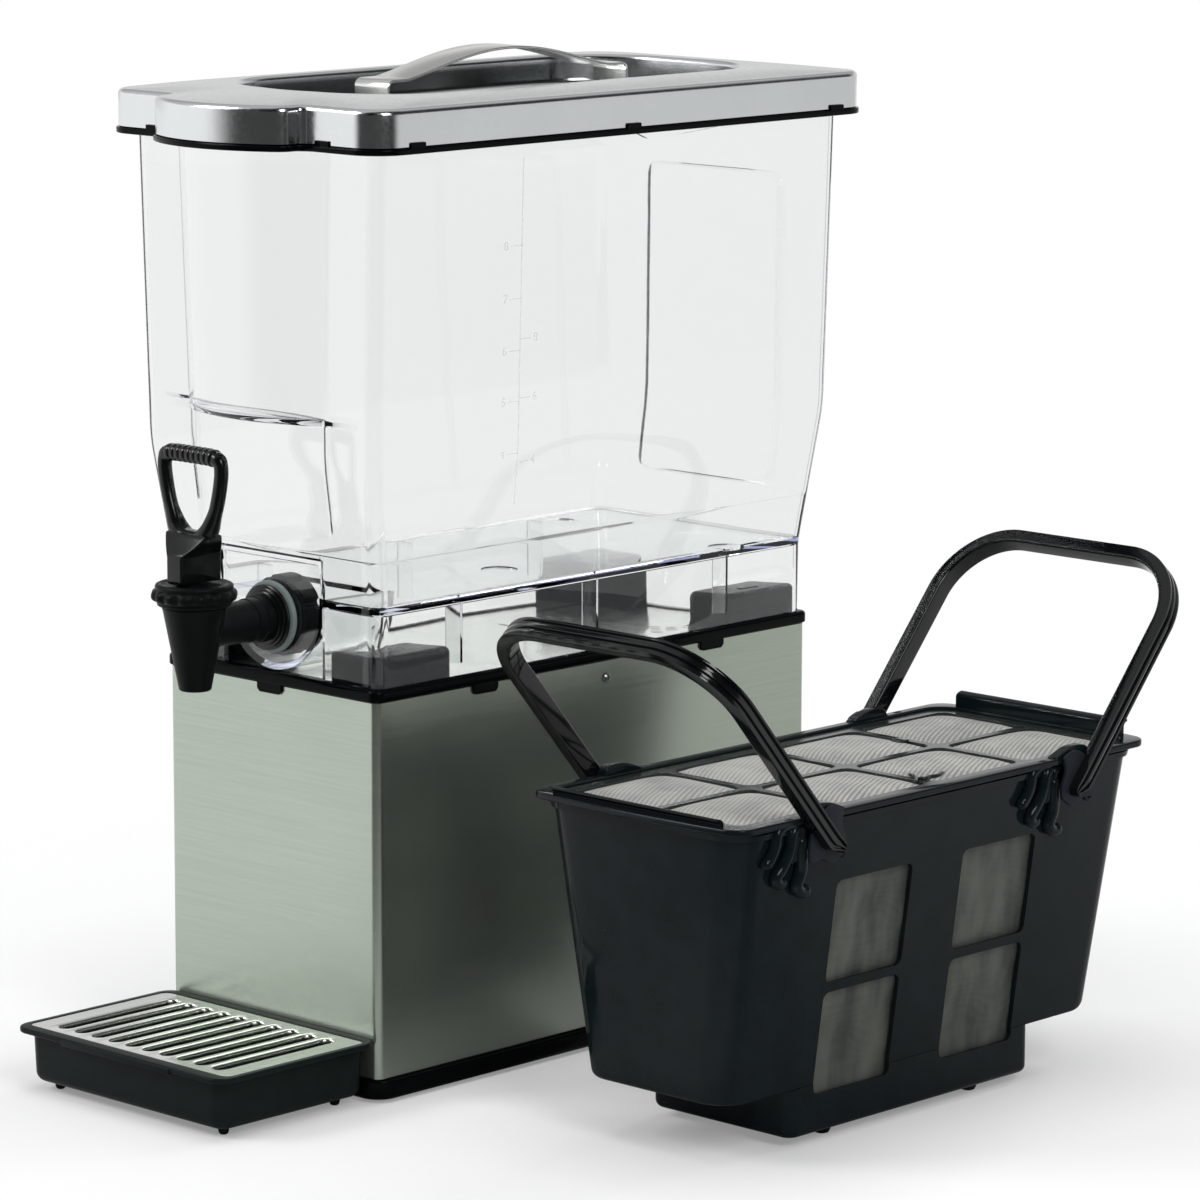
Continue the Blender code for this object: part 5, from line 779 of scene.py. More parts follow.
def tubWall(levels, inset):
    # levels of (rise, lift, pad, panel, bow shares): x and y of every station, and the height of every level
    t = tub
    rise, lift, pad, panel, bow = (np.asarray(column, float) for column in zip(*levels))
    kind, first, second, cosine, sine = tubStations().T
    halfX, halfY = (spanAt(rise, name)[:, None] - inset for name in ("halfX", "halfY"))
    corner = t["corner"] - inset
    climb = np.clip((rise - t["bowShelf"]) / (t["height"] - t["bowShelf"]), 0, 1)[:, None]
    bowHalf = t["bowHalf"][0] + (t["bowHalf"][1] - t["bowHalf"][0]) * climb
    bowDepth = t["bowDepth"][0] + (t["bowDepth"][1] - t["bowDepth"][0]) * climb
    across = np.broadcast_to(first, (len(rise), len(first)))
    padMask = (1 - smooth(abs(across), t["padHalf"] - 0.0008, t["padHalf"] + 0.0008)) * pad[:, None]
    panelMask = (1 - smooth(abs(across), t["panelHalf"] - 0.0007, t["panelHalf"] + 0.0008)) * panel[:, None]
    arch = np.clip(1 - (across / t["bowHalf"][0]) ** 2, 0, 1)
    flush = t["halfY"][0] - inset
    frontY = -halfY + (halfY - flush) * padMask + t["panelDepth"] * panelMask - bowDepth * bow[:, None] * arch
    middle, tall = (t["rearTop"] + t["rearFoot"]) / 2, (t["rearTop"] - t["rearFoot"]) / 2
    outX = np.maximum(abs(across) - t["rearHalf"] + t["rearCorner"], 0)
    outZ = np.maximum(abs(rise[:, None] - middle) - tall + t["rearCorner"], 0)
    beyond = np.hypot(outX, outZ) - t["rearCorner"]
    rearY = halfY - t["rearDepth"] * (1 - smooth(beyond, -0.0008, 0.0008))
    x = np.where(kind == 1, across * bowHalf / t["bowHalf"][0],
                 np.where(kind == 2, across, first * (halfX - corner) + corner * cosine))
    y = np.where(kind == 1, frontY, np.where(kind == 2, rearY, second * (halfY - corner) + corner * sine))
    z = np.broadcast_to((t["low"] + rise + lift)[:, None], x.shape)
    return np.stack((x, y, z), axis=-1)


def tubLevels(inset):
    # every level of the wall from the floor to the rim, closer together where the front steps in or out
    t = tub
    rises = [t["floor"], 0.040, 0.046, 0.052, 0.056, t["padTop"] - 0.0006, t["padTop"], t["padTop"] + 0.0007,
             t["padTop"] + 0.0014, 0.0615, 0.0640]
    rises += list(t["rearFoot"] + np.array((-0.0012, -0.0006, 0, 0.0006, 0.0012, 0.003, 0.006)))
    rises += list(np.linspace(t["panelFoot"], t["panelFoot"] + t["panelFade"], 6))
    rises += list(np.linspace(0.094, 0.124, 9))
    levels = []
    for rise in rises:
        pad = 1 - float(smooth(rise, t["padTop"] - 0.0001, t["padTop"] + 0.0014))
        panel = float(smooth(rise, t["panelFoot"], t["panelFoot"] + t["panelFade"]))
        lift = inset * (1 - float(smooth(rise, 0.060, 0.066))) + inset * float(smooth(rise, 0.119, 0.128))
        levels.append((rise, lift, pad, panel, 0.0))
    shelf, fillet, turned, depth = t["bowShelf"], t["bowFillet"], t["bowRound"], t["bowDepth"][0]
    for angle in np.linspace(0, math.pi / 2, 5):
        rise, bow = shelf - fillet + fillet * math.sin(angle), fillet * (1 - math.cos(angle)) / depth
        levels.append((rise, inset, 0.0, 1.0, bow))
    for angle in np.linspace(0, math.pi / 2, 7):
        rise, bow = shelf + turned * (1 - math.cos(angle)), (depth - turned * (1 - math.sin(angle))) / depth
        levels.append((rise, inset, 0.0, 0.0, bow))
    rises = list(np.linspace(0.141, 0.229, 12))
    rises += list(t["rearTop"] + np.array((-0.006, -0.003, -0.0012, -0.0006, 0, 0.0006, 0.0012)))
    rises += list(np.linspace(0.240, t["height"], 5))
    for rise in rises:
        levels.append((rise, inset * (1 - float(smooth(rise, 0.138, 0.150))), 0.0, 0.0, 1.0))
    return levels


def trough(radius, front, rear, top):
    floor = arc(0.0, tub["sumpAxis"], radius, 180, 360, 40)
    return slab(np.concatenate((floor, [(radius, top), (-radius, top)])), front, rear, "Y")


def tubShell():
    # one grid: the floor's underside, the foot's inside and outside, the outer wall, the rim, the inner wall, the floor
    t = tub
    wall = t["wall"]
    footOut = tubWall([(0.0, 0.0, 0, 0, 0), (0.0005, 0.0, 0, 0, 0)], 0.0)
    footOut[0, :, :2] *= 0.998
    footIn = tubWall([(0.0, t["floor"] - 0.0008, 0, 0, 0), (0.0, 0.0, 0, 0, 0)], wall)
    ceiling = tubWall([(0.0, t["floor"], 0, 0, 0)], wall + 0.0008)
    outer = tubWall(tubLevels(0.0), 0.0)
    inner = tubWall(tubLevels(wall), wall)[::-1]
    inner[-1, :, 2] += 0.0012
    floorRim = inner[-1:].copy()
    floorRim[..., :2] *= (0.984, 0.992)
    floorRim[..., 2] -= 0.0012
    rim = outer[-1:].copy()
    outer[-1, :, 2] -= 0.0004
    inner[0, :, 2] -= 0.0004
    rim[..., :2] *= 0.998
    rimIn = inner[:1].copy()
    rimIn[..., 2] += 0.0004
    rimIn[..., :2] *= 1.002
    return skin(np.concatenate((ceiling, footIn, footOut, outer, rim, rimIn, inner, floorRim)))


def buildTub():
    # the shell with a gap at the foot's front, the sump and ribs joined on, then the sump's hollow, the tap's hole
    # and three round pockets cut out
    t = tub
    low, wall, front = t["low"], t["wall"], t["sumpFront"]
    shelf, rear = low + t["floor"], front + t["sumpLength"]
    gap = slab(boxOutline(-t["padHalf"], -0.166, t["padHalf"], front + wall + 0.004), low - 0.004, shelf - 0.0006, "Z")
    sump = trough(t["sumpRadius"], front, rear, shelf + wall / 2)
    hollow = trough(t["sumpRadius"] - wall, front + wall, rear - wall, shelf + wall + 0.0012)
    hole = skin(revolve([(t["tapHole"] / 2, front - 0.006), (t["tapHole"] / 2, front + wall + 0.004)],
                        (0, 0, t["tapZ"]), 48, "Y"))
    ribs = []
    for side in (-1, 1):
        for y in (-t["ribSpacing"], 0.0, t["ribSpacing"]):
            x = side * (t["halfX"][0] - wall + 0.0004)
            lowX, highX = sorted((x, x - side * t["ribDepth"]))
            ribs.append(brick((lowX, y - t["ribHalf"], low + 0.006), (highX, y + t["ribHalf"], shelf + 0.0005)))
    profile = [(t["pocket"] - 0.0007, shelf + wall - 0.0007), (t["pocket"], shelf + wall + 0.002)]
    pockets = [skin(revolve(profile, (x, y, 0), 40)) for x, y in t["pockets"]]
    steps = [("DIFFERENCE", [gap]), ("UNION", [sump] + ribs), ("DIFFERENCE", [hollow, hole] + pockets)]
    makePiece("clearTubBody", [tubShell()], clearTub, "tub", ["reservoir"], angle=34, booleans=steps)


# (height, number) of each tick, on the left and on the right of the line
tubScale = {"y": -0.069, "low": 0.300, "high": 0.478, "width": 0.0005, "proud": 0.00020, "tick": 0.0078,
            "number": 0.0062, "numberGap": 0.0035,
            "left": ((0.3266, "4"), (0.3535, "5"), (0.3797, "6"), (0.4064, "7"), (0.4335, "8")),
            "right": ((0.3219, "4"), (0.3550, "6"), (0.3854, "8"))}


def numeral(words, size, depth):
    # a number as points and faces about its own middle, reading along Y and facing +X
    curve = bpy.data.curves.new("numeral", "FONT")
    curve.body, curve.size, curve.extrude = words, size, depth
    curve.align_x, curve.align_y = "CENTER", "CENTER"
    holder = addObject("numeral", curve)
    bpy.context.view_layer.update()
    mesh = bpy.data.meshes.new_from_object(holder.evaluated_get(bpy.context.evaluated_depsgraph_get()))
    points = np.empty(len(mesh.vertices) * 3)
    mesh.vertices.foreach_get("co", points)
    faces = [list(face.vertices) for face in mesh.polygons]
    bpy.data.objects.remove(holder)
    bpy.data.meshes.remove(mesh)
    across, up, out = points.reshape(-1, 3).T
    return np.column_stack((out, across, up)), faces


def buildTubScale():
    # a line up the side wall with ticks each way: a flat section carried along x = half width at that height
    s = tubScale

    def wallX(height):
        return spanAt(np.atleast_1d(height) - tub["low"], "halfX")

    def strip(path):
        section = boxOutline(-s["width"] / 2, -s["proud"], s["width"] / 2, s["proud"], 0.00005, 1)
        return skin(sweep(path, section, np.broadcast_to((1.0, 0.0, 0.0), path.shape)))

    heights = np.linspace(s["low"], s["high"], 40)
    shapes = [strip(np.column_stack((wallX(heights), np.full(40, s["y"]), heights)))]
    for side, rows in ((-1, s["left"]), (1, s["right"])):
        for height, words in rows:
            ends = s["y"] + side * np.linspace(0, s["tick"], 4)
            x = float(wallX(height)[0])
            shapes.append(strip(np.column_stack((np.full(4, x), ends, np.full(4, height)))))
            points, faces = numeral(words, s["number"], s["proud"])
            shapes.append((points + (x, s["y"] + side * (s["tick"] + s["numberGap"]), height), faces))
    makePiece("tubScaleMarks", shapes, scaleFrost, "tub")


buildTub()
buildTubScale()
print("stage: tub")


# Lid

lid = {"halfX": 0.1007, "front": 0.1831, "rear": 0.1857, "corner": 0.018, "low": 0.4895, "shoulder": 0.5089,
       "top": 0.5118, "edge": 0.003, "sheet": 0.001, "bulgeHalf": 0.048, "bulgeRadius": 0.080,
       "bulgeCentre": 0.1316, "bulgeCorner": 0.010, "fillet": 0.004, "wellX": 0.0675, "wellY": 0.146,
       "wellCorner": 0.048, "wellBow": 0.006, "wellEdge": 0.0025, "wellFloor": 0.4953, "floorRound": 0.004}


def mirrored(right):
    return np.concatenate((right, (right[1:] * (-1, 1))[::-1]))


def lidOutline(inset):
    # a rounded rectangle whose front end bulges; every inset has equally many points
    d = lid
    halfX, front, rear = d["halfX"] - inset, -d["front"] + inset, d["rear"] - inset
    corner = max(d["corner"] - inset, 0.0001)
    radius = d["bulgeRadius"] - inset
    end = d["bulgeCorner"] - min(inset, d["bulgeCorner"] / 2)
    sideX = d["bulgeHalf"] - inset
    fillet = d["fillet"] + inset
    endY = -d["bulgeCentre"] - math.sqrt((radius - end) ** 2 - (sideX - end) ** 2)
    lean = math.degrees(math.asin((sideX - end) / (radius - end)))
    return mirrored(np.concatenate((arc(0, -d["bulgeCentre"], radius, 270, 270 + lean, 10),
                                    arc(sideX - end, endY, end, 270 + lean, 360, 7)[1:],
                                    arc(sideX + fillet, front - fillet, fillet, 180, 90, 6),
                                    arc(halfX - corner, front + corner, corner, 270, 360, 10),
                                    arc(halfX - corner, rear - corner, corner, 0, 90, 10))))


def wellOutline(inset):
    # a rounded rectangle with bowed ends, with the lid's number of points
    d = lid
    halfX, halfY = d["wellX"] - inset, d["wellY"] - inset
    corner = d["wellCorner"] - inset
    flat = halfX - corner
    share = np.arange(25) / 25
    front = np.column_stack((flat * share, -halfY - d["wellBow"] * (1 - share ** 2) * flat / d["wellCorner"]))
    return mirrored(np.concatenate((front, arc(flat, -halfY + corner, corner, 270, 360, 10),
                                    arc(flat, halfY - corner, corner, 0, 90, 10))))


def rimOutline(inset):
    # the tub's rim, with the lid's number of points
    t = tub
    halfX, halfY = t["halfX"][2] - inset, t["halfY"][2] - inset
    corner = max(t["corner"] - inset, t["corner"] / 3)
    across = t["bowHalf"][1] * np.arange(25) / 24
    front = np.column_stack((across, -halfY - t["bowDepth"][1] * (1 - (across / t["bowHalf"][1]) ** 2)))
    return mirrored(np.concatenate((front, arc(halfX - corner, -halfY + corner, corner, 270, 360, 10),
                                    arc(halfX - corner, halfY - corner, corner, 0, 90, 10))))


def buildLid():
    # rings of (outline, height): up the side, over the edge, along the crowned top, down the well to its floor
    d = lid
    turn = np.linspace(0, math.pi / 2, 8)
    wellTurn = np.linspace(0, math.pi / 2, 7)
    rings = [(lidOutline(0.0004), d["low"]), (lidOutline(0.0), d["low"] + 0.0004),
             (lidOutline(0.0), d["shoulder"] - d["edge"] - 0.004)]
    rings += [(lidOutline(d["edge"] * (1 - math.cos(a))), d["shoulder"] - d["edge"] * (1 - math.sin(a))) for a in turn]
    edgeOutline, wellTop = lidOutline(d["edge"]), wellOutline(-d["wellEdge"])
    rings += [(edgeOutline + (wellTop - edgeOutline) * share,
               d["shoulder"] + (d["top"] - d["shoulder"]) * math.sin(math.pi / 2 * share))
              for share in np.linspace(0, 1, 9)[1:]]
    rings += [(wellOutline(-d["wellEdge"] * (1 - math.sin(a))), d["top"] - d["wellEdge"] * (1 - math.cos(a)))
              for a in wellTurn[1:]]
    rings += [(wellOutline(d["floorRound"] * (1 - math.cos(a))), d["wellFloor"] + d["floorRound"] * (1 - math.sin(a)))
              for a in wellTurn]
    makePiece("lidPan", [skin(flatRings(*zip(*rings)), capFirst=False)], lidSteel, "lid", ["lid_pan"],
              angle=40, sheet=d["sheet"], offset=-1.0)


lidRim = {"low": 0.4862, "high": 0.4892, "gap": 0.0013, "proud": 0.0012, "edge": 0.0006, "seat": 0.0022, "grip": 0.002,
          "overlap": 0.0028, "tabHalf": 0.005, "tabX": 0.0625, "tabY": (-0.1842, -0.1834), "tabLow": 0.001,
          "tabHigh": 0.0028, "sideTabs": (-0.1551, 0.0, 0.1577), "tabFace": (0.0003, 0.0011)}


def buildLidRim():
    # a black band under the lid's edge, stepped inside to sit on the tub's rim, with small tabs up the lid's side
    r = lidRim
    low, high, proud, edge = r["low"], r["high"], r["proud"], r["edge"]
    turn = np.linspace(0, math.pi / 2, 5)
    seat, lip, rimTop = high + r["seat"], tub["wall"] + 0.0005, tub["low"] + tub["height"]
    rings = [(lidOutline(-proud + edge * (1 - math.sin(a))), low + edge * (1 - math.cos(a))) for a in turn]
    rings += [(lidOutline(-proud + edge * (1 - math.cos(a))), high - edge * (1 - math.sin(a))) for a in turn]
    rings += [(lidOutline(r["gap"]), high), (lidOutline(r["gap"]), seat)]
    for inset, height in ((lip + r["grip"], seat), (lip + r["grip"], rimTop - r["overlap"]),
                          (lip, rimTop - r["overlap"]), (lip, rimTop + 0.0003), (-0.0005, rimTop + 0.0003),
                          (-0.0005, low)):
        rings.append((rimOutline(inset), height))
    shapes = [skin(flatRings(*zip(*rings)), ringed=True)]
    half, bottom, top = r["tabHalf"], high - r["tabLow"], high + r["tabHigh"]
    for side in (-1, 1):
        x = side * r["tabX"]
        shapes.append(brick((x - half, r["tabY"][0], bottom), (x + half, r["tabY"][1], top), 0.0003))
        face = sorted(side * (lid["halfX"] + out) for out in r["tabFace"])
        for y in r["sideTabs"]:
            shapes.append(slab(boxOutline(y - half, bottom, y + half, top, 0.0008), *face, "X"))
    makePiece("lidGasketRing", shapes, trimBlack, "lid", ["lid_liner"])


strap = {"halfWidth": 0.0125, "thickness": 0.0015, "halfLength": 0.088, "shoulder": 0.0125, "bend": 0.003,
         "rise": 0.0005, "arch": 0.0128, "foot": 0.011}


def strapLine():
    # (y, z) along the underside from the foot in the well to the top of the arch: arch * sin^1.2
    s = strap
    floor = lid["wellFloor"] + 0.0003 + s["thickness"]
    leg, bend, shoulder = s["halfLength"], s["bend"], lid["top"] + s["rise"]
    share = np.linspace(0, 1, 40)
    climb = np.column_stack(((leg - s["shoulder"]) * (1 - share),
                             shoulder + s["arch"] * np.sin(math.pi / 2 * share) ** 1.2))
    return np.concatenate(([(leg - s["foot"], floor)], arc(leg - bend, floor + bend, bend, 270, 360, 8),
                           arc(leg - bend, shoulder - bend, bend, 0, 80, 8), climb))


def buildStrap():
    s = strap
    half = strapLine()
    line = np.concatenate((half, (half[:-1] * (-1, 1))[::-1]))
    path = np.column_stack((np.zeros(len(line)), line))
    way = wayAlong(line)
    normals = np.column_stack((np.zeros(len(line)), way[:, 1], -way[:, 0]))
    section = boxOutline(-s["halfWidth"], 0.0, s["halfWidth"], s["thickness"], 0.00055, 3)
    makePiece("lidStrap", [skin(sweep(path, section, normals))], brightSteel, "lid",
              ["lid_handle"], angle=45, weld=0.000001)


buildLid()
buildLidRim()
buildStrap()
print("stage: lid")


# Tap

# flange: (radius, y) of its steps from the front
tap = {"y": -0.215, "z": 0.243, "coneLow": 0.2120, "coneTop": 0.2555, "tip": 0.0083, "top": 0.0165,
       "neck": 0.0135, "neckTop": 0.2615, "chamber": 0.010, "chamberLow": 0.232, "outlet": 0.005,
       "shank": 0.012, "bore": 0.0065, "shankEnd": -0.1425, "threadStart": -0.1800, "threadStep": -0.1745,
       "hole": 0.0123,
       "flange": ((0.0138, -0.1696), (0.0142, -0.1693), (0.0142, -0.1682), (0.0153, -0.1682), (0.0157, -0.1679),
                  (0.0157, -0.1668), (0.0166, -0.1668), (0.0170, -0.1665), (0.0170, -0.1649), (0.0167, -0.1646)),
       "washer": 0.01875, "washerEdge": 0.0006, "outerWasher": (-0.1643, -0.1613), "innerWasher": (-0.1577, -0.1552),
       "nut": 0.021, "notch": 0.0022, "notches": 8, "nutY": (-0.1549, -0.1444)}


def shankRing(name, profile, finish, node):
    # a ring about the shank: a closed profile of (radius, y) turned round it
    grid = revolve(profile, (0, 0, tap["z"]), 72, "Y")
    makePiece(name, [skin(grid, ringed=True)], finish, "tub", [node])


def buildTap():
    t = tap
    outlet, tip, top, coneLow, coneTop = t["outlet"], t["tip"], t["top"], t["coneLow"], t["coneTop"]
    profile = [(outlet, t["chamberLow"]), (outlet, coneLow + 0.0004), (outlet + 0.0004, coneLow),
               (tip - 0.0006, coneLow), (tip, coneLow + 0.0006), (top - 0.0004, coneTop - 0.0020),
               (top - 0.0001, coneTop - 0.0014), (top, coneTop - 0.0010), (top, coneTop - 0.0004),
               (top - 0.0004, coneTop), (t["neck"], coneTop), (t["neck"], t["neckTop"]),
               (t["chamber"], t["neckTop"]), (t["chamber"], t["chamberLow"])]
    cone = skin(revolve(profile, (0.0, t["y"], 0.0), 72), ringed=True)
    shank, start, end = t["shank"], t["y"] + 0.006, t["shankEnd"]
    profile = [(shank - 0.0012, start), (shank - 0.0012, t["threadStart"]), (shank - 0.0006, t["threadStart"] + 0.0004),
               (shank - 0.0006, t["threadStep"]), (shank, t["threadStep"] + 0.0005), (shank, end - 0.0006),
               (shank - 0.0006, end), (t["bore"], end), (t["bore"], start)]
    tube = skin(revolve(profile, (0, 0, t["z"]), 64, "Y"), ringed=True)
    makePiece("tapBody", [cone, tube], tapBlack, "tub", ["faucet_body"])
    hole, flange = t["hole"], t["flange"]
    profile = [(hole, flange[0][1]), *flange, (hole, flange[-1][1])]
    shankRing("tapFlange", profile, leverBlack, "faucet_flange")
    size, edge = t["washer"], t["washerEdge"]
    for name, (low, high), finish, node in (
            ("tapWasherOuter", t["outerWasher"], greySilicone, "faucet_washer"),
            ("tapWasherInner", t["innerWasher"], trimBlack, "faucet_inner_washer")):
        profile = [(hole, low), (size - edge, low), (size - edge / 3, low + edge / 3), (size, low + edge),
                   (size, high - edge), (size - edge / 3, high - edge / 3), (size - edge, high), (hole, high)]
        shankRing(name, profile, finish, node)
    angle = np.linspace(0, 2 * math.pi, 160, endpoint=False)
    notch = 1 - smooth(abs((angle * t["notches"] / (2 * math.pi)) % 1 - 0.5), 0.085, 0.125)
    radius, bore = t["nut"] - t["notch"] * notch, np.full_like(angle, hole)
    front, rear = t["nutY"]
    rings = [np.column_stack((r * np.sin(angle), np.full_like(angle, y), t["z"] + r * np.cos(angle)))
             for r, y in ((bore, front), (radius, front), (radius, rear), (bore, rear))]
    makePiece("tapNut", [skin(np.stack(rings), ringed=True)], tapBlack, "tub", ["faucet_nut"],
              bevel=0.0004)


# millimetres and shares: (how far out from the radius, rise, share of the grooves) up the bonnet's side
bonnet = {"radius": 0.0220, "low": 0.2558, "top": 0.2672, "lobes": 16, "depth": 0.0014, "wall": 0.0138,
          "ceiling": 0.2618, "bore": 0.0033,
          "stations": ((-3.8, 0.0, 0.0), (-3.3, 0.3, 0.0), (-3.1, 0.9, 0.0), (-3.1, 1.9, 0.0), (-2.2, 2.3, 0.1),
                       (-0.8, 3.0, 0.8), (0.0, 4.1, 1.0), (0.0, 5.8, 1.0), (-0.4, 7.0, 0.9), (-1.4, 7.9, 0.4),
                       (-2.3, 8.4, 0.0), (-2.2, 8.9, 0.0), (-2.1, 9.4, 0.0), (-2.2, 10.2, 0.0), (-2.6, 10.8, 0.0),
                       (-3.4, 11.2, 0.0), (-4.4, 11.3, 0.0), (-5.2, 11.1, 0.0), (-5.8, 10.6, 0.0),
                       (-13.0, 10.6, 0.0), (-13.7, 11.4, 0.0))}


def buildBonnet():
    # the radius is scalloped: less depth * share * ((1 + cos(lobes * angle)) / 2)^1.5
    b = bonnet
    angle = np.linspace(0, 2 * math.pi, b["lobes"] * 12, endpoint=False)
    groove = (0.5 + 0.5 * np.cos(b["lobes"] * angle)) ** 1.5
    steps = [(b["radius"] + proud / 1000 - b["depth"] * share * groove, b["low"] + rise / 1000)
             for proud, rise, share in b["stations"]]
    steps += [(b["bore"], b["top"]), (b["bore"], b["ceiling"]), (b["wall"], b["ceiling"]), (b["wall"], b["low"])]
    rings = [np.column_stack((r * np.cos(angle), tap["y"] + r * np.sin(angle), np.full_like(angle, z)))
             for r, z in steps]
    makePiece("tapBonnet", [skin(np.stack(rings), ringed=True)], tapBlack, "tub", ["faucet_bonnet"],
              angle=50)
    for node, finish in (("faucet_stem", brightSteel), ("seat_cup", greySilicone), ("lever_pin", brightSteel)):
        dress(node, finish)


# millimetres: block has (rise, half x, half y) up the block, loop has (x, z) round the ring's right half
lever = {"low": 0.2675, "side": 0.0035, "bead": 0.0039, "beadReach": 0.0165, "slotHalf": 0.0025,
         "block": ((0.0, 5.0, 13.0), (0.6, 5.5, 13.5), (1.4, 5.65, 13.7), (13.6, 5.65, 13.7), (14.8, 6.2, 13.4),
                   (16.0, 7.4, 12.6), (17.4, 9.0, 11.3), (19.2, 10.9, 9.8), (21.2, 12.6, 8.3), (23.2, 14.1, 6.9),
                   (24.6, 14.9, 6.0), (25.2, 14.4, 5.2)),
         "loop": ((0.0, 289.6), (6.5, 290.5), (11.6, 294.7), (14.9, 301.0), (17.7, 308.2), (20.0, 317.4),
                  (21.1, 325.6), (19.8, 330.6), (15.0, 332.2), (7.5, 332.4), (0.0, 332.4)),
         "slot": ((-0.0121, 0.2655), (0.0060, 0.2655), (0.0060, 0.2855), (-0.0060, 0.2855), (-0.0060, 0.2795),
                  (-0.0117, 0.2675))}


def buildLever():
    # a ring whose top carries a line of beads, |cos(pi * x / bead)|^0.7, on a block whose sides spread into its legs
    d = lever
    rows = [(halfX / 1000, halfY / 1000, 0.0012, d["low"] + rise / 1000) for rise, halfX, halfY in d["block"]]
    body = skin(boxRings(rows, boxTemplate(6, 2, 2), (0.0, tap["y"])))
    half = np.array(d["loop"]) / 1000
    loop = splined(np.concatenate((half, (half[1:-1] * (-1, 1))[::-1])), 16, True)
    path = np.column_stack((loop[:, 0], np.full(len(loop), tap["y"]), loop[:, 1]))
    normals = np.broadcast_to((0.0, 1.0, 0.0), path.shape)
    grid = sweep(path, roundSection(1.0, 1.0, 2.3, 28), normals, closed=True)
    upper = smooth(loop[:, 1], 0.3285, 0.3315)
    lower = 1 - smooth(loop[:, 1], 0.291, 0.306)
    across = abs(loop[:, 0])
    bead = abs(np.cos(math.pi * across / d["bead"])) ** 0.7
    bead *= 1 - smooth(across, d["beadReach"], d["beadReach"] + 0.001)
    inPlane = d["side"] + upper * (0.0004 + 0.0006 * bead) + lower * 0.0011
    depth = d["side"] + upper * (0.0005 + 0.0007 * bead) + lower * 0.0021
    grid = path[:, None] + (grid - path[:, None]) * np.column_stack((inPlane, depth, inPlane))[:, None]
    makePiece("tapLever", [skin(grid, ringed=True)], leverBlack, "lever", ["faucet_lever"], angle=60,
              weld=0.000001)
    slot = slab(np.array(d["slot"]) + (tap["y"], 0.0), -d["slotHalf"], d["slotHalf"], "X")
    makePiece("tapLeverBlock", [body], leverBlack, "lever", ["faucet_lever"], angle=50,
              booleans=[("DIFFERENCE", [slot])])


buildTap()
buildBonnet()
buildLever()
print("stage: tap")


# Filter basket

basket = {"x": 0.2386, "y": 0.0124, "wall": 0.0022, "shelf": 0.0307, "rimLow": 0.1715, "rimTop": 0.1750,
          "footX": 0.0475, "footY": 0.1455, "topX": 0.067, "topY": 0.1535, "corner": 0.016, "edge": 0.004,
          "keelX": 0.0478, "keelY": 0.094, "keelLow": 0.0048, "keelCorner": 0.008, "wallLow": 0.045, "wallHigh": 0.160,
          "rimX": 0.071, "rimY": 0.158, "rimCorner": 0.010, "rimBow": 0.004, "rimEdge": 0.0009,
          "bead": ((0.0045, 0.0), (0.0042, -0.0018), (0.0012, -0.0022), (0.0008, -0.0010), (0.0, -0.0006)),
          "ledgeDrop": 0.005, "ledgeWidth": 0.0033, "ledgeThick": 0.0025, "ledgeBevel": 0.0008,
          "nubX": 0.036, "nubY": 0.057, "nub": 0.0045,
          "windowNear": 0.0195, "windowFar": 0.077, "windowLow": 0.025, "windowHigh": 0.1365, "bar": 0.005,
          "windowCorner": 0.004,
          "lipHalf": 0.056, "lipRear": 0.008, "lipFront": 0.004, "lipThick": 0.0022, "lipCurl": 0.005,
          "boss": 0.0055, "pin": 0.0025, "clothGap": 0.0016, "clothMargin": 0.003, "clothThick": 0.0005}


def wallAt(height):
    # half width and half length of the tapered wall at a height
    b = basket
    share = np.clip((height - b["shelf"]) / (b["rimLow"] - b["shelf"]), 0, 1)
    return b["footX"] + (b["topX"] - b["footX"]) * share, b["footY"] + (b["topY"] - b["footY"]) * share


def basketRings(rows):
    # rows of (half x, half y, corner, height, bow of the ends): end * (half y + bow * (1 - (x / half x)^2))
    rows = np.asarray(rows, float)
    template = boxTemplate(10, 10, 6)
    rings = boxRings(rows[:, :4], template)
    halfX, halfY, bow = rows[:, 0, None], rows[:, 1, None], rows[:, 4, None]
    ends = smooth(abs(rings[..., 1]) / halfY, 0.75, 0.97) * np.sign(rings[..., 1])
    rings[..., 1] += ends * bow * np.clip(1 - (rings[..., 0] / halfX) ** 2, 0, 1)
    return rings + (basket["x"], basket["y"], 0)


def wallRow(height, inset=0.0, endInset=0.0):
    halfX, halfY = wallAt(height)
    return (halfX - inset, halfY - inset - endInset, basket["corner"] - inset, height, 0.0)


def keelRow(inset, height):
    b = basket
    return (b["keelX"] - inset, b["keelY"] - inset, b["keelCorner"] - inset, height, 0.0)


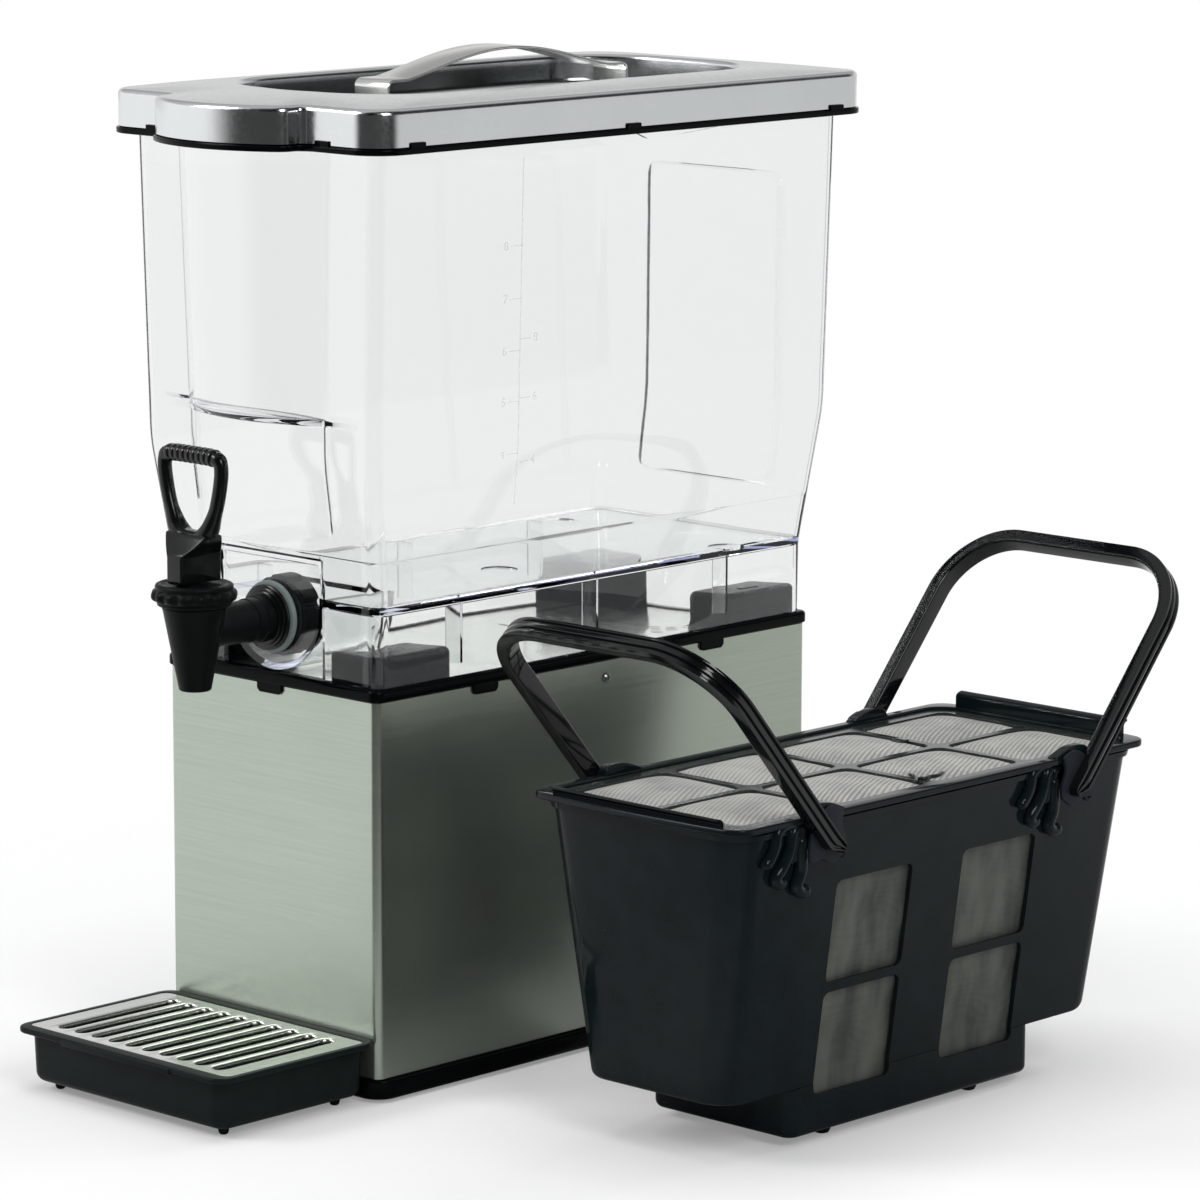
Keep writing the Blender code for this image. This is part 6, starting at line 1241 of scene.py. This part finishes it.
def basketRows():
    # from the keel's edge up the outside, over the rim, down the inside and back to the keel's floor
    b = basket
    rows = [keelRow(i, b["keelLow"] + r) for i, r in quarter(b["edge"], 6)]
    rows += [keelRow(0.0, b["shelf"] - 0.0015), keelRow(0.0, b["shelf"])]
    rows += [wallRow(b["shelf"] + r, 0.0, i) for i, r in quarter(b["edge"], 6)]
    rows += [wallRow(height) for height in np.linspace(b["wallLow"], b["wallHigh"], 8)]
    rows += [wallRow(b["rimLow"] - drop, inset) for drop, inset in b["bead"]]
    rim = [(i, b["rimLow"] + r) for i, r in quarter(b["rimEdge"], 4)]
    rim += [(i, b["rimTop"] - r) for i, r in quarter(b["rimEdge"], 4)[::-1]]
    rows += [(b["rimX"] - i, b["rimY"] - i, b["rimCorner"] - i, height, b["rimBow"]) for i, height in rim]
    topX, topY = wallAt(b["rimLow"])
    ledgeX, ledgeY, corner = topX - b["wall"], topY - b["wall"], b["corner"] - b["wall"]
    ledgeTop = b["rimTop"] - b["ledgeDrop"]
    ledgeLow = ledgeTop - b["ledgeThick"]
    bevel, width = b["ledgeBevel"], b["ledgeWidth"]
    for grow, height in ((bevel, b["rimTop"]), (0.0, b["rimTop"] - bevel), (0.0, ledgeTop),
                         (-width, ledgeTop), (-width, ledgeLow)):
        rows.append((ledgeX + grow, ledgeY + grow, corner + grow, height, 0.0))
    rows.append(wallRow(ledgeLow - width / 2, b["wall"]))
    inner = b["shelf"] + b["wall"]
    rows += [wallRow(inner + r, b["wall"], i) for i, r in quarter(b["edge"], 5)[::-1]]
    rows.append(keelRow(b["wall"], inner))
    rows += [keelRow(b["wall"] + i, b["keelLow"] + b["wall"] + r) for i, r in quarter(b["edge"], 4)[::-1]]
    return rows


def basketWindows():
    # closed shapes that cut two pairs of openings through both long sides
    b = basket
    middle = (b["windowLow"] + b["windowHigh"]) / 2
    windows = []
    for along in (-1, 1):
        near, far = sorted((b["y"] + along * b["windowNear"], b["y"] + along * b["windowFar"]))
        for low, high in ((b["windowLow"], middle - b["bar"] / 2), (middle + b["bar"] / 2, b["windowHigh"])):
            outline = boxOutline(near, low, far, high, b["windowCorner"], 6)
            windows.append(slab(outline, b["x"] - b["rimX"], b["x"] + b["rimX"], "X"))
    return windows


def basketNubs():
    b = basket
    size = b["nub"]
    profile = [(size * 0.5, 0.0), (size * 0.8, 0.0005), (size, 0.0022), (size, b["keelLow"] + 0.001)]
    return [skin(revolve(profile, (b["x"] + side * b["nubX"], b["y"] + along * b["nubY"], 0), 32))
            for side, along in fourWays]


def basketLips():
    # the raised ends of the rim, curled outwards: a thinner curve inside a wider one, carried across the end
    b = basket
    inY = wallAt(b["rimLow"])[1]
    foot, thick, curl = b["rimTop"] - 0.001, b["lipThick"], b["lipCurl"]
    reach = curl - thick
    turn = np.linspace(0, math.pi / 2, 7)
    shapes = []
    for end, tall in ((-1, b["lipFront"]), (1, b["lipRear"])):
        top = b["rimTop"] + tall
        rise = min(reach, tall * 0.8)
        out = np.column_stack((inY + curl - reach * np.cos(turn), top - thick / 2 - rise + rise * np.sin(turn)))
        turned = turn[::-1]
        back = np.column_stack((inY + curl - curl * np.cos(turned), top - rise + rise * np.sin(turned)))
        section = np.concatenate(([(inY, foot), (inY + thick, foot)], out, back)) * (end, 1) + (b["y"], 0)
        shapes.append(slab(section[::end], b["x"] - b["lipHalf"], b["x"] + b["lipHalf"], "X"))
    return shapes


def basketPivots():
    # a boss on the wall at each end of a bail, with the pin's end standing out of it
    b = basket
    wallX, face, pin = wallAt(bail["pivotZ"])[0], bail["face"], b["pin"]
    profile = [(b["boss"], wallX - 0.001), (b["boss"], face - 0.0003), (pin, face - 0.0003), (pin, face + 0.0012),
               (pin - 0.0004, face + 0.0014)]
    shapes = []
    for side, along in fourWays:
        grid = revolve(profile, (0, 0, 0), 32, "X")
        if side < 0:
            grid = (grid * (-1, 1, 1))[:, ::-1]
        shapes.append(skin(grid + (b["x"], b["y"] + along * bail["pivotY"], bail["pivotZ"])))
    return shapes


def buildBasket():
    makePiece("basketBody", [skin(basketRings(basketRows()))], basketBlack, "basket",
              ["basket_shell"], booleans=[("DIFFERENCE", basketWindows())], angle=38)
    makePiece("basketFittings", basketNubs() + basketLips() + basketPivots(), basketBlack, "basket",
              angle=40)


# millimetres along and above the pivot: each finger is its radius and then the knots of its line
hinge = {"fingers": ((3.0, (-17, 10), (-24, 11), (-31, 8), (-33, 1), (-37, -6), (-41, -6.5)),
                     (3.2, (-16, 9), (-20, 6), (-22, -2), (-26, -10), (-30, -15), (-27, -18), (-23, -16)),
                     (3.4, (-14, 4), (-13, -6), (-12, -14), (-14, -21), (-10, -25), (-4, -24)),
                     (2.3, (-22, -9), (-22, 9)), (2.3, (-18, -10), (-18, 10)), (2.3, (-14, -9), (-14, 9)),
                     (0.9, (14, -9), (18, -13), (22, -11.5), (21, -8), (18, -7))),
         "bridge": ((-10, 12.3), (-11, 14.5), (-9, 17.4), (-4, 18.6), (3, 18.3), (9, 16.6), (14, 14.6), (16, 13.2),
                    (14, 12.6), (8, 13.4), (6, 12.3)),
         "plate": ((2.6, 16.9), (5.4, 16.6), (10.1, 14.9), (11.3, 13.5), (10.9, 10.7), (10.5, 6.3), (11.8, 2.9),
                   (13.2, 0.2), (13.5, -3.7), (12.9, -6.8), (10.5, -8.6), (7.9, -10.5), (5.4, -11.6), (2.1, -11.1),
                   (-0.8, -10), (-4.1, -8.3), (-8.3, -8.8), (-12.5, -9.3), (-13.5, -5.7), (-13.1, -1),
                   (-11.8, 5.1), (-7, 12), (-1.2, 15.8)),
         "bridgeX": (0.0652, 0.0709), "fingerX": 0.0712, "plateFace": 0.0003, "plateThick": 0.0018}


def buildHinges():
    # moulded clips hanging on the wall beside each pivot, and a cam over the rim
    # the far side is the near side turned half round
    b, h = basket, hinge
    shapes = []
    for side, along in fourWays:
        middle = np.array((b["x"], b["y"] + along * bail["pivotY"], bail["pivotZ"]))
        for radius, *knots in h["fingers"]:
            r = radius / 1000
            y, z = np.array(knots, float).T / 1000
            x = np.minimum(wallAt(bail["pivotZ"] + z)[0] + 0.75 * r, h["fingerX"] - r)
            shapes.append(bar(np.column_stack((side * x, side * y, z)) + middle, r))
        outline = splined(np.array(h["bridge"], float) / 1000, 3, True)
        low, high = sorted(side * np.array(h["bridgeX"]) + middle[0])
        shapes.append(slab(outline * (-along, 1) + middle[1:], low, high, "X", 0.0006))
    makePiece("basketHinges", shapes, basketBlack, "basket", angle=40, weld=0.000001)


# millimetres from the basket's middle: the two wires of the small clip on the basket's lid
lidClip = {"wires": (((38, 5), (42, 3.5), (46, 1), (50, -4), (52, -7)), ((47, 1), (50, 3), (49, 8), (50, 13), (47, 21))),
           "radius": 0.0010, "padLow": (0.2150, 0.0740), "padHigh": (0.2212, 0.0828), "padThick": 0.0012}


def buildLidClip():
    c = lidClip
    top = frameLid["low"] + frameLid["thick"]
    shapes = []
    for knots in c["wires"]:
        x, y = np.array(knots, float).T / 1000
        line = np.column_stack((basket["x"] + x, basket["y"] + y, np.full(len(x), top + 0.0005)))
        shapes.append(bar(line, c["radius"], (0.0, 0.0, 1.0)))
    shapes.append(brick((*c["padLow"], top - 0.0005), (*c["padHigh"], top + c["padThick"]), 0.001, 0.0004))
    makePiece("basketLidClip", shapes, lidFrameBlack, "basket_cover", angle=40, weld=0.000001)


bail = {"pivotY": 0.097, "pivotZ": 0.1615, "leg": 0.1347, "corner": 0.038, "lean": math.radians(41),
        "thick": 0.0074, "depth": 0.0105, "groove": 0.0014, "round": 0.0013, "face": 0.0715, "gripHalf": 0.017,
        "footHeights": (-0.0087, -0.0070, -0.0040, -0.0010, 0.0020), "footWidths": (0.12, 0.42, 0.70, 0.94, 1.0),
        "footShifts": (0.0010, 0.0026, 0.0016, 0.0003, 0.0)}


def bailSection():
    # outer face with two rounded grooves between three ridges, the rest a softened box
    t, d, r = bail["thick"] / 2, bail["depth"] / 2, bail["round"]
    turn = np.linspace(-d + 0.0006, d - 0.0006, 37)
    share = (turn + d) / (2 * d)
    depth = bail["groove"] * sum(smooth(share, start, start + 0.08) - smooth(share, start + 0.18, start + 0.26)
                                 for start in (0.17, 0.57))
    outer = np.column_stack((t - depth, turn))
    return np.concatenate((outer, arc(-t + r, d - r, r, 90, 180, 6), arc(-t + r, -d + r, r, 180, 270, 6)))


def leaned(points, end):
    # drawn upright about its pivots, then leaned outwards: a turn about X through the pivots
    angle = -end * bail["lean"]
    cosine, sine = math.cos(angle), math.sin(angle)
    turn = np.array(((1, 0, 0), (0, cosine, -sine), (0, sine, cosine)))
    return points @ turn.T + (basket["x"], basket["y"] + end * bail["pivotY"], bail["pivotZ"])


def buildBail(end, name, body, node):
    # the section carried up one leg, over the grip and down the other; each foot narrows and steps aside
    b = bail
    half = b["face"] + b["thick"] / 2
    foot = np.array(b["footHeights"])
    legTop = b["leg"] - b["corner"]
    right = np.concatenate((np.column_stack((np.full(len(foot), half), foot)), [(half, 0.03), (half, 0.06)],
                            arc(half - b["corner"], legTop, b["corner"], 0, 90, 24), [(b["gripHalf"], b["leg"])]))
    line = np.concatenate((right, (right * (-1, 1))[::-1]))
    way = wayAlong(line)
    out = np.column_stack((way[:, 1], -way[:, 0]))
    section = bailSection()
    width = np.interp(line[:, 1], foot, b["footWidths"])
    shift = -end * np.interp(line[:, 1], foot, b["footShifts"])
    grid = np.empty((len(line), len(section), 3))
    grid[..., 0] = line[:, None, 0] + out[:, None, 0] * section[None, :, 0]
    grid[..., 1] = shift[:, None] + width[:, None] * section[None, :, 1]
    grid[..., 2] = line[:, None, 1] + out[:, None, 1] * section[None, :, 0]
    makePiece(name, [skin(leaned(grid, end))], bailBlack, body, [node], angle=40, weld=0.000001)
    pivot = (basket["y"] + end * b["pivotY"], b["pivotZ"])
    outline = splined(np.array(hinge["plate"], float) / 1000 * (-end, 1) + pivot, 3, True)
    face = b["face"] + hinge["plateFace"]
    shapes = []
    for side in (-1, 1):
        low, high = sorted(basket["x"] + side * np.array((face, face + hinge["plateThick"])))
        shapes.append(slab(outline, low, high, "X", 0.0003))
    makePiece(name + "Plates", shapes, plateGrey, body, angle=40, weld=0.000001)


frameLid = {"low": 0.1703, "thick": 0.0032, "margin": 0.008, "rib": 0.0045, "corner": 0.006, "gap": 0.0003,
            "windows": 4, "bevel": 0.0009, "pillow": 0.0040, "tuck": 0.0012, "slack": 0.00018, "cloth": 0.0004}


def frameWindows():
    # the frame's half sizes, and (low x, low y, high x, high y) of its eight openings
    f = frameLid
    halfX, halfY = (top - basket["wall"] - f["gap"] for top in wallAt(basket["rimLow"]))
    openX, openY = halfX - f["margin"], halfY - f["margin"]
    pitch = (2 * openY + f["rib"]) / f["windows"]
    found = []
    for row in range(f["windows"]):
        lowY = -openY + row * pitch
        near, far = basket["y"] + lowY, basket["y"] + lowY + pitch - f["rib"]
        for lowX, highX in ((-openX, -f["rib"] / 2), (f["rib"] / 2, openX)):
            found.append((basket["x"] + lowX, near, basket["x"] + highX, far))
    return halfX, halfY, found


def buildBasketLid():
    # a flat frame, and a pillow of cloth in each opening: crown^0.7 with a slow slack ripple on it
    f = frameLid
    x, y, low, high = basket["x"], basket["y"], f["low"], f["low"] + f["thick"]
    halfX, halfY, windows = frameWindows()
    corner = basket["corner"] - basket["wall"] - f["gap"]
    outline = boxOutline(x - halfX, y - halfY, x + halfX, y + halfY, corner, 12)
    cuts = [slab(boxOutline(*window, f["corner"], 8), low - 0.002, high + 0.002, "Z") for window in windows]
    makePiece("basketLidFrame", [slab(outline, low, high, "Z")], lidFrameBlack, "basket_cover",
              ["basket_lid"], booleans=[("DIFFERENCE", cuts)], bevel=f["bevel"])
    shapes = []
    across, along = np.meshgrid(np.linspace(-1, 1, 33), np.linspace(-1, 1, 37), indexing="ij")
    for number, (lowX, lowY, highX, highY) in enumerate(windows):
        x = (lowX + highX) / 2 + across * ((highX - lowX) / 2 + f["tuck"])
        y = (lowY + highY) / 2 + along * ((highY - lowY) / 2 + f["tuck"])
        crown = (1 - across ** 4) * (1 - along ** 4)
        ripple = f["slack"] * np.sin(across * (5 + number % 3) + number) * np.sin(along * 4.3 + 2 * number)
        z = low + 0.0004 + f["pillow"] * crown ** 0.7 + ripple * crown
        shapes.append(skin(np.stack((x, y, z), axis=-1), wrapped=False))
    makePiece("basketLidCloth", shapes, lidCloth, "basket_cover", ["basket_lid_mesh"], angle=80,
              sheet=f["cloth"])


def buildSideCloth():
    # cloth behind the windows: it follows the wall's slope, with a slow slack ripple in each opening
    b = basket
    low, high = b["windowLow"] - b["clothMargin"], b["windowHigh"] + b["clothMargin"]
    reach = b["windowFar"] + b["clothMargin"]
    along, up = np.meshgrid(np.linspace(-reach, reach, 90), np.linspace(low, high, 60), indexing="ij")
    ripple = 0.0005 * np.sin(along * 130 + up * 60) * np.sin(up * 95) + 0.0003 * np.sin(along * 60 - up * 210)
    face = wallAt(np.maximum(up, b["shelf"] + b["edge"]))[0] - b["wall"] - b["clothGap"]
    for side, name, node in ((-1, "sideClothLeft", "basket_mesh_left"), (1, "sideClothRight", "basket_mesh_right")):
        grid = np.stack((b["x"] + side * (face + ripple), b["y"] + along, up), axis=-1)
        makePiece(name, [skin(grid[::side], wrapped=False)], sideCloth, "basket", [node], angle=80,
                  sheet=b["clothThick"])


buildBasket()
buildHinges()
buildLidClip()
buildBail(-1, "frontBail", "bail_front", "front_bail")
buildBail(1, "rearBail", "bail_rear", "rear_bail")
buildBasketLid()
buildSideCloth()
print("stage: basket")


# Floor, lamps and camera

# the floor turns white from fadeNear to fadeFar, counted from the point that stands middleX to the right; the darker
# tone that metal sees on the floor near the object is a painted shadow
studio = {"room": 0.42, "ceiling": 0.5, "floorSize": 6.0, "middleX": 0.10, "fadeNear": 0.28, "fadeFar": 0.75,
          "floorTone": (0.80, 0.80, 0.79), "paintedMirrorShadow": (0.26, 0.26, 0.255),
          "cameraSide": {"way": (0.669, -0.743, 0.0), "low": 0.20, "high": 0.62, "level": 0.05},
          "farRight": {"way": (0.766, 0.643, 0.0), "low": 0.45, "high": 0.75, "level": 0.66},
          "rightSide": {"way": (0.996, -0.087, 0.0), "low": 0.05, "high": 0.45, "level": 0.08},
          "behind": {"way": (-0.69, 0.724, 0.0), "low": 0.55, "high": 0.85, "level": 0.74}}
white = (1.0, 1.0, 1.0, 1.0)


def sector(kit, way, side):
    # full light outside one side of the room, and that side's level inside it
    facing = addNode(kit, "ShaderNodeVectorMath", {0: way, 1: studio[side]["way"]}, operation="DOT_PRODUCT")
    return spread(kit, facing.outputs["Value"], 1.0, studio[side]["level"], studio[side]["low"],
                  studio[side]["high"], "SMOOTHSTEP")


def darkSides(kit, way):
    return times(kit, sector(kit, way, "cameraSide"), sector(kit, way, "farRight"))


def addFloor():
    # the floor keeps the shadow near the object, and metal also sees its colour darkened there, a painted shadow;
    # further out camera, glass and metal see it white, and metal sees the dark sides of the room on it
    size = studio["floorSize"]
    mesh = bpy.data.meshes.new("paleFloor")
    mesh.from_pydata([(-size, -size, 0), (size, -size, 0), (size, size, 0), (-size, size, 0)], [], [(0, 1, 2, 3)])
    floor = addObject("paleFloor", mesh)
    kit = startFinish("paleFloor", studio["floorTone"], 0.85, **{"Specular IOR Level": 0.1})
    path = addNode(kit, "ShaderNodeLightPath").outputs
    mirror = path["Is Glossy Ray"]
    seen = arithmetic(kit, "MAXIMUM", path["Is Transmission Ray"], mirror)
    seen = arithmetic(kit, "MAXIMUM", path["Is Camera Ray"], seen)
    spot = placed(kit, shift=(-studio["middleX"], 0.0, 0.0))
    far = addNode(kit, "ShaderNodeVectorMath", {0: spot}, operation="LENGTH").outputs["Value"]
    way = addNode(kit, "ShaderNodeVectorMath", {0: spot}, operation="NORMALIZE").outputs["Vector"]
    depth = addNode(kit, "ShaderNodeSeparateXYZ", {0: spot}).outputs["Y"]
    # painted shadow: for metal, the floor's colour turns darker near and behind the object's front, standing in for the
    # shade between the parts
    shade = times(kit, mirror, spread(kit, depth, 0.35, 1.0, -0.22, -0.12))
    tinted(kit, shade, studio["floorTone"], studio["paintedMirrorShadow"])
    dimmed = times(kit, mirror, oneMinus(kit, darkSides(kit, way)))
    away = spread(kit, far, 0.25, 1.0, studio["fadeNear"], studio["fadeFar"], "SMOOTHSTEP")
    glow = addNode(kit, "ShaderNodeEmission", {"Color": white, "Strength": oneMinus(kit, dimmed)})
    mix = addNode(kit, "ShaderNodeMixShader", {0: times(kit, seen, away), 1: kit["surface"].outputs["BSDF"],
                                               2: glow.outputs["Emission"]})
    kit["links"].new(mix.outputs["Shader"], kit["nodes"]["Material Output"].inputs["Surface"])
    mesh.materials.append(kit["material"])


def addWorld():
    # even room light; the camera and glass see white; metal and gloss see a white room that is dark on the camera's
    # side, dark above the horizon to the right, and a little dim behind and overhead
    world = bpy.data.worlds.new("studio")
    bpy.context.scene.world = world
    world.use_nodes = True
    kit = {"nodes": world.node_tree.nodes, "links": world.node_tree.links}
    ambient = kit["nodes"]["Background"]
    ambient.inputs["Color"].default_value = (0.96, 0.985, 1.0, 1.0)
    ambient.inputs["Strength"].default_value = studio["room"]
    way = addNode(kit, "ShaderNodeTexCoord").outputs["Generated"]
    height = addNode(kit, "ShaderNodeSeparateXYZ", {0: way}).outputs["Z"]
    risen = spread(kit, height, 0.0, 1.0, 0.08, 0.15)
    right = oneMinus(kit, times(kit, risen, oneMinus(kit, sector(kit, way, "rightSide"))))
    dim = times(kit, times(kit, darkSides(kit, way), right), sector(kit, way, "behind"))
    overhead = spread(kit, height, 1.0, studio["ceiling"], 0.20, 0.42, "SMOOTHSTEP")
    room = addNode(kit, "ShaderNodeBackground", {"Color": white, "Strength": times(kit, dim, overhead)})
    plain = addNode(kit, "ShaderNodeBackground", {"Color": white, "Strength": 1.0})
    path = addNode(kit, "ShaderNodeLightPath").outputs
    seen = arithmetic(kit, "MAXIMUM", path["Is Camera Ray"], path["Is Transmission Ray"])
    lit = addNode(kit, "ShaderNodeMixShader", {0: path["Is Glossy Ray"], 1: ambient.outputs["Background"],
                                               2: room.outputs["Background"]})
    mix = addNode(kit, "ShaderNodeMixShader", {0: seen, 1: lit.outputs["Shader"], 2: plain.outputs["Background"]})
    kit["links"].new(mix.outputs["Shader"], kit["nodes"]["World Output"].inputs["Surface"])


lamps = {"keyLamp": {"place": (-1.3, -1.9, 1.9), "target": (0.05, 0, 0.2), "size": (1.1, 1.1), "power": 34},
         "sideLamp": {"place": (2.1, -0.7, 1.6), "target": (0.1, 0, 0.2), "size": (0.9, 1.2), "power": 22},
         "rearLamp": {"place": (0.2, 2.2, 2.1), "target": (0.1, 0, 0.3), "size": (1.6, 0.8), "power": 24},
         "topLamp": {"place": (0.1, -0.1, 2.4), "target": (0.1, 0, 0.2), "size": (1.4, 1.4), "power": 22}}


def addLamps():
    # soft area lamps; the rear and top ones aren't mirrored
    for name, lamp in lamps.items():
        data = bpy.data.lights.new(name, "AREA")
        data.shape = "RECTANGLE"
        data.size, data.size_y = lamp["size"]
        data.energy = lamp["power"]
        holder = addObject(name, data)
        holder.visible_glossy = name in ("keyLamp", "sideLamp")
        holder.location = lamp["place"]
        aim = Vector(lamp["target"]) - Vector(lamp["place"])
        holder.rotation_euler = aim.to_track_quat("-Z", "Y").to_euler()


# turn, climb and roll in radians; lens in pixels of the photo; distance and aim in lengths of the stand
view = {"turn": 0.7609631773, "climb": 0.1751005305, "roll": 0.0026972, "lens": 5428.05, "picture": 1200,
        "distance": 9.0085927, "aimX": -0.1749446, "aimY": -0.6933553, "unit": 0.326, "floor": 0.0015, "sensor": 36.0}


def addCamera():
    # the photograph's view: the camera's axes from its turn, climb and roll, and its place along them
    v = view
    across = np.array((math.cos(v["turn"]), math.sin(v["turn"]), 0.0))
    back = np.array((across[1] * math.cos(v["climb"]), -across[0] * math.cos(v["climb"]), math.sin(v["climb"])))
    up = np.cross(back, across)
    cosine, sine = math.cos(v["roll"]), math.sin(v["roll"])
    axes = np.array(((cosine, sine, 0), (-sine, cosine, 0), (0, 0, 1))) @ np.array((across, up, back))
    place = axes.T @ np.array((-v["aimX"], -v["aimY"], v["distance"])) * v["unit"] + (0, 0, v["floor"])
    data = bpy.data.cameras.new("camera")
    data.sensor_width = v["sensor"]
    data.lens = v["lens"] / v["picture"] * v["sensor"]
    data.clip_end = 50.0
    camera = addObject("camera", data)
    matrix = Matrix(axes.T.tolist()).to_4x4()
    matrix.translation = place.tolist()
    camera.matrix_world = matrix
    bpy.context.scene.camera = camera


addFloor()
addWorld()
addLamps()
addCamera()
bpy.context.scene.view_settings.view_transform = "Standard"
print("stage: studio")
